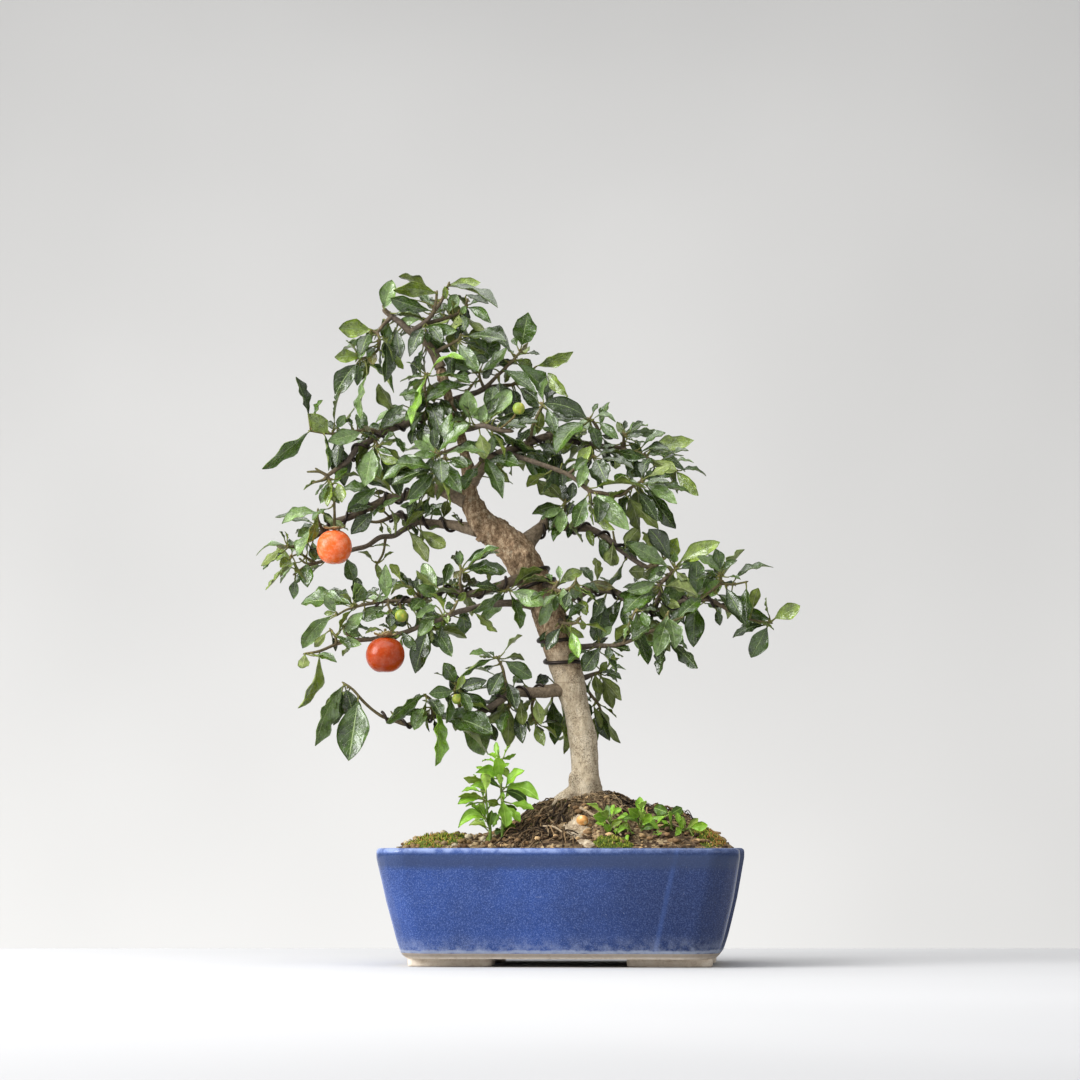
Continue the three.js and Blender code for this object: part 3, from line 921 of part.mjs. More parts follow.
// Four papery lobes on the shoulder of a fruit and the hub they meet in
function calyx([across, behindPlane, height, radius, squash], extra = 0) {
  const top = at([across, behindPlane, height]).addScaledVector(UP, radius * squash + 1);
  const lobes = [0, 1, 2, 3].map((i) => {
    const angle = (Math.PI / 2) * i + 0.5;
    const out = new THREE.Vector3(Math.cos(angle), Math.sin(angle), 0);
    const side = new THREE.Vector3(-Math.sin(angle), Math.cos(angle), 0);
    const middle = top.clone().addScaledVector(out, 0.55 * CALYX_REACH);
    const line = [-1, 1].map((hand) => middle.clone().addScaledVector(side,
      hand * (CALYX_WIDTH / 2 + extra)));
    const tip = top.clone().addScaledVector(out, CALYX_REACH + extra).addScaledVector(UP, 1.2);
    return blade(top, [line], tip, UP, extra);
  });
  const hub = solid(new THREE.CylinderGeometry(2 + extra, 2.4 + extra, 1.3 + 2 * extra,
    8).rotateX(Math.PI / 2)
    .translate(top.x, top.y, top.z + 0.2));
  return joined([hub, ...lobes]);
}

function trunk(extra) {
  return joined([tubeOf(railOf(TRUNK), 10, extra), ...ROOTS.map((root) => tubeOf(railOf(root), 5, extra))]);
}

// The object

const group = new THREE.Group();
const placed = new Map();        // the pieces grown by the gap, which every other piece is cut by

function add(name, shape, colour) {
  const near = [...placed].filter(([other, solidShape]) => other !== name && boxesMeet(solidShape, shape));
  const cut = near.length ? shape.subtract(joined(near.map(([, solidShape]) => solidShape))) : shape;
  const tries = SIMPLIFY.map((tolerance) => () => largest(cut.asOriginal().simplify(tolerance)));
  const kept = tries.reduce((found, attempt) => (found && isClosed(found) ? found : attempt()), null);
  const { vertProperties, triVerts } = kept.getMesh();
  const geometry = new THREE.BufferGeometry();
  geometry.setAttribute('position', new THREE.BufferAttribute(new Float32Array(vertProperties), 3));
  geometry.setIndex(new THREE.BufferAttribute(new Uint32Array(triVerts), 1));
  geometry.computeVertexNormals();
  const material = new THREE.MeshStandardMaterial({ color: COLOURS[colour],
    roughness: FINISH[colour] ?? 0.8 });
  const mesh = new THREE.Mesh(geometry, material);
  mesh.name = name;
  group.add(mesh);
}

const screens = [['drain_screen_left', -DRAIN_X], ['drain_screen_right', DRAIN_X]];
const limbs = Object.entries(SPRAYS);
Object.entries(BACK_LIMBS).forEach(([name, [front, deeper]]) => limbs.push([name, behind(SPRAYS[front],
  deeper)]));
const sprays = [...Object.entries(SEEDLINGS), ...limbs];
sprays.forEach(([, { twigs }]) => twigs.map(railOf).forEach((rail) => {
  rail.slice(1).forEach(({ p }, i) => woodEdges.push([rail[i].p, p]));
}));
const grown = sprays.map(([name, spray]) => [name, spray, grow(name, spray)]);
const wires = grown.filter(([, { wire }]) => wire).map(([name, { wire }, { rails: [rail] }]) => {
  const stop = rail[rail.length - 1].s * wire.reach;
  return [name.replace('limb', 'wire'), (extra) => coil(rail, wire, wire.start, stop, extra)];
});
const trunkRail = railOf(TRUNK);
TRUNK_WIRES.forEach(([name, wire, from, to]) => {
  const lengthAt = (height) => {
    const i = trunkRail.findIndex(({ p }) => p.z > height);
    const [a, b] = [trunkRail[i - 1], trunkRail[i]];
    return THREE.MathUtils.mapLinear(height, a.p.z, b.p.z, a.s, b.s);
  };
  wires.push([name, (extra) => coil(trunkRail, wire, lengthAt(from), lengthAt(to), extra)]);
});

add('pot', pot(), 'glaze');
screens.forEach(([name, x]) => {
  const z = FLOOR_TOP + GAP + SCREEN[2] / 2;
  add(name, box(SCREEN, x, 0, z), 'screen');
  placed.set(name, box(SCREEN.map((size) => size + 2 * GAP), x, 0, z));
});
placed.set('trunk', trunk(GAP));
add('trunk', trunk(0), 'bark');
wires.forEach(([name, make]) => {
  add(name, make(0), 'wire');
  placed.set(name, make(GAP));
});
Object.entries(FRUITS).forEach(([name, { place }]) => {
  add(name, ball(place), 'ripe');
  placed.set(name, ball(place, GAP));
  placed.set(name.replace('fruit', 'calyx'), calyx(place, GAP));
});
Object.entries(UNRIPE).forEach(([name, { place }]) => placed.set(name, ball(place, GAP)));
grown.forEach(([name, , { exact, loose }]) => {
  add(name, exact, SEEDLINGS[name] ? 'shoot' : 'leaf');
  placed.set(name, loose);
});
Object.entries(FRUITS).forEach(([name, { place, stalk }]) => {
  const top = at(place).addScaledVector(UP, place[3] * place[4] + 0.6);
  const whole = joined([calyx(place), tubeThrough([top, ...stalk.map(at)], FRUIT_STALK_RADIUS, 5)]);
  add(name.replace('fruit', 'calyx'), whole, 'calyx');
});
Object.entries(UNRIPE).forEach(([name, { place, stalk }]) => {
  add(name, joined([ball(place), tubeThrough([at(place), ...stalk.map(at)], FRUIT_STALK_RADIUS, 4)]),
    'unripe');
});
add('soil', soil(), 'soil');
placed.set('soil', soil().translate(0, 0, GAP));
Object.entries(MOSS).forEach(([name, patch]) => add(name, mossPatch(patch), 'moss'));
const [[pebbleX, pebbleY], pebbleSize] = PEBBLE;
add('pebble', solid(new THREE.IcosahedronGeometry(1, 1).scale(...pebbleSize)
  .translate(pebbleX, pebbleY, soilHeight(pebbleX, pebbleY) + 0.5 * pebbleSize[2])), 'pebble');

const bounds = new THREE.Box3().setFromObject(group);
const middle = bounds.getCenter(new THREE.Vector3());
group.children.forEach((mesh) => mesh.geometry.translate(-middle.x, -middle.y, -bounds.min.z));

export default group;
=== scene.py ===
"""A persimmon bonsai in a blue glazed pot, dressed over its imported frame.

Sizes in the tables are millimetres; Blender works in metres. The tree is laid out in its own front
plane, as it is seen from a standing point in front of it, and a place is (across, behind, height).
Each piece or group of pieces has an operator, and the sizes and colours that a user may change are
kept with the scene.
"""
import math

import bpy
from mathutils import Matrix, Vector, noise


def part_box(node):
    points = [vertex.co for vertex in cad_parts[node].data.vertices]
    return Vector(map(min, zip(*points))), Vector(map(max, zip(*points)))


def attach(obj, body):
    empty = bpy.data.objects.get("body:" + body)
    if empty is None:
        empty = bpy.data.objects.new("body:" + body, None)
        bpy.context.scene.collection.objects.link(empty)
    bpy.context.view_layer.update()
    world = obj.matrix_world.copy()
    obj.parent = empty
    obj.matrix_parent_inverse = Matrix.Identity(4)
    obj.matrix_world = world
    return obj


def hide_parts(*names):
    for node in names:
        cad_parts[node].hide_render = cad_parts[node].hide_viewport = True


bl_info = {
    "name": "Persimmon bonsai",
    "version": (1, 0, 0),
    "blender": (4, 5, 0),
    "location": "View3D > Sidebar > Bonsai",
    "description": "Makes a persimmon bonsai in a glazed pot, piece by piece",
    "category": "Object",
}

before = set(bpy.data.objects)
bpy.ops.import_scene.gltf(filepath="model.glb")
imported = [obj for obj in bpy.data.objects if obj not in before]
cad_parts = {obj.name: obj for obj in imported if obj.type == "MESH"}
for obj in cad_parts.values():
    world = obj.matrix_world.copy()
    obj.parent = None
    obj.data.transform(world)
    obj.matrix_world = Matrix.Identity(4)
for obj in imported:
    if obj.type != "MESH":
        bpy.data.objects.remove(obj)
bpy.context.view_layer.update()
MM = 0.001
POT_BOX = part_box("pot")
POT_MIDDLE = Vector(((POT_BOX[0][0] + POT_BOX[1][0]) / 2, (POT_BOX[0][1] + POT_BOX[1][1]) / 2, 0)) / MM

# Clearances and the pot, as its frame has them
GAP = 0.3
POT_LENGTH = 265
POT_DEPTH = 190
POT_WALL = 6
POT_CHAMFER = 19
FOOT_HEIGHT = 6
FOOT_SIZE = (62, 32)
FOOT_PLACE = (80, 45)
FOOT_CORNER = 4
FLOOR_TOP = 15
FLOOR_HALF = 114
DRAIN_DIAMETER = 16
DRAIN_X = 62
SOIL_EDGE = 81
SOIL_FALL = 1.2

# The pot's finish: where the glaze ends above the foot, and what the potter's turns round off
GLAZE_END = 9.6
FLOOR_TURN = ((0.3, 2), (1, 0.5), (3, 0))          # in from the wall and up from the floor
FOOT_TURN = ((1.2, 0), (0.4, 0.4), (0.1, 1.2), (0, 3), (0, FOOT_HEIGHT + 2))
CORNER_BEND = 2
SIDE_ARRIS_BEND = 11
FRONT_ARRIS_BEND = 5
SHARP_DEGREES = 38

# The woven screens: from wire to wire, half their width, and the wire's radius and rise
SCREEN_PITCH = 2
SCREEN_HALF = 12.6
SCREEN_WIRE = 0.34
SCREEN_RISE = 0.24

# The front plane
TURN = math.radians(4.5)
EYE_DISTANCE = 2600
EYE_ACROSS = -15
EYE_HEIGHT = 87
PLANE_MIDDLE = 3.5
ACROSS = Vector((math.cos(TURN), math.sin(TURN), 0))
AWAY = Vector((-math.sin(TURN), math.cos(TURN), 0))
UP = Vector((0, 0, 1))

# Leaves and wire
WIRE_CLEAR = 0.4
ROOT_SLIP = 1.6
LEANS = [(lean, turn) for lean in (1, -1, 0.5, -0.5, 1.6, -1.6, 2.2, -2.2) for turn in (1, -1)]
FILL_ROUNDS = 2
FILL_TRIES = 7
FILL_REACH = 26
# fill leaves take these looks at random; dark is painted shade and pale a painted sheen
FILL_LOOKS = "ddddmmmmpo"
BACK_LEAF_SCALE = 0.84
BACK_LEAF_WIDTH = 9
CALYX_REACH = 9
CALYX_WIDTH = 8

# What lies on the soil: the mound's rings, and how many dark roots and tufts of thin moss there are
SOIL_RINGS = 74
DARK_ROOTS = 170
DARK_ROOTS_IN_FRONT = 120
FILM_TUFTS = 420

# Where the bark has healed over a cut: middle of the ring of bark and its size
SCARS = [((-28.5, -12.5, 302), 5.2), ((9, -8.5, 207), 3.2)]
# Swellings of the bark: middle, and half sizes across, behind and up
BURRS = [
    ((-44, -2, 326), (5.5, 5, 4.5)), ((-61, -3, 317), (3.5, 2.4, 2.2)), ((-63, -5, 330), (4, 5, 5)),
    ((-19, -8, 289), (6, 5, 5)), ((-35, -10, 312), (5, 4, 4)), ((4, -9, 233), (5, 4, 6)),
    ((-14, -9, 268), (5, 4, 5)), ((22, -8, 134), (5, 4, 8)), ((10, -6, 136), (4, 4, 9)),
    ((26, -2, 130), (6, 6, 6)),
]
# A thick root that lies bare on the slope: places on the pot, with the root's radius at each
BARE_ROOT = [(8, -10, 117, 4.5), (3, -24, 110.5, 4.5), (2, -38, 103.5, 4.5), (5, -51, 96, 5.5),
             (13, -63, 90, 7), (26, -76, 82, 7)]
# Pale dead sticks: places on the pot, each with its lift off the soil, and the stick's radius
DEAD_STICKS = [
    ([(14, -38, 3), (24, -46, 2.4), (36, -58, 2.2), (46, -68, 2)], 1.3),
    ([(-12, -52, 2), (-4, -60, 2.4), (3, -66, 2)], 0.9),
    ([(66, -46, 3), (78, -50, 3.4), (88, -50, 2)], 0.8),
]
# Dips in the soil, where roots lie bare: middle, reach and depth
HOLLOWS = [((12, -54), 13, 8), ((-10, -44), 13, 6.5), ((-26, -30), 10, 4), ((42, -40), 9, 3)]
# The pebble: its place on the pot and its half sizes
PEBBLE = ((17, -56), (4.6, 4, 3.8))

# The camera: pitch in degrees and focal length
EYE_PITCH = 5.044
LENS = 115.8
# The table and the paper reach this far to each side; the table from in front to behind, the paper from
# below to above. The paper stands far enough back for a view of the tree's back from in front of it
STAGE_HALF = 6000
TABLE_FROM_TO = (-4200, 400)
BACKDROP_FROM_TO = (-1500, 5000)
BACKDROP_BEHIND = 3400
# Each light's place, target, size in metres and power in watts
STUDIO_LIGHTS = [
    ("key_left", (-1700, -900, 1100), (0, 0, 250), (1.4, 1.4), 67),
    ("fill_right", (1700, -1500, 900), (0, 0, 250), (1.6, 1.6), 6),
    ("top", (-300, -100, 1700), (0, 0, 250), (2.4, 1.8), 34),
    ("backdrop_wash", (-1200, 1150, -2000), (-1200, 3400, 3200), (5.2, 0.8), 131),
]
ROOM_LIGHT = 0.42


# The trunk and its roots: the wood's line in places on the tree, each with its radius
TRUNK = [[23, 2, 52, 22], [22, 1, 84, 21], [21, 0, 108, 17], [20.5, 0, 118, 14.5], [20, 0, 126, 12],
         [19, 0, 140, 10.6], [18, 0, 159, 10.4], [15, 0, 178, 10.2], [11, 0, 194, 10.5], [7, -1, 209, 11.4],
         [3, -1, 225, 12.2], [-2, -2, 242, 12.6], [-8, -2, 260, 12.6], [-15, -2, 278, 12.4],
         [-24, -1, 293, 12.8], [-31, 0, 306, 13.2], [-42, 2, 317, 12.4], [-53, 3, 325, 11.2],
         [-62, 3, 335, 9], [-67, 3, 346, 7.4], [-68.5, 3, 356, 6], [-69, 2, 366, 5], [-72, 2, 382, 4.2],
         [-74, 2, 394, 3.8], [-78, 2, 407, 3.6], [-83, 1, 422, 3.6], [-87, 1, 434, 3.7], [-90, 0, 447, 3.5]]
ROOTS = [
    [[12, -3, 130, 5], [4, -8, 122, 7], [-3, -14, 114, 6.5], [-9, -20, 105, 5], [-16, -26, 94, 4]],
    [[20, -6, 118, 8], [15, -34, 106, 8.5], [16, -50, 98, 8.5], [22, -60, 91, 7], [30, -68, 82, 5]],
    [[24, 4, 118, 8], [30, 26, 110, 7], [40, 44, 100, 6], [52, 58, 86, 4]],
    [[28, 0, 124, 6], [40, 4, 118, 5.5], [54, 8, 108, 5], [70, 10, 96, 4]],
    [[14, 6, 122, 6], [2, 20, 114, 6], [-10, 36, 102, 5], [-22, 50, 88, 4]],
]
# Wire round the trunk: its name, how it winds, and the heights it winds between
TRUNK_WIRES = [
    ["wire_trunk_low", {"hand": -1, "pitch": 17, "radius": 1.4}, 214, 254],
    ["wire_trunk_high", {"hand": -1, "pitch": 9, "radius": 1.4}, 278, 294],
]
# Every limb: its twigs, each a line of places with the wood's radius, and its leaves, each with base
# across and up, tip across and up, width as it is seen, look, and how far its middle is raised, if at all
# a leaf's look may carry painted light: dark is painted shade, pale a painted sheen, yellow and lime partly
# painted light shining through
SPRAYS = {
    "crown": {
        "twigs": [
            [[-90, 0, 447, 3.4], [-95, 0, 458, 3.2], [-102, -1, 467, 3], [-111, -2, 473, 2.9],
             [-119, -3, 480, 2.6], [-127, -4, 486, 2.2], [-131, -4, 489, 1.8]],
            [[-127, -4, 486, 2], [-131, -6, 490, 1.5], [-133, -7, 493, 1]],
            [[-113, -2, 474, 2.6], [-104, -6, 480, 2], [-97, -8, 487, 1.6], [-94, -8, 496, 1.2],
             [-93, -8, 504, 1]],
            [[-104, -6, 480, 2], [-92, -2, 483, 1.6], [-82, 2, 486, 1.4], [-73, 4, 491, 1.1],
             [-70, 4, 498, 1]],
            [[-97, -8, 487, 1.6], [-90, 2, 497, 1.3], [-86, 4, 506, 1], [-84, 4, 511, 0.9]],
            [[-127, -4, 486, 2], [-133, -8, 480, 1.5], [-138, -10, 474, 1.2], [-141, -10, 475, 1],
             [-143, -10, 476, 0.8]],
            [[-138, -10, 474, 1.2], [-136, -12, 467, 1.1], [-138, -13, 460, 1], [-146, -14, 455, 0.9],
             [-151, -14, 454, 0.8]],
            [[-95, 0, 458, 2], [-84, -8, 464, 1.3], [-77, -12, 468, 1], [-75, -12, 472, 0.8]]],
        "leaves": [
            [-142, 476, -167, 477, 14, "y"], [-133, 491, -127, 514, 13, "p"],
            [-92, 503, -126, 506, 10, "y", 3], [-97, 490, -128, 500, 9, "m"], [-108, 499, -124, 494, 6, "o"],
            [-105, 484, -123, 481, 7, "p"], [-134, 485, -129, 467, 9, "p"], [-132, 471, -132, 436, 8, "d"],
            [-126, 471, -122, 451, 10, "m"], [-124, 477, -120, 454, 9, "d"], [-131, 459, -118, 446, 6, "y"],
            [-143, 464, -141, 449, 8, "b"], [-150, 456, -170, 455, 10, "y"], [-141, 471, -160, 466, 4, "p"],
            [-145, 444, -150, 408, 5, "p"], [-85, 510, -60, 512, 9, "y"], [-88, 509, -47, 493, 8, "d", 4],
            [-72, 503, -54, 496, 5, "d"], [-86, 499, -87, 509, 5, "y"], [-84, 489, -78, 503, 9, "p"],
            [-75, 487, -71, 494, 5, "p"], [-70, 493, -52, 481, 8, "m", 3], [-74, 487, -53, 473, 7, "o"],
            [-103, 478, -78, 475, 9, "m"], [-79, 484, -97, 485, 6, "m"], [-102, 474, -86, 467, 7, "d"],
            [-101, 471, -83, 459, 7, "m"], [-104, 486, -98, 478, 6, "d"], [-77, 466, -61, 444, 11, "m"],
            [-72, 466, -53, 457, 5, "d"], [-67, 456, -54, 452, 7, "d"]],
    },
    "shoot_upper": {
        "twigs": [
            [[-83, 1, 421, 2.4], [-73, 6, 425, 2.2], [-63, 10, 428, 2.1], [-57, 12, 431, 2],
             [-47, 16, 433, 1.7], [-36, 18, 434, 1.3]],
            [[-73, 6, 425, 1.4], [-69, 2, 430, 1.1], [-66, -1, 434, 0.9]],
            [[-57, 12, 431, 1.8], [-50, 8, 438, 1.5], [-41, 4, 447, 1.3], [-35, 2, 453, 1.1],
             [-30, 0, 459, 0.9]],
            [[-57, 12, 431, 1.3], [-60, 10, 438, 1], [-61, 8, 444, 0.8]],
            [[-36, 18, 434, 1.2], [-27, 16, 440, 1], [-19, 14, 447, 0.8]]],
        "leaves": [
            [-60, 444, -40, 462, 8, "p", -3], [-62, 446, -88, 454, 9, "m"], [-66, 443, -78, 442, 6, "d"],
            [-50, 447, -58, 439, 6, "d"], [-66, 434, -101, 421, 9, "m", 3], [-29, 463, -24, 489, 18, "m"],
            [-30, 459, -24, 466, 3, "b"], [-34, 451, -46, 450, 7, "d"], [-33, 453, -21, 447, 9, "y"],
            [-33, 451, -5, 422, 12, "m"], [-44, 446, -18, 428, 10, "m"], [-18, 448, 10, 459, 9, "y"],
            [-31, 432, -16, 415, 8, "m"], [-35, 430, -31, 420, 7, "d"]],
    },
    "shoot_middle": {
        "twigs": [[[-75, 0, 400, 2.2], [-66, -14, 401, 2], [-58, -24, 403, 1.9], [-47, -27, 400, 1.9],
                   [-38, -28, 399, 1.6]]],
        "leaves": [
            [-56, 406, -37, 430, 13, "p"], [-60, 405, -57, 419, 8, "p"], [-68, 407, -70, 430, 13, "p"],
            [-74, 413, -80, 424, 5, "d"], [-66, 406, -88, 397, 6, "p"], [-58, 410, -46, 424, 8, "d"],
            [-50, 409, -22, 411, 7, "d"], [-46, 406, -25, 402, 7, "d"], [-55, 399, -42, 391, 5, "m"]],
    },
    "limb_left_top": {
        "twigs": [
            [[-83, 2, 418, 3.2], [-90, 4, 414, 3.2], [-101, 4, 410, 3.1], [-109, 3, 408, 3],
             [-117, 2, 404, 2.8], [-131, -2, 399, 2.6], [-142, -6, 392, 2.4], [-152, -10, 386, 2.4],
             [-160, -14, 376, 2.2], [-167, -17, 371, 1.7], [-175, -20, 365, 1.4]],
            [[-101, 4, 410, 1.8], [-100, -4, 420, 1.4], [-102, -8, 432, 1.1], [-100, -9, 442, 0.8]],
            [[-136, -4, 396, 1.6], [-142, -10, 400, 1.3], [-160, -14, 398, 1.2], [-174, -18, 397, 1],
             [-188, -20, 399, 0.8]],
            [[-175, -20, 365, 1.3], [-183, -22, 370, 0.8]],
            [[-175, -20, 365, 1.3], [-181, -18, 368, 1], [-189, -18, 368, 0.8]],
            [[-175, -20, 365, 1.3], [-178, -22, 362, 1], [-185, -24, 360, 0.8]],
            [[-175, -20, 365, 1.3], [-172, -21, 358, 1.1], [-170, -21.5, 350, 1.1], [-169.5, -22, 337, 1]],
            [[-140, -5, 394, 1.3], [-138, -10, 390, 1], [-138, -12, 386, 0.8]]],
        "leaves": [
            [-101, 441, -112, 404, 5, "l", -5], [-100, 440, -111, 430, 6, "y"],
            [-102, 433, -107, 412, 10, "m"], [-99, 441, -71, 453, 4, "l", 7], [-103, 429, -121, 426, 4, "m"],
            [-112, 413, -140, 403, 5, "p", 5], [-117, 420, -135, 400, 10, "m"],
            [-135, 401, -114, 411, 7, "d"], [-114, 416, -106, 413, 4, "d"], [-90, 424, -83, 410, 10, "d"],
            [-101, 412, -92, 407, 4, "b"], [-109, 406, -91, 385, 14, "d"], [-110, 404, -112, 389, 7, "d"],
            [-188, 399, -224, 370, 6, "m", 3], [-189, 410, -199, 440, 5, "d"],
            [-174, 397, -189, 412, 13, "y"], [-168, 401, -162, 411, 7, "m"], [-149, 398, -175, 391, 12, "p"],
            [-177, 397, -174, 369, 4, "m", -3], [-155, 382, -167, 373, 5, "b"],
            [-141, 387, -147, 357, 15, "p"], [-139, 386, -143, 361, 8, "m"],
            [-137, 383, -120, 376, 7, "y", -3], [-139, 386, -127, 381, 4, "m"],
            [-142, 398, -148, 403, 4, "b"], [-141, 398, -150, 394, 5, "m"], [-172, 361, -175, 342, 6, "y"],
            [-167, 360, -164, 345, 9, "y"], [-175, 358, -180, 344, 6, "p"], [-171, 358, -160, 371, 6, "l"]],
    },
    "spray_front_left": {
        "twigs": [
            [[-72, -2, 388, 1.8], [-78, -20, 386, 1.6], [-86, -32, 383, 1.4], [-94, -36, 381, 1.1]],
            [[-86, -32, 383, 1.3], [-88, -36, 374, 1.1], [-92, -38, 367, 0.9]]],
        "leaves": [
            [-96, 384, -110, 391, 7, "p"], [-95, 382, -110, 381, 6, "p"], [-92, 383, -68, 404, 8, "m"],
            [-97, 381, -134, 361, 8, "m"], [-95, 380, -98, 372, 6, "p"], [-92, 378, -74, 352, 13, "m"],
            [-84, 375, -66, 375, 9, "m"], [-90, 378, -84, 374, 3, "d"], [-94, 369, -115, 347, 11, "m"],
            [-96, 361, -114, 343, 7, "p"], [-97, 371, -108, 363, 5, "m"], [-95, 364, -88, 358, 5, "o"]],
    },
    "limb_left_upper": {
        "twigs": [
            [[-70, 4, 346, 5], [-82, 8, 351, 4.6], [-93, 11, 355, 4.3], [-105, 12, 354, 3.8],
             [-118, 11, 349, 3.4], [-129, 9, 348, 3.2], [-139, 6, 343, 3.2], [-150, 3, 338, 3],
             [-160, 1, 333, 2.7], [-170, 0, 330, 2.3], [-178, -2, 323, 1.9], [-187, -6, 317, 1.5],
             [-195, -9, 313, 1.2], [-203, -12, 311, 0.9]],
            [[-178, -2, 323, 1.5], [-182, -8, 332, 1.1], [-182, -10, 339, 0.8]],
            [[-203, -12, 311, 0.9], [-208, -13, 312, 0.8]]],
        "leaves": [
            [-182, 337, -209, 329, 9, "p", 3], [-182, 336, -190, 314, 6, "y", -3],
            [-178, 338, -172, 329, 7, "m"], [-188, 326, -197, 319, 7, "p"], [-205, 310, -213, 312, 3, "b"],
            [-205, 312, -228, 305, 4, "m", 4], [-186, 316, -184, 301, 8, "p"],
            [-140, 338, -157, 321, 12, "d"], [-137, 357, -160, 338, 11, "m"], [-141, 342, -159, 339, 6, "d"],
            [-131, 353, -140, 352, 4, "b"], [-119, 349, -134, 341, 5, "p"], [-97, 349, -111, 335, 7, "y"],
            [-110, 343, -120, 342, 5, "p"]],
    },
    "limb_left_middle": {
        "twigs": [
            [[-62, 6, 324, 4], [-72, 12, 326, 3.8], [-82, 17, 328, 3.5], [-95, 20, 329, 3.2],
             [-106, 22, 331, 2.8], [-116, 24, 334, 2.4], [-124, 25, 335, 2], [-131, 24, 332, 1.5],
             [-138, 23, 330, 1.2], [-146, 22, 331, 0.9]],
            [[-106, 22, 331, 2.5], [-112, 19, 327, 2.3], [-118, 17, 324, 2.2], [-125, 15, 319.5, 2.1],
             [-135, 14, 318.5, 2], [-145, 13, 312, 1.9], [-156, 12, 309, 1.8], [-170, 10, 304, 1.6],
             [-180, 7, 300, 1.4], [-190, 4, 297, 1.2], [-199, 1, 291, 0.9]],
            [[-131, 15, 318, 1], [-133, 12, 306, 0.9], [-138, 8, 297, 0.9], [-137, 5, 291, 0.8],
             [-134.5, 3, 285, 0.7]],
            [[-184, 6, 299.5, 1], [-190, 2, 303, 0.9], [-195, -1, 306, 0.8], [-202, -3, 304, 0.7]],
            [[-186, 6, 298.6, 1], [-191, 6, 299, 0.9], [-195, 8, 302, 0.8]]],
        "leaves": [
            [-114, 324, -99, 300, 9, "o"], [-106, 324, -86, 311, 11, "o"], [-119, 332, -113, 326, 6, "o"],
            [-88, 334, -98, 336, 6, "m", 3], [-95, 341, -105, 335, 3, "m"], [-130, 328, -127, 321, 3, "y"],
            [-202, 303, -214, 307, 11, "y"], [-202, 302, -210, 296, 10, "y"],
            [-206, 299, -221, 279, 4, "y", -3], [-201, 297, -210, 284, 3, "p"],
            [-190, 295, -200, 282, 5, "d"], [-160, 303, -155, 286, 11, "m"], [-134, 285, -137, 298, 5, "y"]],
    },
    "limb_left_low": {
        "twigs": [
            [[-27, -6, 288, 3.6], [-37, -14, 285, 3.4], [-45, -19, 282, 3.2], [-54, -22, 279.5, 3],
             [-63, -23, 276.5, 2.8], [-73, -23, 276, 2.6], [-84, -22, 279, 2.3], [-93, -22, 276, 2.1],
             [-104, -23, 273, 2], [-114, -24, 270.5, 1.8], [-128, -25, 270.5, 1.5], [-140, -26, 269, 1.3],
             [-150, -27, 267, 1.1], [-160, -28, 264, 0.9], [-167, -28, 260, 0.8]],
            [[-128, -25, 270.5, 1.2], [-129, -28, 268, 1], [-127, -30, 263, 0.8]],
            [[-104, -23, 273, 1.2], [-109, -30, 277, 1], [-112, -33, 281, 0.8], [-117, -34, 282, 0.7]],
            [[-73, -23, 276, 1.6], [-75, -30, 285, 1.2], [-74, -32, 293, 0.9]],
            [[-38, -15, 284.6, 1.6], [-39, -21, 281, 1.3], [-40, -25, 278, 1]]],
        "leaves": [
            [-147, 270, -154, 284, 12, "p"], [-168, 262, -177, 275, 8, "p"], [-168, 262, -177, 261, 4, "y"],
            [-170, 260, -193, 235, 11, "p", 6], [-131, 267, -149, 257, 11, "p"],
            [-127, 262, -127, 251, 8, "d"], [-130, 271, -131, 298, 10, "p"], [-139, 270, -130, 274, 4, "p"],
            [-129, 270, -115, 272, 5, "m", 2], [-124, 268, -115, 264, 4, "p"], [-73, 295, -40, 293, 11, "m"],
            [-71, 300, -53, 309, 8, "m"], [-70, 292, -45, 291, 5, "d", 2], [-74, 294, -80, 288, 5, "b"],
            [-73, 293, -69, 285, 7, "b"], [-42, 278, -66, 262, 7, "m"], [-41, 277, -60, 256, 8, "p"],
            [-77, 272, -85, 280, 6, "y"], [-76, 270, -71, 277, 6, "y"], [-72, 279, -84, 282, 4, "m"],
            [-92, 276, -103, 299, 11, "p"], [-91, 274, -107, 282, 9, "p"], [-104, 273, -107, 290, 7, "d"],
            [-109, 276, -115, 279, 6, "y"], [-113, 281, -127, 275, 3, "o", 3], [-95, 271, -107, 269, 5, "b"],
            [-37, 278, -10, 268, 13, "p"]],
    },
    "limb_left_lower": {
        "twigs": [
            [[-22, -10, 268, 3], [-38, -18, 269, 2.6], [-52, -26, 268, 2.4], [-66, -34, 265, 2.2],
             [-78, -38, 262, 2], [-90, -38, 257, 2], [-104, -34, 252, 1.9], [-116, -30, 247, 1.9],
             [-128, -28, 244.5, 1.8], [-140, -28, 242, 1.7], [-150, -29, 241, 1.6], [-160, -31, 240, 1.4],
             [-168, -33, 238, 1.3], [-180, -36, 233, 1.1], [-191, -38, 231, 0.8]],
            [[-168, -33, 238, 1.1], [-168, -35, 243, 1], [-172, -37, 249, 0.8]],
            [[-156, -30, 240.5, 1.1], [-160, -30, 246, 1], [-163, -30, 252, 0.8]],
            [[-84, -38, 259.6, 1.2], [-80, -42, 264, 1], [-77, -44, 270, 0.8]]],
        "leaves": [
            [-73, 264, -71, 246, 11, "m"], [-83, 256, -95, 253, 8, "l"], [-87, 263, -84, 254, 5, "y"],
            [-79, 267, -86, 267, 6, "d"], [-92, 268, -108, 258, 8, "p"], [-94, 262, -106, 244, 10, "p"],
            [-108, 264, -99, 234, 11, "p"], [-97, 248, -90, 236, 8, "d"], [-175, 247, -184, 236, 6, "o"],
            [-191, 231, -193, 220, 9, "o"], [-180, 231, -196, 190, 7, "y", -3],
            [-166, 241, -149, 238, 8, "p"], [-163, 246, -148, 262, 9, "p"], [-148, 244, -163, 250, 9, "p"],
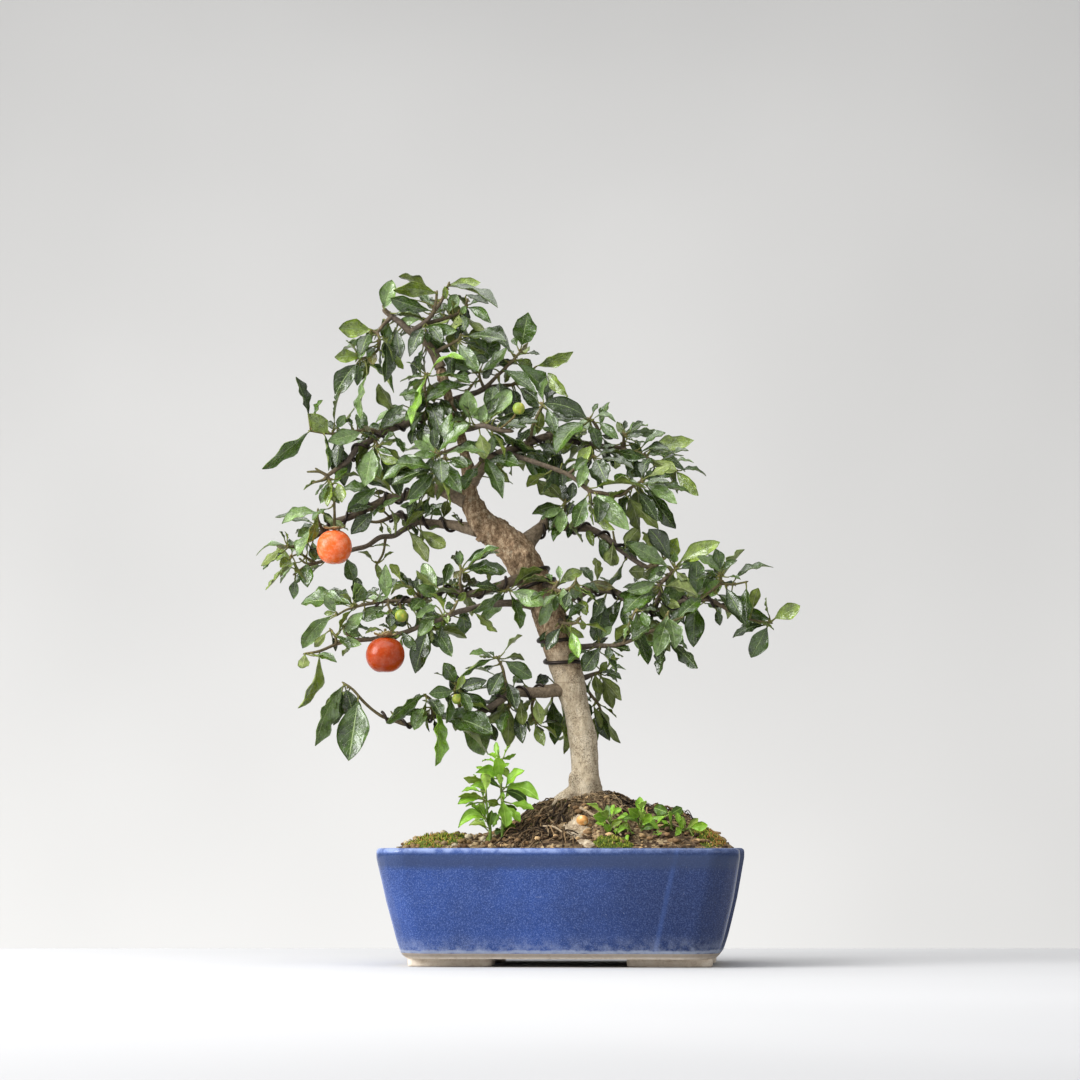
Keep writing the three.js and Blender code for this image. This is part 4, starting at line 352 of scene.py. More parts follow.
            [-132, 247, -146, 246, 3, "o", 4], [-113, 254, -124, 254, 6, "d"], [-119, 248, -108, 233, 8, "m"],
            [-124, 247, -133, 245, 4, "p"]],
    },
    "limb_left_bottom": {
        "twigs": [
            [[-1, -4, 204, 4.4], [-9, -8, 203, 4.2], [-18, -12, 202, 4], [-27, -16, 202, 3.4],
             [-35, -18, 201, 3], [-43, -18, 197, 2.8], [-52, -17, 191, 2.6], [-62, -15, 186, 2.5],
             [-75, -14, 184, 2.4], [-85, -15, 184, 2.2], [-95, -17, 184, 2], [-105, -20, 181, 1.8],
             [-114, -23, 178, 1.5], [-122, -26, 180, 1.3], [-133, -29, 184, 1.2], [-145, -32, 193, 1.1],
             [-155, -34, 204, 1], [-162, -35, 209, 0.8]],
            [[-37, -18, 200.5, 1.5], [-41, -24, 211, 1.2], [-43, -26, 220, 1.1], [-47, -27, 228, 0.8]],
            [[-73, -14, 184.2, 1.4], [-76, -20, 194, 1.2], [-79, -23, 203, 1], [-77, -24, 208, 0.8]],
            [[-95, -17, 184, 1.3], [-96, -21, 191, 1.1], [-96, -23, 196, 1], [-101, -24, 200, 0.8]],
            [[-18, -12, 202, 1.6], [-21, -8, 192, 1.2], [-20, -4, 184, 1], [-18, -2, 180, 0.8]],
            [[-35, -18, 201, 1.4], [-36, -13, 196, 1.2], [-38, -10, 192, 0.9]],
            [[-118, -24.5, 179, 1], [-123, -24, 183, 0.8], [-126, -24, 187, 0.7]],
            [[-151, -33, 199.6, 0.9], [-151, -36, 198, 0.8]]],
        "leaves": [
            [-100, 201, -130, 179, 7, "m", 4], [-103, 191, -109, 174, 12, "p"],
            [-102, 189, -122, 188, 6, "m"], [-97, 190, -103, 180, 6, "b"], [-92, 192, -93, 147, 10, "l"],
            [-82, 200, -85, 179, 5, "m", -2], [-79, 203, -98, 201, 10, "m"], [-78, 209, -87, 224, 11, "m"],
            [-78, 203, -72, 216, 5, "y"], [-75, 205, -55, 211, 10, "d"], [-74, 203, -53, 188, 10, "m"],
            [-70, 190, -57, 155, 19, "p"], [-49, 227, -74, 214, 4, "m", 4], [-49, 222, -58, 219, 4, "d"],
            [-43, 218, -53, 200, 12, "d"], [-41, 212, -44, 197, 11, "p"], [-42, 226, -21, 213, 12, "m"],
            [-29, 205, -39, 192, 9, "p"], [-27, 209, -35, 214, 6, "d"], [-41, 196, -54, 178, 8, "o"],
            [-38, 191, -39, 161, 12, "o"], [-32, 190, -28, 164, 10, "d"], [-18, 190, -22, 177, 7, "y"],
            [-19, 178, -12, 162, 8, "y"], [-18, 197, -14, 178, 9, "o"], [-162, 208, -183, 162, 13, "p", 8],
            [-157, 204, -176, 185, 14, "o"], [-151, 197, -158, 151, 24, "m"]],
    },
    "limb_right_top": {
        "twigs": [
            [[-67, 2, 362, 5], [-61, -2, 369, 4.4], [-55, -4, 376, 3.9], [-44, -5, 382, 3.4],
             [-30, -4, 387, 3], [-9, 0, 395, 2.8], [2, 3, 393, 2.6], [11, 5, 391, 2.4], [28, 6, 387.5, 2.2],
             [37, 6, 387, 2], [47, 5, 386, 1.6]],
            [[-57, -4, 374, 1.8], [-60, -12, 378, 1.3], [-57, -16, 381, 0.9]],
            [[-25, -3, 389, 1.4], [-22, -8, 395, 1.2], [-20, -10, 404, 1.1], [-13, -10, 419, 0.8]],
            [[-25, -3, 389, 1.4], [-23, -10, 387, 1]],
            [[28, 6, 387.5, 1.8], [29, 4, 398, 1.6], [26, 2, 405, 1.3], [22, 0, 408, 0.9]],
            [[47, 5, 386, 1.6], [53, 2, 383, 1.4], [60, 0, 382, 1.2], [67, -2, 378, 1.1], [77, -4, 373, 1],
             [87, -5, 369, 0.8]],
            [[47, 5, 386, 1.4], [48, 2, 391, 1.2], [48, 0, 396, 0.9]]],
        "leaves": [
            [-57, 380, -43, 348, 12, "m"], [-55, 378, -38, 360, 8, "o"], [-54, 389, -40, 389, 5, "m"],
            [-24, 386, -18, 364, 10, "m"], [-21, 387, -6, 360, 12, "m"], [-24, 387, -37, 377, 9, "d"],
            [-17, 389, 2, 382, 8, "d"], [10, 390, -6, 380, 7, "y"], [7, 424, -9, 443, 8, "y"],
            [22, 407, -12, 420, 14, "d", 4], [24, 407, 42, 406, 4, "m", 4], [48, 396, 43, 406, 6, "y"],
            [29, 406, 44, 393, 8, "m"], [31, 396, 40, 393, 4, "d"], [50, 397, 76, 396, 4, "p", 3],
            [51, 395, 63, 396, 4, "d"], [51, 391, 62, 382, 6, "m"], [65, 384, 101, 392, 13, "y"],
            [40, 384, 65, 379, 8, "m"], [68, 377, 88, 369, 10, "o"], [87, 369, 104, 350, 9, "y"],
            [90, 369, 110, 365, 4, "m", 2], [86, 367, 71, 361, 4, "m"], [69, 376, 50, 365, 11, "m"],
            [46, 382, 60, 371, 8, "d"], [31, 384, 38, 376, 7, "d"], [42, 382, 42, 370, 8, "o"],
            [-10, 417, -3, 398, 9, "m"], [20, 404, -6, 395, 12, "m"], [-14, 418, -32, 407, 8, "d"]],
    },
    "spray_right_front": {
        "twigs": [
            [[-40, -5, 383, 1.9], [-33, -15, 380, 1.9], [-18, -22, 375, 1.8], [6, -28, 366, 1.7],
             [22, -28, 354, 1.6], [32, -28, 352, 1.4], [45, -28, 350, 1.3], [52, -28, 355, 1.2],
             [61, -28, 361, 1]],
            [[22, -28, 354, 1.4], [23, -26, 347, 1.2], [23, -24, 340, 0.9]],
            [[6, -28, 366, 1.4], [14, -24, 372, 1.2], [22, -22, 377, 1], [25, -22, 380, 0.8]]],
        "leaves": [
            [24, 388, 13, 375, 9, "y"], [2, 376, 2, 357, 8, "d"], [11, 375, 4, 360, 9, "p"],
            [20, 376, 14, 356, 9, "p"], [50, 366, 41, 361, 8, "l"], [27, 378, 35, 360, 14, "d"],
            [64, 360, 88, 344, 10, "p"], [66, 357, 87, 325, 12, "d"], [62, 354, 77, 330, 9, "m"],
            [52, 348, 74, 325, 9, "o"], [72, 356, 98, 352, 4, "m", 1], [64, 363, 80, 360, 6, "m"],
            [26, 352, 52, 324, 15, "p"], [23, 341, 41, 324, 6, "y"], [20, 350, 11, 326, 12, "m"]],
    },
    "limb_right_middle": {
        "twigs": [
            [[-26, 4, 313, 6], [-22, 7, 318, 5.4], [-16, 10, 324, 4.6], [-9, 13, 329, 3.6],
             [-1, 15, 328, 3.2], [5, 16, 326, 3], [12, 16, 325.5, 2.9], [22, 15, 325, 2.8],
             [32, 13, 320, 2.6], [40, 11, 313.5, 2.5], [50, 8, 306, 2.3], [58, 6, 300, 2], [66, 4, 296, 1.6],
             [72, 2, 297, 1.2]],
            [[-13, 11, 326.5, 3.4], [-11, 8, 331, 3.6]],
            [[5, 16, 326, 1.4], [3, 6, 332, 1.2], [4, 0, 341, 1.1], [4, -2, 345, 0.8]],
            [[42, 10, 312, 1.2], [41, 12, 316, 1], [40, 13, 322, 0.8]],
            [[66, 4, 296, 1.3], [72, 4, 300, 1.1], [78, 3, 302, 0.8]]],
        "leaves": [
            [3, 342, -21, 336, 7, "m", 3], [5, 344, 4, 356, 12, "d"], [2, 341, -12, 334, 7, "p"],
            [2, 341, 0, 322, 10, "p"], [8, 328, 6, 318, 5, "d"], [8, 346, 10, 360, 8, "d"],
            [48, 311, 60, 326, 12, "o"], [40, 314, 38, 297, 12, "o"], [20, 326, 25, 312, 6, "y"],
            [64, 293, 52, 293, 12, "o"], [79, 302, 88, 318, 14, "y"], [76, 301, 60, 314, 8, "m"]],
    },
    "spray_front": {
        "twigs": [
            [[-12, -10, 283, 2], [-9, -22, 282, 1.7], [-5, -32, 280, 1.4], [-2, -35, 284, 1]],
            [[-5, -32, 280, 1.3], [2, -36, 278, 1.1], [10, -38, 282, 0.9], [12, -38, 287, 0.8]]],
        "leaves": [
            [-6, 277, -15, 252, 9, "p"], [-3, 277, -4, 263, 5, "m"], [0, 286, -1, 297, 5, "p"],
            [-1, 283, 17, 293, 9, "y", 2], [12, 288, 11, 272, 9, "p"], [2, 281, 4, 264, 8, "p"],
            [8, 274, 4, 264, 8, "m"]],
    },
    "spray_front_low": {
        "twigs": [[[0, -10, 256, 1.8], [1, -18, 254.5, 1.5], [3, -25, 254, 1.2], [12, -28, 254, 1],
                   [15, -28, 258, 0.8]]],
        "leaves": [
            [-3, 252, -14, 236, 10, "m"], [4, 252, 18, 243, 6, "y"], [8, 248, 14, 228, 9, "l"],
            [16, 257, 18, 249, 5, "y"], [-2, 260, -20, 263, 5, "b"], [0, 260, 5, 257, 3, "m"]],
    },
    "limb_right_low": {
        "twigs": [
            [[0, 2, 268, 3.2], [10, 6, 274, 3], [20, 8, 278.5, 2.8], [31, 8, 279, 2.7], [42, 6, 277, 2.6],
             [51, 3, 271, 2.5], [60, 0, 266, 2.4], [70, -3, 263, 2.3], [82, -7, 266, 2], [94, -11, 271, 1.9],
             [104, -13, 271, 1.8], [112, -14, 271.5, 1.7], [121, -14, 267, 1.5], [133, -13, 260, 1.3],
             [145, -12, 256, 1.1], [158, -11, 254, 0.8]],
            [[70, -3, 263, 2], [73, -6, 270, 1.9], [76, -9, 278, 1.8], [75, -11, 283, 1.8],
             [80, -13, 288, 1.6], [87, -15, 295, 1.2]],
            [[104, -13, 271, 1.4], [112, -18, 277, 1.1], [121, -20, 283, 1], [130, -21, 283, 0.9],
             [140, -22, 285, 0.7]],
            [[121, -20, 283, 0.9], [121, -22, 290, 0.8]]],
        "leaves": [
            [22, 282, 14, 273, 7, "o"], [42, 280, 22, 284, 8, "b"], [15, 272, 20, 260, 8, "y"],
            [47, 272, 25, 244, 14, "m"], [49, 270, 50, 250, 9, "m"], [60, 275, 44, 275, 7, "m"],
            [82, 296, 52, 313, 12, "p"], [86, 299, 86, 307, 6, "p"], [89, 300, 120, 315, 13, "y"],
            [82, 298, 66, 286, 9, "m"], [79, 291, 72, 291, 4, "d"], [73, 286, 50, 278, 10, "p", -2],
            [75, 277, 57, 267, 7, "m"], [75, 273, 90, 266, 7, "o"], [76, 269, 80, 258, 7, "o"],
            [84, 291, 90, 266, 12, "p"], [87, 293, 96, 283, 8, "o"], [103, 275, 102, 302, 13, "m"],
            [120, 289, 108, 290, 5, "d"], [105, 271, 122, 286, 10, "l"], [121, 292, 103, 304, 6, "p"],
            [121, 291, 119, 305, 8, "y"], [123, 293, 133, 301, 5, "m", 3], [130, 286, 160, 296, 6, "m", 3],
            [124, 281, 136, 259, 11, "d"], [135, 260, 142, 253, 7, "m"], [158, 257, 139, 260, 11, "m"],
            [160, 257, 180, 267, 12, "y"], [156, 252, 143, 228, 14, "m"], [101, 270, 100, 236, 15, "m"],
            [90, 265, 93, 253, 4, "d"]],
    },
    "limb_right_under": {
        "twigs": [
            [[5, -2, 234, 2.8], [17, -6, 236, 2.2], [28, -12, 237, 1.9], [38, -18, 237, 1.7],
             [48, -23, 239, 1.5], [58, -28, 243, 1.4], [66, -31, 247, 1.3], [75, -33, 250, 1.1],
             [84, -34, 255, 1], [91, -35, 258, 0.8]],
            [[48, -23, 239, 1.1], [50, -30, 248, 1], [54, -33, 258, 0.9], [57, -34, 264, 0.8]],
            [[75, -33, 250, 1], [78, -36, 256, 0.9], [81, -37, 262, 0.8]],
            [[75, -33, 250, 1], [79, -32, 242, 0.8]]],
        "leaves": [
            [81, 261, 72, 229, 13, "p"], [57, 263, 63, 232, 9, "p"], [51, 260, 66, 223, 11, "m"],
            [61, 263, 66, 251, 8, "m"], [80, 241, 103, 220, 8, "d", 2], [80, 240, 74, 215, 5, "d"],
            [25, 239, 36, 243, 4, "d"], [30, 236, 17, 218, 13, "d"], [36, 237, 37, 227, 6, "d"],
            [40, 239, 53, 245, 4, "d"]],
    },
    "spray_right_bottom": {
        "twigs": [
            [[8, 6, 210, 2.4], [18, 12, 213, 2], [26, 16, 216, 1.4], [33, 18, 218, 0.9]],
            [[16, 11, 212, 1.6], [21, 17, 203, 1.3], [28, 20, 194, 1.1], [30, 21, 190, 0.8]],
            [[12, 8, 211, 1.6], [2, 22, 205, 1.4], [-5, 28, 200, 1.1], [-6, 28, 196, 0.8]]],
        "leaves": [
            [26, 216, 29, 201, 8, "o"], [29, 215, 46, 196, 8, "o"], [30, 217, 35, 225, 6, "y"],
            [34, 220, 46, 212, 4, "m"], [29, 193, 45, 164, 8, "o"], [27, 190, 37, 166, 9, "d"],
            [25, 192, 31, 175, 6, "o"], [-6, 197, -4, 163, 12, "m"], [1, 197, 3, 156, 7, "y"],
            [-8, 214, -18, 209, 9, "d"]],
    },
}
# Limbs wound with training wire: the hand of each coil. They bear no leaf before the coil starts
WIRE_HANDS = {"limb_left_top": 1, "limb_left_upper": -1, "limb_left_middle": 1, "limb_left_low": -1,
              "limb_left_bottom": 1, "limb_right_top": 1, "limb_right_middle": -1, "limb_right_low": 1}
LIMB_WIRE = {"pitch": 16, "radius": 1.1, "start": 14, "reach": 0.8}
for wired, coil_hand in WIRE_HANDS.items():
    SPRAYS[wired].update(wire={**LIMB_WIRE, "hand": coil_hand}, bare=LIMB_WIRE["start"])
# Limbs at the back: the limb in front that each repeats, and how much deeper it stands
BACK_LIMBS = {
    "limb_back_low": ["limb_right_low", 66],
    "limb_back_middle": ["limb_right_top", 58],
    "limb_back_left": ["limb_left_low", 88],
}
# Fruit: its middle, radius and, if ripe, height for each unit of width; then its stalk's places
FRUITS = {
    "fruit_left": {"place": [-169.5, -22, 311, 13.4, 0.98], "stalk": [[-169.5, -22, 338]]},
    "fruit_low": {"place": [-131, -46, 230, 14.6, 0.92], "stalk": [[-131, -43, 249], [-131, -28, 245]]},
}
UNRIPE = {
    "fruit_green_upper": {"place": [-31, -41, 416, 4.6], "stalk": [[-36, -38, 408], [-46, -27, 400]]},
    "fruit_green_left": {"place": [-134.5, 10, 340, 3.2], "stalk": [[-128, 24, 334]]},
    "fruit_green_low": {"place": [-119, -40, 259.5, 4.8], "stalk": [[-120, -25, 270.5]]},
    "fruit_yellow_bottom": {"place": [-77, -29, 197, 4], "stalk": [[-76.5, -21, 196]]},
}
SEEDLINGS = {
    "seedling_tall": {
        "twigs": [[[-44, -46, 80, 1.2], [-43, -46, 100, 1.1], [-43, -46, 115, 1], [-44, -46, 130, 0.9],
                   [-44, -46, 140, 0.8], [-45, -46, 150, 0.7], [-46.5, -46, 158, 0.6]]],
        "leaves": [
            [-46, 137, -63, 142, 8, "l", 5], [-45, 131, -56, 138, 4, "m"], [-42, 131, -16, 122, 8, "l", 4],
            [-42, 128, -25, 120, 9, "m", 3], [-42, 119, -34, 111, 9, "l"], [-45, 118, -54, 121, 6, "y"],
            [-43, 116, -30, 106, 4, "p", 2], [-44, 152, -33, 156, 3, "l"], [-44, 146, -38, 149, 3, "l"],
            [-46, 153, -48, 165, 4, "l"], [-43, 99, -49, 98, 5, "m"]],
    },
    "seedling_short": {
        "twigs": [[[-53, -50, 80, 1.1], [-52, -50, 100, 1], [-54, -51, 110, 0.9], [-55, -51, 122, 0.8],
                   [-55.5, -51, 131, 0.7]]],
        "leaves": [
            [-56, 136, -72, 138, 5, "y"], [-55, 127, -67, 132, 5, "l", 4], [-56, 121, -76, 124, 5, "y", 3],
            [-53, 100, -51, 114, 6, "m"], [-54, 105, -76, 101, 8, "l", 8], [-54, 101, -68, 103, 4, "y", 2]],
    },
    "weed_middle": {
        "twigs": [[[40, -62, 80, 1], [38, -63, 98, 0.8], [37, -64, 108, 0.7]]],
        "leaves": [
            [36, 108, 25, 110, 8, "l"], [38, 97, 33, 104, 5, "l"], [38, 100, 46, 106, 5, "y", 2],
            [37, 109, 35, 118, 5, "p"], [38, 98, 30, 97, 5, "y", 2]],
    },
    "weed_clump": {
        "twigs": [
            [[61, -62, 80, 1], [61, -63, 98, 0.8], [59, -64, 112, 0.7]],
            [[61, -63, 94, 0.8], [54, -66, 97, 0.7], [50, -67, 101, 0.6]]],
        "leaves": [
            [60, 109, 51, 115, 8, "l"], [61, 104, 68, 111, 7, "l"], [60, 101, 46, 107, 4, "m", 4],
            [53, 98, 43, 101, 4, "y", 4], [51, 100, 43, 97, 4, "l", 3], [61, 99, 70, 101, 5, "m", 2],
            [61, 98, 69, 96, 5, "l", 2]],
    },
    "weed_right": {
        "twigs": [
            [[84, -56, 80, 1], [83, -57, 100, 0.9], [82, -57, 112, 0.8]],
            [[83, -57, 97, 0.8], [92, -60, 99, 0.7], [97, -61, 101, 0.6]]],
        "leaves": [
            [81, 112, 70, 116, 9, "m"], [82, 111, 91, 116, 7, "m"], [97, 101, 110, 103, 7, "l"],
            [92, 98, 101, 94, 5, "l"], [90, 99, 92, 108, 5, "l"], [83, 98, 74, 101, 5, "m", 2],
            [91, 99, 86, 95, 5, "l", 2], [95, 101, 103, 108, 5, "y"]],
    },
}
# Moss on the soil: each patch's middle, half sizes and height
MOSS = {
    "moss_left": [[-94, -38], [22, 30], 4],
    "moss_middle": [[41, -76], [15, 7], 4],
    "moss_right": [[108, -30], [13, 34], 4],
}
# The mound's height along the pot's middle, and the pot's half length at each height
SOIL_RIDGE = [[-128, 84], [-110, 92], [-80, 95], [-60, 95], [-45, 98], [-32, 108], [-20, 117], [0, 122],
              [22, 126], [38, 124], [52, 118], [75, 114], [90, 110], [105, 99], [120, 90], [128, 85]]
POT_PROFILE = [[6, 113], [8, 115.7], [12, 117.3], [20, 119.8], [48, 126.6], [72, 131.2], [79, 132.5],
               [86, 132.5]]


# Places on the tree

def at(place):
    """The point of a place in the front plane, in millimetres from the pot's middle."""
    across, behind, height = place[:3]
    spread = 1 + behind / EYE_DISTANCE
    x = EYE_ACROSS + (across - EYE_ACROSS) * spread - PLANE_MIDDLE
    z = EYE_HEIGHT + (height - EYE_HEIGHT) * spread
    return ACROSS * x + AWAY * behind + UP * z


def interpolate(table, x):
    """The value between a table's rows of (x, value)."""
    for (x0, v0), (x1, v1) in zip(table, table[1:]):
        if x <= x1:
            return v0 + (v1 - v0) * max(0, (x - x0) / (x1 - x0))
    return table[-1][1]


def soil_height(x, y):
    """The mound's own height at a place on the pot."""
    fall = max(0, 1 - (y / (POT_DEPTH / 2 - 8)) ** 2) ** SOIL_FALL
    return SOIL_EDGE + (interpolate(SOIL_RIDGE, x) - SOIL_EDGE) * fall


def draws_from(word):
    """Even draws between 0 and 1, the same in every run."""
    seed = 7
    for letter in word:
        seed = (seed * 31 + ord(letter)) % 65521
    while True:
        seed = (seed * 1664525 + 1013904223) % 4294967296
        yield seed / 4294967296


class Rail:
    """A limb's line, with a steady side and normal and the length so far at each of its places."""

    def __init__(self, places):
        self.points = [at(place) for place in places]
        self.radii = [place[3] for place in places]
        self.lengths = [0.0]
        self.normals = []
        self.sides = []
        self.tangents = []
        last = len(places) - 1
        for i, point in enumerate(self.points):
            before = self.points[max(0, i - 1)]
            tangent = (self.points[min(last, i + 1)] - before).normalized()
            if i:
                self.lengths.append(self.lengths[-1] + (point - before).length)
            guide = self.normals[-1] if i else AWAY.cross(tangent)
            normal = (guide - tangent * guide.dot(tangent)).normalized()
            self.tangents.append(tangent)
            self.normals.append(normal)
            self.sides.append(tangent.cross(normal))

    def spot(self, s):
        """Point, normal, side and radius at a length along the rail."""
        i = 1
        while i < len(self.lengths) - 1 and self.lengths[i] < s:
            i += 1
        span = self.lengths[i] - self.lengths[i - 1]
        f = min(1, max(0, (s - self.lengths[i - 1]) / span))
        return (self.points[i - 1].lerp(self.points[i], f),
                self.normals[i - 1].lerp(self.normals[i], f).normalized(),
                self.sides[i - 1].lerp(self.sides[i], f).normalized(),
                self.radii[i - 1] + (self.radii[i] - self.radii[i - 1]) * f)


def coil_turn(s, wire):
    """How far round the wood a coil has come at a length along it."""
    return wire["hand"] * 2 * math.pi * s / wire["pitch"]


def root_on(rails, across, height, wire, bare, slip):
    """The place on the twigs that lies nearest in the front plane, past the first twig's bare length."""
    best = None
    for index, rail in enumerate(rails):
        steps = 8 * (len(rail.points) - 1)
        first = bare if index == 0 else 0
        for i in range(steps + 1):
            s = first + (rail.lengths[-1] - first) * i / steps
            point, normal, side, radius = rail.spot(s)
            flat = at((across, point.dot(AWAY), height))
            reach = (flat - point).length - radius
            if best is None or reach < best["reach"] - 1e-9:
                best = {"reach": reach, "s": s, "index": index, "rail": rail, "flat": flat,
                        "point": point, "normal": normal, "side": side}
    shift = slip
    if wire and best["index"] == 0:
        out = best["flat"] - best["point"]
        angle = math.atan2(out.dot(best["side"]), out.dot(best["normal"]))
        turn = (angle + math.pi - coil_turn(best["s"], wire)) / (2 * math.pi)
        shift += (turn - math.floor(turn + 0.5)) * wire["pitch"] * wire["hand"]
    least = bare if best["index"] == 0 else 0
    s = min(best["rail"].lengths[-1] - 0.3, max(least, best["s"] + shift))
    point, normal, side, radius = best["rail"].spot(s)
    return {"point": point, "radius": radius, "flat": best["flat"], "rail": best["rail"], "s": s}


def edges_of(leaf):
    """The four sides of a leaf's blade and its midrib's two halves."""
    middle = leaf["base"].lerp(leaf["tip"], 0.5) + leaf["bow"]
    left, right = [middle + leaf["side"] * (hand * leaf["width"] / 2) for hand in (-1, 1)]
    base, tip = leaf["base"], leaf["tip"]
    return [(base, left), (left, tip), (tip, right), (right, base), (base, middle), (middle, tip)]


def passes_through(edge, leaf):
    """Whether a stretch goes through a leaf's blade or comes close to it."""
    u, v = edge[0] - leaf["base"], edge[1] - leaf["base"]
    du, dv = u.dot(leaf["normal"]), v.dot(leaf["normal"])
    if du * dv > 0 and min(abs(du), abs(dv)) > 1:
        return False
    f = 0 if du == dv else min(1, max(0, du / (du - dv)))
    spot = u.lerp(v, f)
    t = spot.dot(leaf["along"]) / (leaf["tip"] - leaf["base"]).length
    return 0.05 < t < 1.04 and abs(spot.dot(leaf["side"])) < leaf["width"] * min(t, 1.04 - t) + 0.8


def sign(value):
    """-1, 0 or 1, as the value is below, at or above nought."""
    return (value > 0) - (value < 0)


class Grower:
    """Lays the leaves of every limb by one rule, so that they keep off each other and off the wood."""

    def __init__(self, sprays):
        self.laid = []
        self.leaf_edges = []
        self.wood_edges = []
        self.rails = {name: [Rail(twig) for twig in spray["twigs"]] for name, spray in sprays.items()}
        for rails in self.rails.values():
            for rail in rails:
                self.wood_edges += zip(rail.points, rail.points[1:])
        self.leaves = {}
        for name, spray in sprays.items():
            draw = draws_from(name)
            self.leaves[name] = [self.lay(name, spray, entry, draw) for entry in spray["leaves"]]

    def crossings(self, leaf):
        """How often a leaf meets other leaves or wood; wood counts twice."""
        far = (leaf["base"] - leaf["tip"]).length + 30
        edges = edges_of(leaf)

        def through(others):
            return sum(1 for edge in others
                       if (edge[0] - leaf["base"]).length < far and passes_through(edge, leaf))

        by_leaves = sum(1 for other in self.laid if (other["base"] - leaf["base"]).length < far
                        and any(passes_through(edge, other) for edge in edges))
        return through(self.leaf_edges) + 2 * through(self.wood_edges) + by_leaves

    def lay(self, name, spray, entry, draw):
        """One leaf of a limb's table, at the lean and turn that meet the least."""
        bx, bz, tx, tz, seen_width, look = entry[:6]
        arch = entry[6] if len(entry) > 6 else 0
        wire = spray.get("wire")
        towards = -1 if next(draw) < 0.65 else 1
        roll_hand = -1 if next(draw) < 0.5 else 1
        root = root_on(self.rails[name], bx, bz, wire, spray.get("bare", 0), (next(draw) - 0.5) * ROOT_SLIP)
        clear = root["radius"] + (2 * wire["radius"] + WIRE_CLEAR if wire else 0) + 1
        off = (root["flat"] - root["point"]).length
        lift = math.sqrt(clear * clear - off * off) if off < clear else 0
        seen = math.hypot(tx - bx, tz - bz)
        length = max(1.06 * seen, 1.9 * seen_width)
        width = max(seen_width, 0.36 * length)
        reach = math.sqrt(length * length - seen * seen)
        best = None
        for lean, turn in LEANS:
            depth = root["point"].dot(AWAY) + sign(lean) * towards * lift
            base = at((bx, depth, bz))
            tip = at((tx, depth + lean * towards * reach, tz))
            along = (tip - base).normalized()
            facing = (-AWAY + along * AWAY.dot(along)).normalized()
            roll = turn * roll_hand * math.acos(min(1, seen_width / width))
            side = along.cross(facing) * math.cos(roll) + facing * math.sin(roll)
            leaf = {"root": root["point"], "base": base, "tip": tip, "along": along, "side": side,
                    "normal": side.cross(along).normalized(), "width": width, "look": look,
                    "rail": root["rail"], "s": root["s"], "step": wire["pitch"] if wire else 0,
                    "bow": (UP - along * UP.dot(along)) * arch}
            leaf["meets"] = self.crossings(leaf)
            if best is None or leaf["meets"] < best["meets"]:
                best = leaf
        self.leaf_edges += edges_of(best)
        self.laid.append(best)
        return best


def fill(grower, name, draw):
    """Further leaves between a limb's own, wherever other foliage stands close by."""
    middles = [leaf["base"].lerp(leaf["tip"], 0.5) for leaf in grower.laid]
    looks = "ll" if name in SEEDLINGS else FILL_LOOKS
    added = []
    for leaf in grower.leaves[name]:
        span = (leaf["tip"] - leaf["base"]).length
        for _ in range(FILL_ROUNDS):
            best = None
            for _ in range(FILL_TRIES):
                shift = leaf["step"] if leaf["step"] else 2 + 5 * next(draw)
                s = leaf["s"] + shift * (1 if next(draw) < 0.4 else -1)
                s = min(leaf["rail"].lengths[-1] - 0.5, max(0.4 * leaf["s"], s))
                root, _, _, radius = leaf["rail"].spot(s)
                turn = Matrix.Rotation((0.35 + 1.1 * next(draw)) * (1 if next(draw) < 0.5 else -1), 3, AWAY)
                lean = AWAY * ((next(draw) - 0.35) * 1.5)
                along = (turn @ leaf["along"] + lean).normalized()
                length = span * (0.7 + 0.4 * next(draw))
                base = root + along * (radius + 2.5 + 3 * next(draw))
                tip = base + along * length
                facing = -AWAY * (next(draw) - 0.25) + UP * 0.7 + ACROSS * (next(draw) - 0.5)
                facing = (facing - along * facing.dot(along)).normalized()
                look = looks[int(next(draw) * len(looks))]
                new = {"root": root, "base": base, "tip": tip, "along": along,
                       "side": along.cross(facing), "normal": facing, "look": look,
                       "width": length * (0.42 + 0.12 * next(draw)), "bow": UP * (next(draw) * 0.1 * length)}
                close = sum(1 for middle in middles if (middle - tip).length < FILL_REACH)
                if close < 3:
                    continue
                new["meets"] = grower.crossings(new)
                if best is None or new["meets"] < best["meets"]:
                    best = new
            if best and best["meets"] < 3:
                grower.leaf_edges += edges_of(best)
                grower.laid.append(best)
                added.append(best)
    return added


def behind(spray, deeper):
    """The twigs of a limb set deeper, and its broader leaves drawn in towards their middles."""
    main = spray["twigs"][0]

    def joint(place):
        near = [i for i, other in enumerate(main)
                if math.hypot(other[0] - place[0], other[1] - place[1]) < 8]
        return max(near[0] if near else -1, 3)

    twigs = []
    for index, twig in enumerate(spray["twigs"]):
        first = joint(twig[0]) if index else 0
        twigs.append([[x, y + deeper * min(1, (first + i) / 3), z, r] for i, (x, y, z, r) in enumerate(twig)])
    part = (1 + BACK_LEAF_SCALE) / 2
    leaves = []
    for bx, bz, tx, tz, width, look in (leaf[:6] for leaf in spray["leaves"] if leaf[4] >= BACK_LEAF_WIDTH):
        leaves.append([tx + (bx - tx) * part, tz + (bz - tz) * part, bx + (tx - bx) * part,
                       bz + (tz - bz) * part, width * BACK_LEAF_SCALE, look])
    return {"twigs": twigs, "leaves": leaves, "bare": spray.get("bare", 0)}


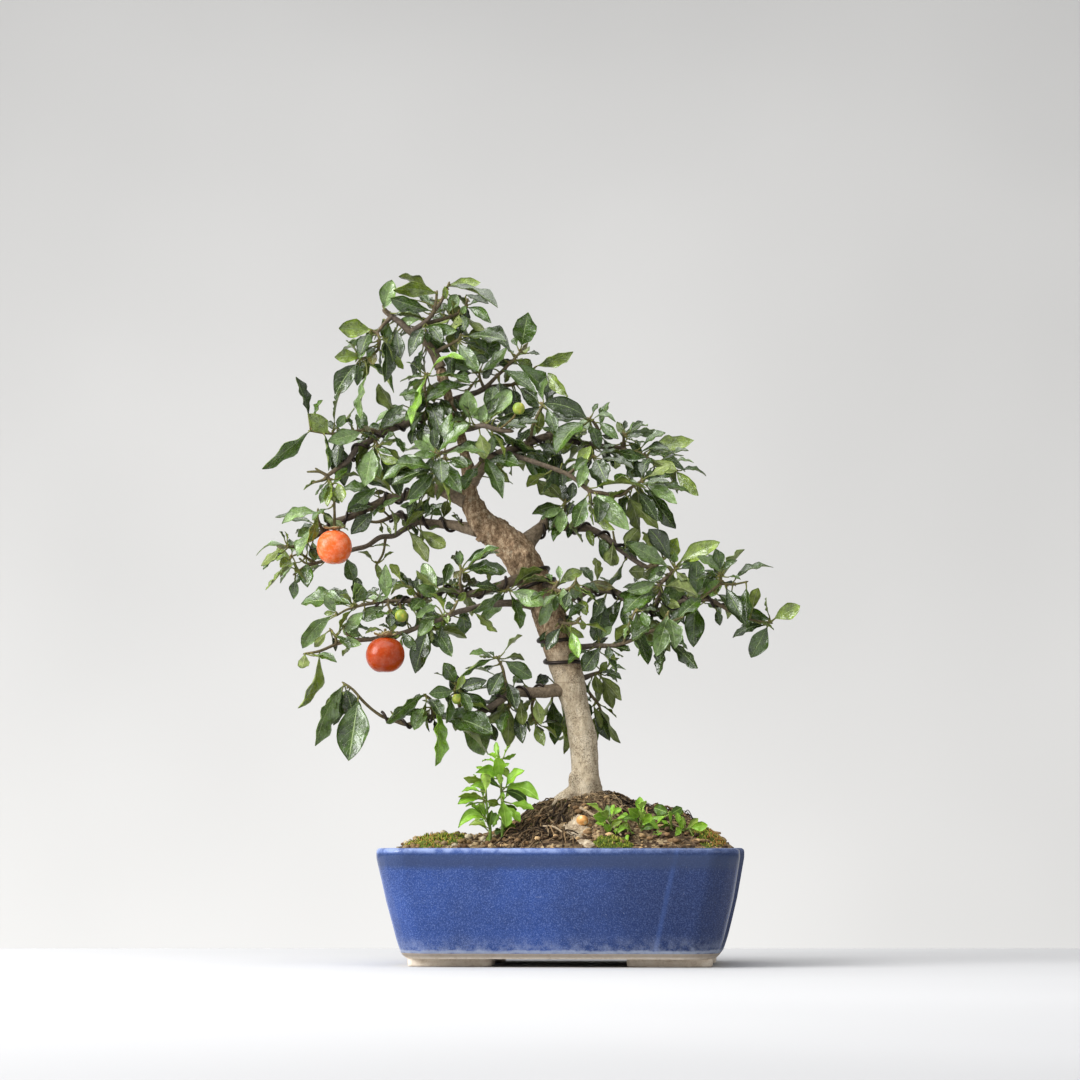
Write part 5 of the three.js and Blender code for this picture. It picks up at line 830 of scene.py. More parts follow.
LIMBS = dict(SPRAYS)
for back_name, (front_name, deeper) in BACK_LIMBS.items():
    LIMBS[back_name] = behind(SPRAYS[front_name], deeper)
grower = Grower({**SEEDLINGS, **LIMBS})
FILLED = {name: fill(grower, name, draws_from(name + " fill")) for name in grower.leaves}


# Materials

# The word after a node's kind sets this
CHIEF_SETTING = {"Math": "operation", "VectorMath": "operation", "MapRange": "interpolation_type",
                 "Mix": "blend_type", "Attribute": "attribute_name"}


def srgb(text):
    """A linear colour from an sRGB hex value."""
    channels = [int(text[i:i + 2], 16) / 255 for i in (1, 3, 5)]
    return tuple(c / 12.92 if c <= 0.04045 else ((c + 0.055) / 1.055) ** 2.4 for c in channels) + (1.0,)


WHITE = srgb("#ffffff")


def put(m, socket, value):
    """Gives a socket a value, an sRGB hex colour or another node's (node, output)."""
    if isinstance(value, tuple) and isinstance(value[0], bpy.types.Node):
        m.node_tree.links.new(value[0].outputs[value[1]], socket)
    else:
        socket.default_value = srgb(value) if isinstance(value, str) else value


def node(m, kind, *values, out=0, stops=(), **inputs):
    """Adds a node. Values and outputs fill its sockets in their order or by name; stops colour a ramp."""
    word, _, setting = kind.partition(" ")
    made = m.node_tree.nodes.new("ShaderNode" + word)
    sockets = range(len(values))
    if word == "Mix":
        made.data_type = "RGBA"
        sockets, out = (0, 6, 7), 2
    if setting:
        setattr(made, CHIEF_SETTING[word], setting)
    for key, value in [*zip(sockets, values), *inputs.items()]:
        put(m, made.inputs[key.replace("_", " ") if isinstance(key, str) else key], value)
    if stops:
        elements = made.color_ramp.elements
        while len(elements) < len(stops):
            elements.new(0.5)
        for element, (place, colour) in zip(elements, stops):
            element.position = place
            element.color = srgb(colour) if isinstance(colour, str) else colour
    return made, out


def grain(m, millimetres, detail=4, rough=0.55, stretch=(1, 1, 1), cells=False):
    """Lumps, or cells round a middle each, about so many millimetres across in the object's own space."""
    place = node(m, "Mapping", node(m, "TexCoord", out="Object"), Scale=stretch)
    scale = 1 / (millimetres * MM)
    if cells:
        return node(m, "TexVoronoi", place, Scale=scale)
    return node(m, "TexNoise", place, Scale=scale, Detail=detail, Roughness=rough)


def laid(m, under, mask, share, colour):
    """A colour laid over what is under it where the mask is white, at most by the share."""
    return node(m, "Mix", node(m, "Math MULTIPLY", mask, share), under, colour)


def relief(m, lumps, depth, strength, under=None):
    """Lumps raised by a depth in millimetres; lumps are what grain takes, or a node's output."""
    height = grain(m, *lumps) if isinstance(lumps[0], (int, float)) else lumps
    below = {"Normal": under} if under else {}
    return node(m, "Bump", Height=height, Strength=strength, Distance=depth * MM, **below)


def surface(name, base, roughness, normal=None, **settings):
    """Makes a material; its colour, roughness and relief are values, or functions that add their nodes."""
    m = bpy.data.materials.get(name) or bpy.data.materials.new(name)
    m.use_nodes = True
    m.node_tree.nodes.clear()
    shader = node(m, "BsdfPrincipled", **settings)
    node(m, "OutputMaterial", shader)
    for socket, value in (("Base Color", base), ("Roughness", roughness), ("Normal", normal)):
        if value is not None:
            put(m, shader[0].inputs[socket], value(m) if callable(value) else value)
    return m


def mottled(name, lumps, stops, roughness, bumps, depth, strength, **settings):
    """A surface whose colour wanders between a few tones, over a fine relief of its own."""
    return surface(name, lambda m: node(m, "ValToRGB", grain(m, *lumps), stops=stops), roughness,
                   lambda m: relief(m, bumps, depth, strength), **settings)


def own_tint(m, lumps, darkest):
    """Each particle's or leaf's own tint, mottled down to a darkest share."""
    mottle = node(m, "ValToRGB", grain(m, *lumps), stops=[(0.3, darkest), (0.7, WHITE)])
    return node(m, "Mix MULTIPLY", 1.0, node(m, "Attribute tint"), mottle)


def tinted(name, roughness, lumps, bump, **settings):
    """A matt natural surface coloured by each particle's own tint."""
    return surface(name, lambda m: own_tint(m, (lumps,), "#a8a8a8"), roughness,
                   lambda m: relief(m, (lumps * 0.5,), bump, 0.7), **settings)


def blue_glaze():
    """Stoneware glaze, fired: a glassy deep blue that thins pale on edges and breaks into fine specks, with
    painted highlights on its edges and lip and painted shade towards its right end.
    """
    colours = bpy.context.scene.bonsai_colours

    def arris(m, along, height, corner):
        """How near the place lies to an upright edge of the cut corners, which lean out as they rise."""
        (low, half_low), (high, half_high) = POT_PROFILE[2], POT_PROFILE[-2]
        slant = (half_high - half_low) / (high - low)
        foot = (corner - (POT_LENGTH / 2 - half_low) - slant * low) * MM
        edge = node(m, "Math MULTIPLY_ADD", height, slant, foot)
        off = node(m, "Math SUBTRACT", node(m, "Math ABSOLUTE", along), edge)
        return node(m, "MapRange SMOOTHSTEP", node(m, "Math ABSOLUTE", off), 0.0004, 0.003, 1, 0)

    def base(m):
        """Pooling with painted shade towards the right end, specks, pale edges with a painted highlight, dark
        band, a painted highlight on the lip, foot line and wear, laid one on another.
        """
        place = node(m, "SeparateXYZ", node(m, "TexCoord", out="Object"))[0]
        height = (place, "Z")
        pooled = node(m, "ValToRGB", grain(m, 28, 5),
                      stops=[(0.35, shade(colours.glaze, 0.85)), (0.65, shade(colours.glaze, 1.2))])
        # the glaze is darker towards the pot's right end, away from the light: painted shade, which there
        # also lessens the pale specks, the pale edges and the lip's highlight
        deep = node(m, "MapRange SMOOTHSTEP", (place, "X"), 0, 0.12)
        body = laid(m, pooled, deep, 0.85, shade(colours.glaze, 0.3))
        # its specks are about 0.4 mm; they are drawn 1 mm wide so that they show
        light = node(m, "MapRange", grain(m, 0.9, 3, 0.8), 0.5, 0.62)
        dark = node(m, "MapRange", grain(m, 1.1, 3, 0.8), 0.48, 0.36)
        dimmed = laid(m, body, dark, 0.45, shade(colours.glaze, 0.4))
        # fewer pale specks towards the right end, as part of the painted shade there
        speckled = laid(m, dimmed, light, node(m, "Math MULTIPLY_ADD", deep, -0.2, 0.42), "#7c93cc")
        # pale lines on the upright edges: the glaze is thinner there, and the lines also carry a painted
        # highlight, stronger on the left where the light falls and weaker towards the right end
        thin = node(m, "Math MAXIMUM", arris(m, (place, "X"), height, POT_LENGTH / 2 - POT_CHAMFER),
                    arris(m, (place, "Y"), height, POT_DEPTH / 2 - POT_CHAMFER))
        edged = laid(m, speckled, thin, node(m, "Math MULTIPLY_ADD", deep, -0.3, 0.42), "#5c80d0")
        # a darker band runs below the lip, then a paler cloud on the lip itself, which is a painted highlight
        # and fades towards the right end
        run = node(m, "Math ADD", height, node(m, "Math MULTIPLY", grain(m, 9, 3), 0.004))
        band = node(m, "Math MULTIPLY", node(m, "MapRange SMOOTHSTEP", run, 0.0705, 0.0765),
                    node(m, "MapRange SMOOTHSTEP", height, 0.0805, 0.0835, 1, 0))
        banded = laid(m, edged, band, 0.72, "#2f3d5c")
        cloud = node(m, "ValToRGB", grain(m, 8, 4), stops=[(0.35, "#6e6e6e"), (0.6, WHITE)])
        rim = node(m, "Math MULTIPLY", node(m, "MapRange SMOOTHSTEP", height, 0.0815, 0.0838), cloud)
        lip_highlighted = laid(m, banded, rim, node(m, "Math MULTIPLY_ADD", deep, -0.5, 0.7), "#97a8d2")
        # lime and drips gather at the foot
        lime = node(m, "Math MULTIPLY", node(m, "MapRange SMOOTHSTEP", height, 0.009, 0.026, 1, 0),
                    node(m, "MapRange", grain(m, 7, 5, 0.7), 0.4, 0.7))
        limed = laid(m, lip_highlighted, lime, 0.4, "#b9c3d6")
        drip = node(m, "Math MULTIPLY", node(m, "MapRange SMOOTHSTEP", run, 0.0112, 0.0125),
                    node(m, "MapRange SMOOTHSTEP", run, 0.0135, 0.015, 1, 0))
        lined = laid(m, limed, drip, 0.55, "#a9b2c2")
        # flakes of lime some 2 mm wide, and long pale scuffs from handling
        flaked = laid(m, lined, node(m, "MapRange", grain(m, 2.2, 4, 0.8), 0.69, 0.72), 0.6, "#c3cddf")
        scuff = node(m, "MapRange", grain(m, 12, 6, 0.75, (0.25, 0.25, 1.6)), 0.69, 0.74)
        return laid(m, flaked, scuff, 0.4, "#c6cfdf")

    def roughness(m):
        even = node(m, "MapRange", grain(m, 14, 4), 0.3, 0.7, 0.037, 0.098)
        # its fine pitting dulls the glaze where it is seen edge-on
        skim = node(m, "LayerWeight", 0.5, out="Facing")
        return node(m, "Mix", node(m, "MapRange SMOOTHSTEP", skim, 0.82, 0.95), even, WHITE)

    def normal(m):
        return relief(m, (11, 3), 0.5, 0.35, relief(m, (1.6, 2), 0.09, 0.5))

    return surface("blue_stoneware_glaze", base, roughness, normal, IOR=1.5, Specular_IOR_Level=0.32)


def fired_clay():
    """Unglazed stoneware, fired buff: dry and sandy, darker in a band where it meets the glaze."""
    def base(m):
        place = node(m, "SeparateXYZ", node(m, "TexCoord", out="Object"))[0]
        # its sand is about 0.3 mm; it is drawn coarser, in clouds of 5 mm over lumps of 0.9 mm
        sand = node(m, "ValToRGB", grain(m, 5, 6, 0.7),
                    stops=[(0.3, "#cdbda9"), (0.5, "#eaddcb"), (0.7, "#f3e9da")])
        line = node(m, "MapRange SMOOTHSTEP", (place, "Z"), 0.0055, 0.0085, 0, 0.8)
        return node(m, "Mix", line, sand, "#85786b")

    return surface("fired_clay", base, 0.85, lambda m: relief(m, (0.9,), 0.25, 0.6), IOR=1.5)


def woven_polypropylene():
    """Black polypropylene mesh, woven 2 mm apart: a dull plastic with no grain to speak of."""
    return mottled("woven_polypropylene", (3, 3), [(0.3, "#1d1d1f"), (0.7, "#343438")],
                   0.6, (1.2,), 0.1, 0.5, IOR=1.49)


def potting_soil():
    """Akadama and bark compost, damp: brown crumbs from near black to tan."""
    def base(m):
        # crumbs of 2 to 3 mm, each with a tone of its own, and damp in broad clouds
        crumb = grain(m, 2.2, cells=True)[0]
        tone = node(m, "ValToRGB", (crumb, "Color"),
                    stops=[(0.1, "#3d3025"), (0.4, "#715c47"), (0.7, "#9c8362"), (0.95, "#cdb78f")])
        damp = node(m, "ValToRGB", grain(m, 26, 4), stops=[(0.35, "#7a7a7a"), (0.65, WHITE)])
        return node(m, "Mix MULTIPLY", 1.0, tone, damp)

    def normal(m):
        return relief(m, (0.8,), 0.4, 0.6, relief(m, grain(m, 2.6, cells=True), 1.4, 0.9))

    return surface("potting_soil", base, 0.93, normal, IOR=1.4, Specular_IOR_Level=0.2)


def tree_bark():
    """Persimmon bark on an old trunk: pale and closely speckled below, brown and rough above."""
    def base(m):
        own = node(m, "TexCoord", out="Object")
        height = (node(m, "SeparateXYZ", own)[0], "Z")
        # the bark turns from pale to brown from just below the lowest limbs; the brown starts this low partly
        # as painted shade for the foliage's shadow on the trunk
        wander = node(m, "Math MULTIPLY_ADD", grain(m, 22, 4), 0.08, height)
        rise = node(m, "MapRange SMOOTHSTEP", wander, 0.228, 0.285)
        pale = node(m, "ValToRGB", grain(m, 7, 7, 0.7, (1, 1, 0.6)),
                    stops=[(0.3, "#9c8b74"), (0.48, "#c6b69b"), (0.68, "#dfd2ba")])
        brown = node(m, "ValToRGB", grain(m, 3.4, 7, 0.8, (1, 1, 0.6)),
                     stops=[(0.36, "#4a3828"), (0.5, "#957b5f"), (0.64, "#d2bd9e")])
        bark = node(m, "Mix", rise, pale, brown)
        dirt = node(m, "ValToRGB", grain(m, 3, 5, 0.7), stops=[(0.4, "#303030"), (0.58, WHITE)])
        soiled = node(m, "Math MULTIPLY", node(m, "MapRange SMOOTHSTEP", height, 0.098, 0.124, 1, 0), dirt)
        stained = laid(m, bark, soiled, 0.6, "#6b543b")
        # pores, about 1 mm across and 1.2 mm apart, gathered in patches
        patch = node(m, "ValToRGB", grain(m, 10, 3), stops=[(0.38, "#555555"), (0.6, WHITE)])
        dots = node(m, "Math MULTIPLY", node(m, "MapRange", grain(m, 1.2, 3, 0.85), 0.48, 0.57), patch)
        dotted = laid(m, stained, dots, 0.72, "#513f2c")
        # growth rings show as thin dark bands round the trunk
        ring = node(m, "ValToRGB", grain(m, 5, 3, 0.6, (0.06, 0.06, 1.3)),
                    stops=[(0.61, "#000000"), (0.66, WHITE), (0.7, "#000000")])
        ringed = laid(m, dotted, ring, 0.38, "#5d4a37")
        # the healed cut has rings of its own, 1.7 mm apart
        scar = node(m, "VectorMath DISTANCE", own, at(SCARS[0][0]) * MM, out="Value")
        inside = node(m, "MapRange", scar, 0.007, 0.0095, 0.75, 0)
        waves = node(m, "Math SINE", node(m, "Math MULTIPLY", scar, 2 * math.pi / 0.0017))
        groove = node(m, "Math MULTIPLY", node(m, "Math MULTIPLY_ADD", waves, 0.5, 0.5), inside)
        scarred = node(m, "Mix", groove, ringed, "#4a3829")
        # a pale grey-green film of lichen here and there, 8 mm from spot to spot
        lichen = node(m, "MapRange", grain(m, 8, 6, 0.65), 0.6, 0.68)
        return laid(m, scarred, lichen, 0.4, "#c4bea6")

    def normal(m):
        return relief(m, (1.2, 3, 0.8), 0.8, 0.8, relief(m, (3.4, 6, 0.65, (1, 1, 0.5)), 1.1, 0.85))

    return surface("persimmon_bark", base, 0.85, normal, IOR=1.45, Specular_IOR_Level=0.25)


def twig_bark():
    """Young persimmon wood: thin dull brown skin with paler lenticels, greener towards the tips."""
    def base(m):
        pores = node(m, "MapRange", grain(m, 1.6, cells=True), 0.2, 0.08)
        return laid(m, own_tint(m, (2.4, 5, 0.7), "#8c8c8c"), pores, 0.3, "#b8a78a")

    return surface("twig_bark", base, 0.75, lambda m: relief(m, (1.3,), 0.3, 0.7), IOR=1.45,
                   Specular_IOR_Level=0.3)


def anodised_aluminium_wire():
    """Aluminium wire, anodised dark brown and drawn: a dull metal shine along its length."""
    return mottled("anodised_aluminium_wire", (6,), [(0.3, "#26201d"), (0.7, "#453b35")],
                   0.42, (1.5, 3), 0.05, 0.4, Metallic=0.75)


def midrib(m, low, high):
    """Where a leaf's midrib lies, and how far off it a place is as a share of the leaf's width."""
    uv = node(m, "SeparateXYZ", node(m, "TexCoord", out="UV"))[0]
    off = node(m, "Math ABSOLUTE", node(m, "Math SUBTRACT", (uv, "Y"), 0.5))
    return node(m, "MapRange SMOOTHSTEP", off, low, high, 1, 0), off, (uv, "X")


def leaf_face(name, upper):
    """A persimmon leaf: waxy and dark above with pale sunken veins, dull and paler beneath."""
    def veins(m):
        rib, off, along = midrib(m, 0.012, 0.035)
        # seven pairs of side veins that leave the midrib and arch forward
        bend = node(m, "Math MULTIPLY", node(m, "Math POWER", off, 1.4), 6.0)
        phase = node(m, "Math SUBTRACT", node(m, "Math MULTIPLY", along, 7.0), bend)
        saw = node(m, "Math ABSOLUTE", node(m, "Math SUBTRACT", node(m, "Math FRACT", phase), 0.5))
        thin = node(m, "MapRange SMOOTHSTEP", saw, 0.02, 0.085, 1, 0)
        return rib, node(m, "Math MULTIPLY", thin, node(m, "MapRange", off, 0.44, 0.2))

    def base(m):
        mottle = node(m, "ValToRGB", grain(m, 6, 5, 0.6),
                      stops=[(0.3, "#8c8c8c"), (0.5, "#d9d9d9"), (0.68, WHITE)])
        blade = node(m, "Mix MULTIPLY", 1.0, node(m, "Attribute tint"), mottle)
        rib, side = veins(m)
        pale = "#93a96a" if upper else "#b3b98a"
        ribbed = laid(m, laid(m, blade, side, 0.34, pale), rib, 0.8, pale)
        # brown spots of late summer, a few millimetres wide
        blotch = node(m, "MapRange", grain(m, 3.5, 5, 0.7), 0.68, 0.77)
        worn = laid(m, ribbed, blotch, 0.3, "#8a7a46")
        # dried water leaves a pale dust in fine dots, drawn three times too wide so that they show
        dust = grain(m, 1.5, cells=True)
        dots = node(m, "Math MULTIPLY", node(m, "MapRange", dust, 0.24, 0.12),
                    node(m, "MapRange", (dust[0], "Color"), 0.6, 0.64))
        return laid(m, worn, dots, 0.5 if upper else 0.12, "#cfd8b8")

    def roughness(m):
        return node(m, "MapRange", grain(m, 4), 0.35, 0.7, *((0.209, 0.352) if upper else (0.254, 0.392)))

    def normal(m):
        raised = node(m, "Math MULTIPLY", node(m, "Math MAXIMUM", *veins(m)), -1.0 if upper else 1.0)
        return relief(m, (3.2, 3), 0.9, 0.7, relief(m, raised, 0.5, 0.85))

    if upper:
        return surface(name, base, roughness, normal, IOR=1.5, Specular_IOR_Level=1.0)
    return surface(name, base, roughness, normal, IOR=1.4, Specular_IOR_Level=0.4)


def ripe_skin(name, colour, bloom_share):
    """Persimmon skin: waxy and thin over soft flesh, with russet freckles and a pale bloom."""
    def base(m):
        cloud = node(m, "ValToRGB", grain(m, 13),
                     stops=[(0.3, shade(colour, 0.8)), (0.5, shade(colour, 1)), (0.72, shade(colour, 1.25))])
        cloud[0].color_ramp.interpolation = "EASE"
        # its freckles are about 0.5 mm; they are drawn twice as wide so that they show
        freckle = grain(m, 1.3, cells=True)
        dots = node(m, "Math MULTIPLY", node(m, "MapRange", freckle, 0.22, 0.1),
                    node(m, "MapRange", (freckle[0], "Color"), 0.62, 0.66))
        # the bloom lies in clouds, rubbed off between them
        bloom = node(m, "MapRange", grain(m, 5, 6, 0.7), 0.45, 0.68)
        return laid(m, laid(m, cloud, dots, 0.55, "#7c3a1a"), bloom, bloom_share, "#f2c4a4")

    return surface(name, base, 0.24, lambda m: relief(m, (1.8,), 0.12, 0.6), IOR=1.45,
                   Specular_IOR_Level=0.36, Subsurface_Weight=0.1, Subsurface_Scale=0.002)


def unripe_skin():
    """Unripe persimmon skin: green turning yellow, smooth and waxy."""
    return mottled("unripe_persimmon_skin", (4,), [(0.35, "#6c8530"), (0.55, "#8f9c38"), (0.7, "#bcae44")],
                   0.4, (1.6, 3), 0.1, 0.5, IOR=1.45)


def dry_calyx():
    """A dried persimmon calyx: papery, tan mottled with olive."""
    return mottled("dry_calyx", (4, 5, 0.7), [(0.3, "#6d6440"), (0.5, "#9c8e62"), (0.7, "#c0b38a")],
                   0.8, (1.4,), 0.25, 0.7, IOR=1.4)


def fresh_leaf():
    """A young seedling leaf: thin, bright and faintly shining."""
    def base(m):
        return laid(m, own_tint(m, (5,), "#c4c4c4"), midrib(m, 0.015, 0.045)[0], 0.6, "#a3c95c")

    return surface("seedling_leaf", base, 0.42, lambda m: relief(m, (2.2, 3), 0.3, 0.6), IOR=1.43)


def fresh_stem():
    """A seedling's stem: green, smooth and sappy."""
    return tinted("seedling_stem", 0.55, 3, 0.15, IOR=1.43)


def soil_grain():
    """Akadama crumbs, bark chips and fine gravel: dry and matt."""
    return tinted("soil_grains", 0.9, 1.6, 0.2, IOR=1.45, Specular_IOR_Level=0.25)


def root_skin():
    """Fine roots: fibrous and dull."""
    return tinted("fine_roots", 0.85, 1.4, 0.15, IOR=1.45, Specular_IOR_Level=0.25)


def moss_cushion():
    """Cushion moss: short soft tufts, green and straw coloured, each tuft in its own tint."""
    return tinted("cushion_moss", 0.9, 2.4, 0.3, IOR=1.4, Specular_IOR_Level=0.2)


def pebble_stone():
    """A river pebble of weathered quartzite: worn smooth, cream with orange iron stains."""
    return mottled("quartzite_pebble", (3.5, 5, 0.65), [(0.3, "#b8743a"), (0.5, "#d9a35c"), (0.7, "#ecd6a8")],
                   0.7, (1.0,), 0.15, 0.6, IOR=1.46)


def studio_paper(name, colour):
    """Matt background paper, with the faintest cloud in its tone."""
    def base(m):
        cloud = node(m, "ValToRGB", grain(m, 900, 2), stops=[(0.3, "#f4f4f4"), (0.7, WHITE)])
        return node(m, "Mix MULTIPLY", 1.0, colour, cloud)

    return surface(name, base, 0.9, Specular_IOR_Level=0.1)


# Meshes

class Mesh:
    """Points, faces, their texture places, tints and materials, gathered before they become an object."""

    def __init__(self):
        self.points = []
        self.tints = []
        self.faces = []
        self.places = []
        self.slots = []

    def add_grid(self, rows, tint, slot=0, closed=False, caps=False, flip=False):
        """A sheet or tube from rows of points; tint is one colour or one for each row."""
        first = len(self.points)
        n = len(rows[0])
        last = len(rows) - 1
        gaps = n if closed else n - 1
        many = isinstance(tint[0], (tuple, list))
        for i, row in enumerate(rows):
            self.points += row
            self.tints += [tint[i] if many else tint] * n
        for i in range(last):
            u0, u1 = i / last, (i + 1) / last
            for j in range(gaps):
                v0, v1 = j / gaps, (j + 1) / gaps
                a, b = first + i * n + j, first + i * n + (j + 1) % n
                face = [a, b, b + n, a + n]
                place = [(u0, v0), (u0, v1), (u1, v1), (u1, v0)]
                self.add_face(face[::-1] if flip else face, place[::-1] if flip else place, slot)
        if caps:
            self.add_face([first + j for j in reversed(range(n))], [(0, 0.5)] * n, slot)
            self.add_face([first + last * n + j for j in range(n)], [(1, 0.5)] * n, slot)
        return first

    def add_face(self, face, place, slot):
        """One face, its texture places and the material slot it has."""
        self.faces.append(face)
        self.places.append(place)
        self.slots.append(slot)

    def add_sheets(self, sheet, under, tone_top, tone_under, slots):
        """A thin blade: two sheets of the same rows and the rim between them."""
        rows = len(sheet)
        columns = len(sheet[0])
        a = self.add_grid(sheet, tone_top, slots[0])
        b = self.add_grid(under, tone_under, slots[1], flip=True)
        rim = ([i * columns for i in range(rows)] + [(rows - 1) * columns + j for j in range(1, columns)]
               + [i * columns + columns - 1 for i in range(rows - 2, -1, -1)]
               + [j for j in range(columns - 2, 0, -1)])
        for k, first in enumerate(rim):
            second = rim[(k + 1) % len(rim)]
            self.add_face([a + first, b + first, b + second, a + second], [(0.5, 0.02)] * 4, slots[1])

    def add_tube(self, points, radii, sides, tint, slot=0, wobble=0.0, seed=0.0):
        """A round body along a line; a wobble makes its girth uneven by that share."""
        rows = []
        normal = Vector((0.31, 0.52, 0.79))
        last = len(points) - 1
        for i, point in enumerate(points):
            tangent = (points[min(last, i + 1)] - points[max(0, i - 1)]).normalized()
            normal = (normal - tangent * normal.dot(tangent)).normalized()
            side = tangent.cross(normal)
            row = []
            for j in range(sides):
                angle = 2 * math.pi * j / sides
                out = normal * math.cos(angle) + side * math.sin(angle)
                reach = radii[i]
                if wobble:
                    reach *= 1 + wobble * noise.noise(point * 0.16 + out * 0.9 + Vector((seed, 0, 0)))
                row.append(point + out * reach)
            rows.append(row)
        self.add_grid(rows, tint, slot, closed=True, caps=True)

    def add_lump(self, middle, sizes, turn, tint, slot=0, rings=4, sides=6):
        """A small rounded body, such as a grain or a bud."""
        rows = []
        for i in range(rings + 1):
            rise = -math.cos(math.pi * (0.06 + 0.88 * i / rings))
            wide = math.sqrt(max(0, 1 - rise * rise))
            row = []
            for j in range(sides):
                angle = 2 * math.pi * j / sides
                row.append(middle + turn @ Vector((sizes[0] * wide * math.cos(angle),
                                                   sizes[1] * wide * math.sin(angle), sizes[2] * rise)))
            rows.append(row)
        self.add_grid(rows, tint, slot, closed=True, caps=True)

    def build(self, name, materials=()):
        """Makes the object, in metres and in the frame's place."""
        if not self.faces:
            raise RuntimeError(f"{name} has no faces")
        data = bpy.data.meshes.new(name)
        data.from_pydata([(point + POT_MIDDLE) * MM for point in self.points], [], self.faces)
        uv = data.uv_layers.new(name="UVMap")
        uv.data.foreach_set("uv", [c for place in self.places for pair in place for c in pair])
        tint = data.color_attributes.new("tint", "FLOAT_COLOR", "POINT")
        tint.data.foreach_set("color", [c for colour in self.tints for c in colour])
        data.polygons.foreach_set("material_index", self.slots)
        data.polygons.foreach_set("use_smooth", [True] * len(self.faces))
        for material in materials:
            data.materials.append(material)
        data.update()
        piece = bpy.data.objects.new(name, data)
        bpy.context.scene.collection.objects.link(piece)
        return piece

    def make(self, name, materials, replaces, slot):
        """Makes the object and ties it to the frame."""
        piece = self.build(name, materials)
        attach(piece, "root")
        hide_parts(*replaces)
        return piece


def smooth_line(points, radii, step):
    """The line through the points in even small steps, rounded at its joints."""
    fine = []
    fine_radii = []
    last = len(points) - 1
    for i in range(last):
        a, b = points[i], points[i + 1]
        before, after = points[max(0, i - 1)], points[min(last, i + 2)]
        steps = max(2, round((b - a).length / step))
        for k in range(steps):
            t = k / steps
            p = (a * (2 * t ** 3 - 3 * t * t + 1) + b * (3 * t * t - 2 * t ** 3)
                 + (b - before) * (0.5 * (t ** 3 - 2 * t * t + t)) + (after - a) * (0.5 * (t ** 3 - t * t)))
            fine.append(p)
            fine_radii.append(radii[i] + (radii[i + 1] - radii[i]) * t)
    return fine + [points[-1]], fine_radii + [radii[-1]]


def applied(piece):
    """Applies the piece's modifiers to its mesh."""
    graph = bpy.context.evaluated_depsgraph_get()
    fresh = bpy.data.meshes.new_from_object(piece.evaluated_get(graph))
    if not fresh.polygons:
        raise RuntimeError(f"{piece.name} came out empty")
    piece.modifiers.clear()
    piece.data = fresh
    return fresh


def between(a, b, f):
    """A colour between two, by a share from the first."""
    return tuple(x + (y - x) * f for x, y in zip(a, b))


def shade(colour, factor):
    """A lighter or darker tone of a colour."""
    return tuple(c * factor for c in colour[:3]) + (1.0,)


# Leaves and limbs

# Each look's tone above and beneath: dark, a painted shade for leaves that lie in shadow; mid; pale, a
# painted sheen; underside shown; yellow and lime, partly the leaves' own colour and partly painted light
# shining through them; and brown
LEAF_TONES = {
    "d": ("#32490b", "#6f7d36"), "m": ("#4b6b17", "#84953f"), "p": ("#7b9a50", "#98a666"),
    "o": ("#5d7a39", "#8a9a4f"), "y": ("#8aa236", "#a6b656"), "l": ("#8aba33", "#a5c957"),
    "b": ("#7a753d", "#9a8a56"),
}
# Bark's tone by the wood's radius, thin green tips first
TWIG_TONES = [(0.6, "#7f7c4a"), (1.3, "#77684e"), (2.2, "#6d6156"), (3.2, "#83735f"), (4.4, "#94826b")]


def twig_tone(radius):
    """The bark's tone on wood of a radius."""
    low = TWIG_TONES[0]
    for high in TWIG_TONES[1:]:
        if radius <= high[0]:
            f = max(0, (radius - low[0]) / (high[0] - low[0]))
            return between(srgb(low[1]), srgb(high[1]), f)
        low = high
    return srgb(TWIG_TONES[-1][1])


# A leaf longer than this, in millimetres, has the finer grid of rows and columns
LARGE_LEAF = 27
LARGE_LEAF_GRID = (13, 9)
SMALL_LEAF_GRID = (11, 7)
# The share of a leaf's length that is stalk
LEAF_STALK = 0.05


def outline_of(t, widest, blunt):
    """Half width along a leaf as a share of its greatest, from a wedge shaped foot to a blunt tip."""
    if t <= 0 or t >= 1:
        return 0.0
    foot = min(1, t / widest)
    tip = min(1, (1 - t) / (1 - widest))
    return math.sin(foot * math.pi / 2) ** 1.05 * math.sin(tip * math.pi / 2) ** blunt


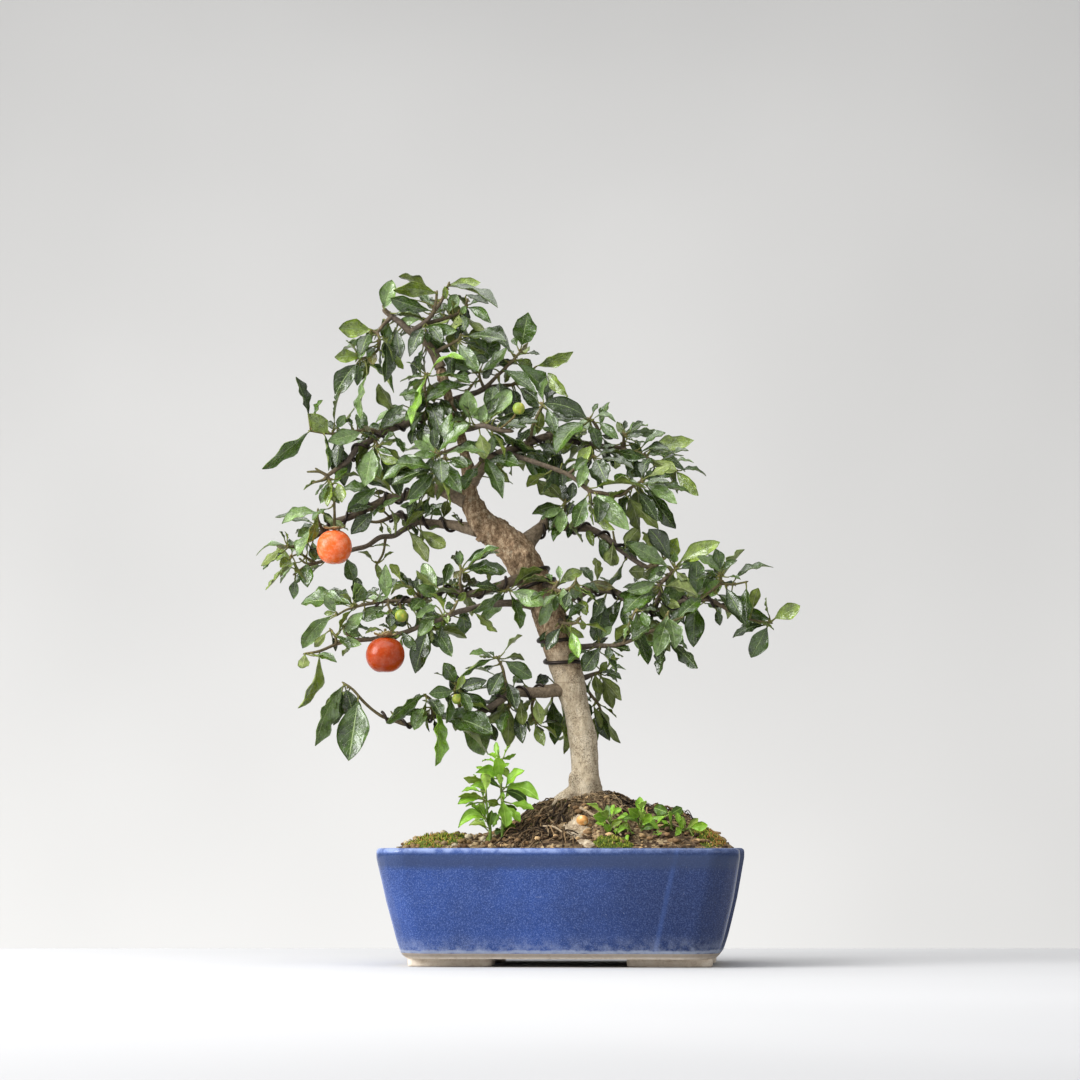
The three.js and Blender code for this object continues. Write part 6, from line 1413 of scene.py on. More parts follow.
def add_leaf(mesh, leaf, draw, sizes, slots, fresh):
    """A leaf with a folded, waved blade between two skins, on a short stalk."""
    length = (leaf["tip"] - leaf["base"]).length
    rows, columns = LARGE_LEAF_GRID if length > LARGE_LEAF else SMALL_LEAF_GRID
    width = leaf["width"]
    along, side = leaf["along"], leaf["side"]
    shown = -1 if leaf["look"] == "o" else 1
    up = leaf["normal"] * shown
    # the look's tones: painted shade for dark leaves, painted sheen for pale ones, and in part painted light
    # shining through for yellow and lime ones
    tone_top, tone_under = [srgb(text) for text in LEAF_TONES[leaf["look"]]]
    light = 0.8 + 0.4 * next(draw)
    tone_top = shade(tone_top, light)
    tone_under = shade(tone_under, light)
    phase = 6.28 * next(draw)
    waves = 1.8 + 1.6 * next(draw)
    curl = (0.05 + 0.16 * next(draw)) * length * (0.6 if fresh else 1)
    twist = (next(draw) - 0.5) * 0.5
    fold = sizes.leaf_fold * (0.6 + 0.8 * next(draw))
    widest = 0.48 + 0.14 * next(draw)
    blunt = 0.6 + 0.35 * next(draw)
    sheet = []
    for i in range(rows):
        t = i / (rows - 1)
        s = LEAF_STALK + (1 - LEAF_STALK) * t
        half = max(0.25, outline_of(t, widest, blunt) * width / 2)
        middle = leaf["base"].lerp(leaf["tip"], s) + leaf["bow"] * (4 * s * (1 - s))
        middle += up * (curl * (0.25 - (s - 0.5) ** 2) * 1.2)
        turned = side * math.cos(twist * s) + up * math.sin(twist * s)
        row = []
        for j in range(columns):
            c = -1 + 2 * j / (columns - 1)
            ripple = math.sin(phase + waves * 6.28 * t + (1.2 if c > 0 else 0)) * sizes.leaf_wave
            half_c = c * half * (1 + 0.07 * math.sin(phase * 2 + 4 * waves * t + c))
            lift = abs(c) ** 1.3 * fold * half + ripple * c * c * half * min(1, 4 * t * (1 - t) + 0.2)
            row.append(middle + turned * half_c + up * lift)
        sheet.append(row)
    thick = sizes.leaf_thickness / MM
    under = [[point - up * thick for point in row] for row in sheet]
    if shown > 0:
        mesh.add_sheets(sheet, under, tone_top, tone_under, slots)
    else:
        mirrored = [[row[::-1] for row in rows_of] for rows_of in (sheet, under)]
        mesh.add_sheets(*mirrored, tone_top, tone_under, slots)
    foot = sheet[0][columns // 2] - up * thick / 2
    bend = leaf["base"].lerp(leaf["root"], 0.35) - up * 0.3
    stalk, radii = smooth_line([leaf["root"], bend, foot + along * 0.8], [0.75, 0.6, 0.45], 1.6)
    mesh.add_tube(stalk, radii, 5, shade(between(tone_under, srgb("#8c8a4c"), 0.6), 0.95))


def limb_mesh(name, sizes, fresh=False):
    """A limb's twigs and leaves; a fresh one is a seedling, green and without buds."""
    mesh = Mesh()
    draw = draws_from(name + " look")
    for index, rail in enumerate(grower.rails[name]):
        points, radii = smooth_line(rail.points, rail.radii, 2 if index == 0 else 1.6)
        if index == 0 and not fresh:
            # a limb flares where it leaves the wood it grows from
            radii = [r * (1 + 0.4 * math.exp(-i / 5)) for i, r in enumerate(radii)]
        else:
            radii = [r * (1 + 0.3 * math.exp(-i / 1.5)) for i, r in enumerate(radii)]
        radii = [r * (1 + 0.07 * noise.noise(p * 0.22)) for p, r in zip(points, radii)]
        if fresh:
            tints = [shade(srgb("#7fa33a"), 0.85)] * len(points)
        else:
            tints = [twig_tone(r) for r in radii]
        mesh.add_tube(points, radii, 12 if index == 0 else 8, tints, 0, 0.1, index)
        heading = (points[-1] - points[-2]).normalized().to_track_quat("Z", "Y").to_matrix()
        bud_sizes = (radii[-1] * 1.1, radii[-1] * 1.1, radii[-1] * 2.2)
        mesh.add_lump(points[-1], bud_sizes, heading, shade(tints[-1], 1.1))
    for leaf in grower.leaves[name] + FILLED[name]:
        add_leaf(mesh, leaf, draw, sizes, (1, 1) if fresh else (1, 2), fresh)
        if not fresh:
            bud = leaf["root"] + leaf["along"] * 1.2 + Vector((0, 0, 0.6))
            turn = leaf["along"].to_track_quat("Z", "Y").to_matrix()
            mesh.add_lump(bud, (0.7, 0.7, 1.5), turn, srgb("#8b7a4a"), 0, 3, 5)
    return mesh


# The pot's outline, in steps along its sides and round its turns

LONG_STEPS = 26
BEND_STEPS = 5


def bend(before, corner, after, cut):
    """A corner rounded off over a set length."""
    ends = [corner.lerp(other, min(0.45, cut / (other - corner).length)) for other in (before, after)]
    steps = [k / BEND_STEPS for k in range(BEND_STEPS + 1)]
    return [ends[0] * (1 - t) ** 2 + corner * (2 * t * (1 - t)) + ends[1] * t * t for t in steps]


def pot_ring(inset, z):
    """The pot's level outline, set in from its greatest length and depth."""
    half_x = POT_LENGTH / 2 - inset
    half_y = POT_DEPTH / 2 - inset
    corners = []
    for i, (sx, sy) in enumerate(((1, -1), (1, 1), (-1, 1), (-1, -1))):
        along_x = Vector((sx * (half_x - POT_CHAMFER), sy * half_y, z))
        along_y = Vector((sx * half_x, sy * (half_y - POT_CHAMFER), z))
        first, second = (along_y, along_x) if i % 2 else (along_x, along_y)
        bow = Vector((sx, sy, 0)) * (POT_CHAMFER * 0.07)
        corners += [first, first.lerp(second, 0.5) + bow, second]
    n = len(corners)
    arcs = []
    for i, corner in enumerate(corners):
        cut = SIDE_ARRIS_BEND if i in (2, 3, 8, 9) else FRONT_ARRIS_BEND
        if i % 3 == 1:
            cut = CORNER_BEND
        arcs.append(bend(corners[i - 1], corner, corners[(i + 1) % n], cut))
    ring = []
    for i, arc in enumerate(arcs):
        ring += arc
        if i % 3 == 2:
            after = arcs[(i + 1) % n][0]
            ring += [arc[-1].lerp(after, k / LONG_STEPS) for k in range(1, LONG_STEPS)]
    return ring


# Sizes and colours that a user may change

class BonsaiPotSizes(bpy.types.PropertyGroup):
    """Sizes of the pot's finish, and how much lies on the soil"""
    lip_round: bpy.props.FloatProperty(
        name="Lip rounding", description="How far the lip's edges are rounded off", default=0.0028,
        min=0.0002, max=0.0029, unit="LENGTH")
    wall_waver: bpy.props.FloatProperty(
        name="Wall waver", description="How far the pressed walls stray from flat", default=0.0005,
        min=0, max=0.001, unit="LENGTH")
    grain_count: bpy.props.IntProperty(
        name="Soil grains", description="Loose grains and chips on the soil", default=1900, min=0, max=3000)
    fibre_count: bpy.props.IntProperty(
        name="Root fibres", description="Fine roots that show on the mound", default=330, min=0, max=400)


class BonsaiTreeSizes(bpy.types.PropertyGroup):
    """Sizes of the leaves and the bark"""
    leaf_thickness: bpy.props.FloatProperty(
        name="Leaf thickness", description="Thickness of a leaf's blade", default=0.00045, min=0.0002,
        max=0.001, unit="LENGTH")
    leaf_fold: bpy.props.FloatProperty(
        name="Leaf fold", description="How far a leaf's halves rise from its midrib, for each unit of width",
        default=0.3, min=0, max=0.6)
    leaf_wave: bpy.props.FloatProperty(
        name="Leaf wave", description="Height of the waves along a leaf's edge, for each unit of width",
        default=0.22, min=0, max=0.3)
    bark_relief: bpy.props.FloatProperty(
        name="Bark relief", description="Height of the lumps on the trunk", default=0.0013, min=0,
        max=0.003, unit="LENGTH")
    trunk_cell: bpy.props.FloatProperty(
        name="Trunk mesh", description="Cell size that the trunk and its roots are joined with",
        default=0.0012, min=0.0008, max=0.004, unit="LENGTH")


class BonsaiColours(bpy.types.PropertyGroup):
    """Main colours"""
    glaze: bpy.props.FloatVectorProperty(
        name="Glaze", description="Body colour of the pot's glaze", subtype="COLOR", size=3, min=0, max=1,
        default=srgb("#24407f")[:3])
    ripe: bpy.props.FloatVectorProperty(
        name="Ripe fruit", description="Colour of the ripe fruit on the left", subtype="COLOR", size=3, min=0,
        max=1, default=srgb("#db5f24")[:3])
    deep_ripe: bpy.props.FloatVectorProperty(
        name="Deep ripe fruit", description="Colour of the ripe fruit that hangs low", subtype="COLOR",
        size=3, min=0, max=1, default=srgb("#9a3403")[:3])
    backdrop: bpy.props.FloatVectorProperty(
        name="Backdrop", description="Colour of the paper behind the tree", subtype="COLOR", size=3, min=0,
        max=1, default=srgb("#d8d7d5")[:3])


# Pieces

class BONSAI_OT_pot(bpy.types.Operator):
    """Makes the glazed pot with its feet and drain holes"""
    bl_idname = "bonsai.pot"
    bl_label = "Pot"

    def execute(self, context):
        sizes = context.scene.bonsai_pot
        edge = sizes.lip_round / MM
        top = POT_PROFILE[-1][0]
        wall = self.wall()
        roll = [(edge * (1 - math.sin(a)), top - edge * (1 - math.cos(a)))
                for a in (math.pi / 2 * (1 - k / 5) for k in range(6))]
        outer = [(POT_LENGTH / 2 - half, z) for z, half in wall if z < top - edge - 0.3]
        lip = roll + [(POT_WALL - inset, z) for inset, z in reversed(roll)]
        inner = [(POT_LENGTH / 2 - half + POT_WALL, z) for z, half in reversed(wall)
                 if FLOOR_TOP + 3 < z < top - 8]
        foot = POT_LENGTH / 2 - FLOOR_HALF + POT_WALL
        inner += [(foot + inward, FLOOR_TOP + rise) for inward, rise in FLOOR_TURN]
        rows = [pot_ring(inset, z) for inset, z in outer + lip + inner]
        for row in rows:
            for point in row:
                point.xy *= 1 + noise.noise(point * 0.03) * sizes.wall_waver / MM / 100
        bare = sum(1 for inset, z in outer if z < GLAZE_END)
        mesh = Mesh()
        mesh.add_grid(rows[:bare + 1], WHITE, 1, closed=True)
        mesh.add_grid(rows[bare:], WHITE, 0, closed=True)
        n = len(rows[0])
        mesh.add_face(list(reversed(range(n))), [(0, 0)] * n, 1)
        last = len(mesh.points) - n
        mesh.add_face([last + j for j in range(n)], [(0, 0)] * n, 1)
        pot = mesh.make("glazed_pot", [blue_glaze(), fired_clay()], ["pot"], "glaze")
        pot.modifiers.new("seam", "WELD").merge_threshold = 0.05 * MM
        drains = Mesh()
        for hand in (-1, 1):
            reach = [Vector((hand * DRAIN_X, 0, z)) for z in (0, 30)]
            drains.add_tube(reach, [DRAIN_DIAMETER / 2] * 2, 40, WHITE)
        cutter = drains.build("drain_cutter")
        hole = pot.modifiers.new("drains", "BOOLEAN")
        hole.object = cutter
        hole.solver = "EXACT"
        hole.material_mode = "INDEX"
        applied(pot)
        bpy.data.objects.remove(cutter)
        pot.data.set_sharp_from_angle(angle=math.radians(SHARP_DEGREES))
        self.feet()
        return {"FINISHED"}

    def wall(self):
        """The outside wall's heights and half lengths in small steps, with soft turns."""
        fine = []
        for (z0, h0), (z1, h1) in zip(POT_PROFILE, POT_PROFILE[1:]):
            steps = max(1, round((z1 - z0) / 2))
            fine += [(z0 + (z1 - z0) * k / steps, h0 + (h1 - h0) * k / steps) for k in range(steps)]
        soft = [fine[0]]
        for before, row, after in zip(fine, fine[1:], fine[2:]):
            soft.append((row[0], (before[1] + 2 * row[1] + after[1]) / 4))
        return soft + [fine[-1]]

    def feet(self):
        """Four bare clay feet, which reach a little way up into the pot's underside."""
        mesh = Mesh()
        for sx in (-1, 1):
            for sy in (-1, 1):
                middle = Vector((sx * FOOT_PLACE[0], sy * FOOT_PLACE[1], 0))
                rows = []
                for inset, z in FOOT_TURN:
                    rows.append([middle + Vector((x, y, z)) for x, y in self.foot_outline(inset)])
                mesh.add_grid(rows, WHITE, closed=True, caps=True)
        feet = mesh.build("pot_feet", [fired_clay()])
        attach(feet, "root")

    def foot_outline(self, inset):
        half = [size / 2 - inset for size in FOOT_SIZE]
        outline = []
        for k, (sx, sy) in enumerate(((1, -1), (1, 1), (-1, 1), (-1, -1))):
            for i in range(5):
                angle = -math.pi / 2 + math.pi / 2 * (k + i / 4)
                outline.append((sx * (half[0] - FOOT_CORNER) + FOOT_CORNER * math.cos(angle),
                                sy * (half[1] - FOOT_CORNER) + FOOT_CORNER * math.sin(angle)))
        return outline


class BONSAI_OT_screens(bpy.types.Operator):
    """Weaves the mesh over each drain hole"""
    bl_idname = "bonsai.screens"
    bl_label = "Drain screens"

    def execute(self, context):
        middle = FLOOR_TOP + GAP + 0.6
        for hand, side in ((-1, "left"), (1, "right")):
            mesh = Mesh()
            for k in range(-6, 7):
                for across in (True, False):
                    line = []
                    for i in range(-12, 13):
                        s = i * SCREEN_HALF / 12
                        phase = math.pi * (s / SCREEN_PITCH + k + (0 if across else 1))
                        rise = SCREEN_RISE * math.cos(phase)
                        x, y = (s, k * SCREEN_PITCH) if across else (k * SCREEN_PITCH, s)
                        line.append(Vector((hand * DRAIN_X + x, y, middle + rise)))
                    mesh.add_tube(line, [SCREEN_WIRE] * len(line), 6, WHITE)
            name = f"drain_screen_{side}"
            mesh.make(f"{name}_mesh", [woven_polypropylene()], [name], "screen")
        return {"FINISHED"}


# Tones of the gravel on the left and of the crumbs on the right
GRAVEL_TONES = ("#c9bb9d", "#b39b74", "#8f7550", "#6d543a")
CRUMB_TONES = ("#78604a", "#54412f", "#9b7b57", "#cbaa7c")


class BONSAI_OT_ground(bpy.types.Operator):
    """Makes the soil mound with its grains, roots and dead sticks, the moss and the pebble"""
    bl_idname = "bonsai.ground"
    bl_label = "Soil and moss"

    def execute(self, context):
        self.soil(context.scene.bonsai_pot)
        for name, patch in MOSS.items():
            self.moss(name, patch)
        self.pebble()
        return {"FINISHED"}

    def surface(self, x, y):
        """The soil's top: the mound with its dips, and with clods that fade out at the pot's wall."""
        place = Vector((x, y, 0))
        clods = noise.noise(place * 0.11) * 1.5 + noise.noise(place * 0.34) * 1.1
        clods += abs(noise.noise(place * 0.8)) * 0.8
        clods += noise.noise(place * 0.06 + Vector((5, 5, 5))) * 2.2 + noise.noise(place * 0.19) * 1.8
        inside = min(POT_LENGTH / 2 - abs(x), POT_DEPTH / 2 - abs(y)) - POT_WALL
        dip = sum(depth * math.exp(-((x - hx) ** 2 + (y - hy) ** 2) / reach ** 2)
                  for (hx, hy), reach, depth in HOLLOWS)
        return soil_height(x, y) - dip + clods * min(1, max(0, inside / 12))

    def soil(self, sizes):
        """The mound down to the pot's floor, with all that lies on it."""
        mesh = Mesh()
        outline = pot_ring(POT_WALL + 0.9, 0)
        rows = [[point + Vector((0, 0, FLOOR_TOP + 0.5)) for point in pot_ring(24, 0)],
                [point + Vector((0, 0, 77)) for point in pot_ring(POT_WALL + 2.4, 0)]]
        for i in range(SOIL_RINGS):
            f = 1 - (i / SOIL_RINGS) ** 1.15
            row = [point * f for point in outline]
            rows.append([Vector((p.x, p.y, self.surface(p.x, p.y))) for p in row])
        mesh.add_grid(rows, WHITE, closed=True, caps=True)
        self.grains(mesh, sizes.grain_count)
        self.fibres(mesh, sizes.fibre_count)
        self.bare_roots(mesh)
        self.film(mesh)
        for line, thick in DEAD_STICKS:
            path = [Vector((x, y, self.surface(x, y) + lift)) for x, y, lift in line]
            points, radii = smooth_line(path, [thick * (1 - 0.15 * i) for i in range(len(path))], 1.3)
            mesh.add_tube(points, radii, 7, srgb("#b9a486"), 2)
        mesh.make("soil_mound", [potting_soil(), soil_grain(), root_skin(), moss_cushion()], ["soil"], "soil")

    def bare_roots(self, mesh):
        """Dark roots that arch clear of the slope, in front of the trunk and along the ridge on its right."""
        draw = draws_from("bare roots")
        for k in range(DARK_ROOTS):
            front = k < DARK_ROOTS_IN_FRONT
            x = -38 + 50 * next(draw) if front else 28 + 62 * next(draw)
            y = -24 - 46 * next(draw) if front else -30 + 44 * next(draw)
            heading = (-1.9 if front else -0.6) + (next(draw) - 0.5) * 2
            step = 1.8 + 1.4 * next(draw)
            arch = 1 + 3 * next(draw)
            line = []
            for i in range(8):
                line.append(Vector((x, y, self.surface(x, y) - 0.4 + arch * math.sin(math.pi * i / 7))))
                heading += (next(draw) - 0.5) * 0.9
                x += step * math.cos(heading)
                y += step * math.sin(heading)
            thick = 0.35 + 0.75 * next(draw) ** 2
            tone = between(srgb("#241b14"), srgb("#a58762"), next(draw) ** 2)
            points, radii = smooth_line(line, [thick * (1 - 0.08 * i) for i in range(8)], 1.2)
            mesh.add_tube(points, radii, 5, tone, 2)

    def film(self, mesh):
        """Thin moss on the slope to the left of the trunk, in fine tufts."""
        draw = draws_from("film")
        tones = [srgb(text) for text in ("#5b5f2c", "#74743a", "#4b4a26")]
        for _ in range(FILM_TUFTS):
            x = -40 + 46 * next(draw)
            y = -50 + 60 * next(draw)
            if noise.noise(Vector((x, y, 0)) * 0.12) < -0.05:
                continue
            foot = Vector((x, y, self.surface(x, y) - 0.3))
            tip = foot + Vector((next(draw) - 0.5, next(draw) - 0.5, 1.2 + 1.2 * next(draw)))
            tone = tones[int(next(draw) * 3)]
            mesh.add_tube([foot, foot.lerp(tip, 0.6), tip], [0.6, 0.5, 0.1], 4, tone, 3)

    def grains(self, mesh, count):
        """Loose crumbs: pale gravel on the left, darker crumbs and long chips of bark on the right."""
        draw = draws_from("grains")
        for _ in range(count):
            x = (next(draw) * 2 - 1) * (POT_LENGTH / 2 - 11)
            y = (next(draw) * 2 - 1) * (POT_DEPTH / 2 - 11)
            if abs(x) / (POT_LENGTH / 2) + abs(y) / (POT_DEPTH / 2) > 1.78:
                continue
            left = x < -42
            size = (0.8 + 2.4 * next(draw) ** 3) * (1.15 if left else 1)
            pick = next(draw)
            tones = GRAVEL_TONES if left else CRUMB_TONES
            tone = srgb(tones[sum(pick >= share for share in (0.2, 0.45, 0.75))])
            long = 1 + 2.2 * next(draw) ** 3 * (0 if left else 1)
            turn = (Matrix.Rotation(6.28 * next(draw), 3, "Z")
                    @ Matrix.Rotation((next(draw) - 0.5) * (2.6 if left else 1.1), 3, "X"))
            middle = Vector((x, y, self.surface(x, y) + 0.25 * size))
            tone = shade(tone, 0.7 + 0.6 * next(draw))
            mesh.add_lump(middle, (size * long, size * 0.8, size * 0.6), turn, tone, 1, 3, 5)

    def fibres(self, mesh, count):
        """Fine roots that run down the mound between the clods."""
        draw = draws_from("fibres")
        for _ in range(count):
            angle = 6.28 * next(draw)
            reach = 12 + 42 * next(draw)
            x = 6 + reach * math.cos(angle)
            y = -4 + reach * 0.95 * math.sin(angle)
            heading = angle + (next(draw) - 0.5) * 2.2
            line = []
            for _ in range(9):
                rise = 0.6 + 2.2 * next(draw)
                line.append(Vector((x, y, self.surface(x, y) + rise)))
                heading += (next(draw) - 0.5) * 1.1
                x += 2.4 * math.cos(heading)
                y += 2.4 * math.sin(heading)
            thick = 0.25 + 0.85 * next(draw) ** 3
            tone = between(srgb("#2c2119"), srgb("#c0a57e"), next(draw) ** 1.4)
            points, radii = smooth_line(line, [thick * (1 - 0.07 * i) for i in range(9)], 1.6)
            mesh.add_tube(points, radii, 5, tone, 2)

    def moss(self, name, patch):
        """A low cushion with uneven edges under upright tufts, some of them dry."""
        (cx, cy), (hx, hy), height = patch
        mesh = Mesh()
        draw = draws_from(name)
        rows = []
        for k in (1.02, 1, 0.9, 0.75, 0.55, 0.35, 0.15):
            row = []
            for j in range(48):
                angle = 2 * math.pi * j / 48
                out = Vector((math.cos(angle), math.sin(angle), 0))
                lobe = 1 + 0.09 * noise.noise(out * 2.2 + UP * (cx * 0.1))
                x = cx + hx * k * lobe * out.x
                y = cy + hy * k * lobe * out.y
                rise = (1 - k * k) * height * 0.62 + 0.8 * noise.noise(Vector((x, y, 0)) * 0.3)
                row.append(Vector((x, y, self.surface(x, y) + (-2 if k > 1.01 else rise))))
            rows.append(row)
        mesh.add_grid(rows, srgb("#5d6a2a"), closed=True, caps=True)
        tones = [srgb(text) for text in ("#7d8c2f", "#9aa53a", "#5f7a2a", "#b2ad52")]
        dry = [srgb(text) for text in ("#c08a4a", "#d2a060", "#a9793f", "#b9a458")]
        for _ in range(round(hx * hy * 1.5)):
            angle = 2 * math.pi * next(draw)
            k = math.sqrt(next(draw)) * 0.98
            x = cx + hx * k * math.cos(angle)
            y = cy + hy * k * math.sin(angle)
            foot = Vector((x, y, self.surface(x, y) + (1 - k * k) * height * 0.6 - 0.4))
            lean = Vector((next(draw) - 0.5, next(draw) - 0.5, 0)) * 1.6
            tall = 1.3 + 2.0 * next(draw) * (1.2 - k)
            dry_share = 0.75 if name == "moss_right" and x > cx else 0.22
            brown = name != "moss_middle" and next(draw) < dry_share
            tone = shade((dry if brown else tones)[int(next(draw) * 4)], 0.75 + 0.5 * next(draw))
            tip = foot + lean + Vector((0, 0, tall))
            mesh.add_tube([foot, foot.lerp(tip, 0.6) + lean * -0.15, tip], [0.62, 0.5, 0.1], 4, tone)
        mesh.make(f"{name}_cushion", [moss_cushion()], [name], "moss")

    def pebble(self):
        """A worn pebble, half sunk in the soil."""
        (x, y), (a, b, c) = PEBBLE
        mesh = Mesh()
        middle = Vector((x, y, soil_height(x, y) + 0.5 * c))
        rows = []
        for i in range(25):
            rise = -math.cos(math.pi * (0.02 + 0.96 * i / 24))
            wide = math.sqrt(1 - rise * rise)
            row = []
            for j in range(36):
                angle = 2 * math.pi * j / 36
                out = Vector((wide * math.cos(angle), wide * math.sin(angle), rise))
                size = 1 + 0.1 * noise.noise(out * 1.3) + 0.03 * noise.noise(out * 5)
                row.append(middle + Vector((out.x * a, out.y * b, out.z * c)) * size * 0.97)
            rows.append(row)
        mesh.add_grid(rows, WHITE, closed=True, caps=True)
        mesh.make("orange_pebble", [pebble_stone()], ["pebble"], "pebble")


class BONSAI_OT_trunk(bpy.types.Operator):
    """Makes the trunk with its roots, burrs and healed scars, as one body of bark"""
    bl_idname = "bonsai.trunk"
    bl_label = "Trunk"

    def execute(self, context):
        sizes = context.scene.bonsai_tree
        mesh = Mesh()
        for index, line in enumerate([TRUNK] + ROOTS):
            rail = Rail(line)
            points, radii = smooth_line(rail.points, rail.radii, 2)
            if index:
                radii = [r * (1 + 0.14 * noise.noise(p * 0.12)) for p, r in zip(points, radii)]
            mesh.add_tube(points, [r * 0.985 for r in radii], 28 if index == 0 else 14, WHITE)
        bare = [Vector(place[:3]) for place in BARE_ROOT]
        mesh.add_tube(*smooth_line(bare, [place[3] for place in BARE_ROOT], 2), 14, WHITE)
        for place, size in SCARS:
            middle = at(place)
            ring = [middle + (ACROSS * math.cos(a) + UP * 1.2 * math.sin(a)) * size
                    for a in (math.pi * k / 9 for k in range(19))]
            mesh.add_tube(ring, [size * (0.4 + 0.1 * math.sin(k)) for k in range(19)], 8, WHITE)
        tilt = Matrix((ACROSS, AWAY, UP)).transposed()
        for place, halves in BURRS:
            mesh.add_lump(at(place), halves, tilt, WHITE, 0, 8, 12)
        trunk = mesh.build("trunk_and_roots", [tree_bark()])
        join = trunk.modifiers.new("join", "REMESH")
        join.mode = "VOXEL"
        join.voxel_size = sizes.trunk_cell
        soften = trunk.modifiers.new("soften", "SMOOTH")
        soften.factor = 0.6
        soften.iterations = 6
        data = applied(trunk)
        relief = sizes.bark_relief
        normals = [vertex.normal.copy() for vertex in data.vertices]
        for vertex, normal in zip(data.vertices, normals):
            place = vertex.co / MM
            lump = noise.noise(Vector((place.x * 0.1, place.y * 0.1, place.z * 0.05)))
            ridge = noise.noise(Vector((place.x * 0.35, place.y * 0.35, place.z * 0.11)))
            knot = max(0, noise.noise(place * 0.075 + Vector((9, 0, 0))) - 0.2)
            # the bark grows rougher from below the first bend upwards
            high = min(1, max(0, (place.z - 235) / 60))
            rough = noise.noise(place * 0.5) * (0.2 + 0.35 * high)
            raised = 0.9 * lump + (0.35 + 0.4 * high) * ridge + 1.6 * high * knot + rough
            vertex.co += normal * relief * raised
        data.polygons.foreach_set("use_smooth", [True] * len(data.polygons))
        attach(trunk, "root")
        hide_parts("trunk")
        return {"FINISHED"}


class BONSAI_OT_limbs(bpy.types.Operator):
    """Grows every limb with its twigs, buds and leaves"""
    bl_idname = "bonsai.limbs"
    bl_label = "Leafy limbs"

    def execute(self, context):
        sizes = context.scene.bonsai_tree
        materials = [twig_bark(), leaf_face("persimmon_leaf_upper", True),
                     leaf_face("persimmon_leaf_underside", False)]
        for name in LIMBS:
            limb_mesh(name, sizes).make(f"{name}_leaves", materials, [name], "leaf")
        return {"FINISHED"}


class BONSAI_OT_wires(bpy.types.Operator):
    """Winds the training wire round the wired limbs and the trunk"""
    bl_idname = "bonsai.wires"
    bl_label = "Training wire"

    def execute(self, context):
        self.metal = anodised_aluminium_wire()
        for name in WIRE_HANDS:
            rail = grower.rails[name][0]
            wire = SPRAYS[name]["wire"]
            stop = rail.lengths[-1] * wire["reach"]
            self.coil(name.replace("limb", "wire"), rail, wire, wire["start"], stop)
        rail = Rail(TRUNK)
        for name, wire, low, high in TRUNK_WIRES:
            self.coil(name, rail, wire, self.length_at(rail, low), self.length_at(rail, high))
        return {"FINISHED"}

    def length_at(self, rail, height):
        """The length along a rail at which it reaches a height."""
        i = next(i for i, point in enumerate(rail.points) if point.z > height)
        a, b = rail.points[i - 1].z, rail.points[i].z
        return rail.lengths[i - 1] + (rail.lengths[i] - rail.lengths[i - 1]) * (height - a) / (b - a)

    def coil(self, name, rail, wire, start, stop):
        """Wire wound round a rail's wood between two lengths along it."""
        turns = (stop - start) / wire["pitch"]
        steps = round(turns * 20)
        line = []
        for i in range(steps + 1):
            s = start + (stop - start) * i / steps
            point, normal, side, radius = rail.spot(s)
            angle = coil_turn(s, wire)
            stray = 0.25 * noise.noise(Vector((s * 0.09, len(name), 0)))
            reach = radius + wire["radius"] + WIRE_CLEAR - 0.1 + stray
            line.append(point + (normal * math.cos(angle) + side * math.sin(angle)) * reach)
        mesh = Mesh()
        mesh.add_tube(line, [wire["radius"]] * len(line), 10, WHITE)
        mesh.make(f"{name}_coil", [self.metal], [name], "wire")


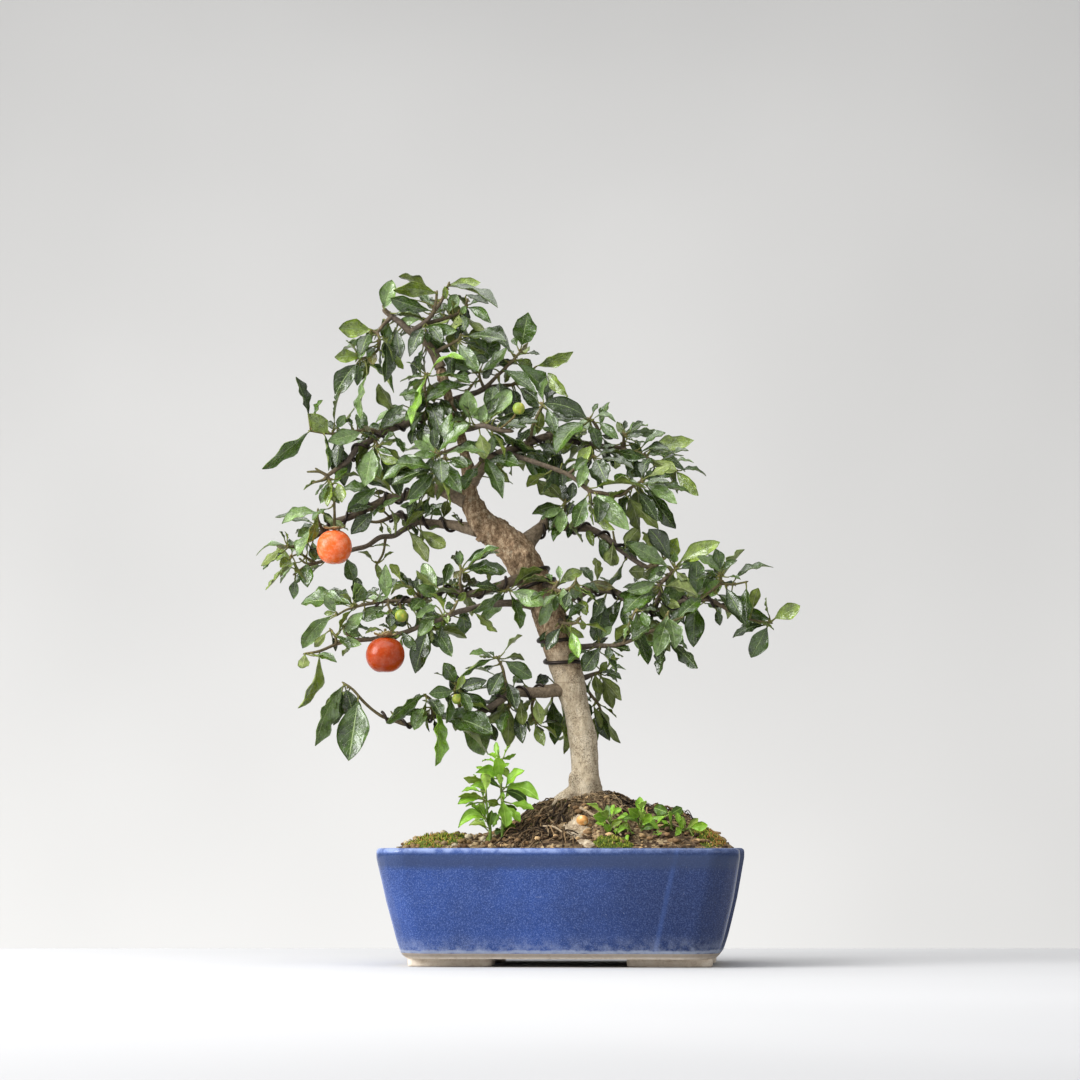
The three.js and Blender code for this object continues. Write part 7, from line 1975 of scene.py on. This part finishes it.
class BONSAI_OT_fruit(bpy.types.Operator):
    """Hangs the ripe fruit, each with its calyx and stalk, and the unripe fruit, each with its stalk"""
    bl_idname = "bonsai.fruit"
    bl_label = "Fruit"

    def execute(self, context):
        colours = context.scene.bonsai_colours
        skins = {"fruit_left": ripe_skin("ripe_persimmon_skin", colours.ripe, 0.36),
                 "fruit_low": ripe_skin("deep_persimmon_skin", colours.deep_ripe, 0.08)}
        papery, wood = dry_calyx(), twig_bark()
        for name, fruit in FRUITS.items():
            mesh = Mesh()
            self.body(mesh, fruit["place"], 56, 40)
            mesh.make(f"{name}_flesh", [skins[name]], [name], "ripe")
            mesh = Mesh()
            across, back, height, radius, squash = fruit["place"]
            top = at((across, back, height)) + UP * (radius * squash)
            self.lobes(mesh, top, name)
            self.stalk(mesh, [top - UP * 0.5] + [at(place) for place in fruit["stalk"]], 1.0)
            calyx = name.replace("fruit", "calyx")
            mesh.make(f"{calyx}_lobes", [papery, wood], [calyx], "calyx")
        skin = unripe_skin()
        for name, fruit in UNRIPE.items():
            mesh = Mesh()
            place = list(fruit["place"]) + [1]
            self.body(mesh, place, 30, 22)
            middle = at(place)
            first = (at(fruit["stalk"][0]) - middle).normalized() * (place[3] * 0.95)
            self.stalk(mesh, [middle + first] + [at(spot) for spot in fruit["stalk"]], 0.8)
            mesh.make(f"{name}_body", [skin, wood], [name], "unripe")
        return {"FINISHED"}

    def body(self, mesh, place, sides, rings):
        """A squat berry with four faint lobes, a dimple below and a shallow shoulder above."""
        across, back, height, radius, squash = place
        middle = at((across, back, height))
        rows = []
        for i in range(rings + 1):
            a = math.pi * (0.004 + 0.992 * i / rings)
            wide, rise = math.sin(a), -math.cos(a)
            row = []
            for j in range(sides):
                turn = 2 * math.pi * j / sides
                lobe = 1 + 0.022 * math.cos(4 * turn + 2) * wide
                spot = Vector((math.cos(turn), math.sin(turn), rise)) * 1.3 + UP * back
                lump = 1 + 0.018 * noise.noise(spot)
                dimple = 0.09 * math.exp(-(wide / 0.24) ** 2)
                r = radius * (wide ** 0.94) * lobe * lump
                z = radius * squash * (rise - math.copysign(dimple, rise)) * lump
                row.append(middle + Vector((r * math.cos(turn), r * math.sin(turn), z)))
            rows.append(row)
        mesh.add_grid(rows, WHITE, closed=True, caps=True)

    def lobes(self, mesh, top, name):
        """Four papery lobes that curl up at their edges, round a raised hub."""
        draw = draws_from(name + " lobes")
        for i in range(4):
            angle = math.pi / 2 * i + 0.5
            out = Vector((math.cos(angle), math.sin(angle), 0))
            side = Vector((-math.sin(angle), math.cos(angle), 0))
            curl = 1.6 + 1.6 * next(draw)
            sheet = []
            for k in range(10):
                t = k / 9
                half = CALYX_WIDTH / 2 * math.sin(math.pi * (0.16 + 0.82 * t)) ** 0.8
                row = []
                for j in range(9):
                    c = -1 + j / 4
                    lift = curl * (t ** 2 + 0.5 * c * c * t) + 0.35 * math.sin(5 * c + 6 * t + i)
                    row.append(top + out * (0.6 + CALYX_REACH * 0.92 * t) + side * (c * half)
                               + UP * (0.7 + lift - 1.2 * (t - 0.15) ** 2))
                sheet.append(row)
            under = [[point - UP * 0.45 for point in row] for row in sheet]
            mesh.add_sheets(sheet, under, WHITE, WHITE, (0, 0))
        mesh.add_lump(top + UP * 0.6, (2.3, 2.3, 1.2), Matrix.Identity(3), WHITE, 0, 8, 14)

    def stalk(self, mesh, line, radius):
        """A woody stalk, a little thicker where it meets the fruit."""
        points, radii = smooth_line(line, [radius * 1.25] + [radius] * (len(line) - 1), 1.2)
        mesh.add_tube(points, radii, 9, srgb("#6e6038"), 1, 0.15)


class BONSAI_OT_seedlings(bpy.types.Operator):
    """Plants the fresh green seedlings and weeds in the soil"""
    bl_idname = "bonsai.seedlings"
    bl_label = "Seedlings"

    def execute(self, context):
        sizes = context.scene.bonsai_tree
        materials = [fresh_stem(), fresh_leaf()]
        for name in SEEDLINGS:
            limb_mesh(name, sizes, fresh=True).make(f"{name}_plant", materials, [name], "shoot")
        return {"FINISHED"}


class BONSAI_OT_stage(bpy.types.Operator):
    """Sets the white table, the paper behind it, the soft lights and the camera"""
    bl_idname = "bonsai.stage"
    bl_label = "Stage"

    def execute(self, context):
        scene = context.scene
        scene.view_settings.view_transform = "Standard"
        front, back = TABLE_FROM_TO
        self.flat_sheet("table_top", (front, 0), (back, 0), studio_paper("matt_white_paper", srgb("#c6c6c7")))
        low, high = BACKDROP_FROM_TO
        paper = studio_paper("backdrop_paper", tuple(scene.bonsai_colours.backdrop) + (1.0,))
        self.flat_sheet("backdrop", (BACKDROP_BEHIND, low), (BACKDROP_BEHIND, high), paper)
        self.lights()
        self.camera(scene)
        return {"FINISHED"}

    def place(self, across, back, height):
        """A place in the tree's front plane, turned as the tree is, in metres."""
        return (ACROSS * across + AWAY * back + UP * height + POT_MIDDLE) * MM

    def flat_sheet(self, name, near, far, material):
        """A level or upright sheet across the whole stage, from one edge to the other."""
        data = bpy.data.meshes.new(name)
        corners = [self.place(-STAGE_HALF, *near), self.place(STAGE_HALF, *near),
                   self.place(STAGE_HALF, *far), self.place(-STAGE_HALF, *far)]
        data.from_pydata(corners, [], [(0, 1, 2, 3)])
        data.materials.append(material)
        sheet = bpy.data.objects.new(name, data)
        bpy.context.scene.collection.objects.link(sheet)

    def lights(self):
        """Large soft lights, and an even light from the room."""
        for name, spot, target, size, power in STUDIO_LIGHTS:
            lamp = bpy.data.lights.new(name, "AREA")
            lamp.shape = "RECTANGLE"
            lamp.size, lamp.size_y = size
            lamp.energy = power
            piece = bpy.data.objects.new(name, lamp)
            piece.location = self.place(*spot)
            aim = piece.location - self.place(*target)
            piece.rotation_euler = aim.to_track_quat("Z", "Y").to_euler()
            bpy.context.scene.collection.objects.link(piece)
        world = bpy.data.worlds.new("studio")
        world.use_nodes = True
        sky = world.node_tree.nodes["Background"]
        sky.inputs["Color"].default_value = srgb("#f3f4f6")
        sky.inputs["Strength"].default_value = ROOM_LIGHT
        bpy.context.scene.world = world

    def camera(self, scene):
        """The photograph's standing point, pitch and focal length."""
        data = bpy.data.cameras.new("photo_view")
        data.sensor_width = 36
        data.lens = LENS
        data.clip_end = 50
        camera = bpy.data.objects.new("photo_view", data)
        camera.location = self.place(EYE_ACROSS - PLANE_MIDDLE, -EYE_DISTANCE, EYE_HEIGHT)
        camera.rotation_euler = (math.radians(90 + EYE_PITCH), 0, TURN)
        scene.collection.objects.link(camera)
        scene.camera = camera


class BONSAI_PT_panel(bpy.types.Panel):
    """Sizes, colours and pieces of the bonsai"""
    bl_idname = "BONSAI_PT_panel"
    bl_label = "Persimmon bonsai"
    bl_space_type = "VIEW_3D"
    bl_region_type = "UI"
    bl_category = "Bonsai"

    def draw(self, context):
        scene = context.scene
        for title, group in (("Pot and soil", scene.bonsai_pot), ("Tree", scene.bonsai_tree),
                             ("Colours", scene.bonsai_colours)):
            box = self.layout.box()
            box.label(text=title)
            for key in group.__annotations__:
                box.prop(group, key)
        column = self.layout.column()
        for operator in OPERATORS:
            column.operator(operator.bl_idname)


GROUPS = {"bonsai_pot": BonsaiPotSizes, "bonsai_tree": BonsaiTreeSizes, "bonsai_colours": BonsaiColours}
OPERATORS = [BONSAI_OT_stage, BONSAI_OT_pot, BONSAI_OT_screens, BONSAI_OT_ground, BONSAI_OT_trunk,
             BONSAI_OT_limbs, BONSAI_OT_wires, BONSAI_OT_fruit, BONSAI_OT_seedlings]


def register():
    for kind in [*GROUPS.values(), *OPERATORS, BONSAI_PT_panel]:
        bpy.utils.register_class(kind)
    for key, group in GROUPS.items():
        setattr(bpy.types.Scene, key, bpy.props.PointerProperty(type=group))


def unregister():
    for key in GROUPS:
        delattr(bpy.types.Scene, key)
    for kind in [BONSAI_PT_panel, *reversed(OPERATORS), *reversed(GROUPS.values())]:
        bpy.utils.unregister_class(kind)


def main():
    register()
    for operator in OPERATORS:
        area, word = operator.bl_idname.split(".")
        getattr(getattr(bpy.ops, area), word)()
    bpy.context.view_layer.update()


if __name__ == "__main__":
    main()
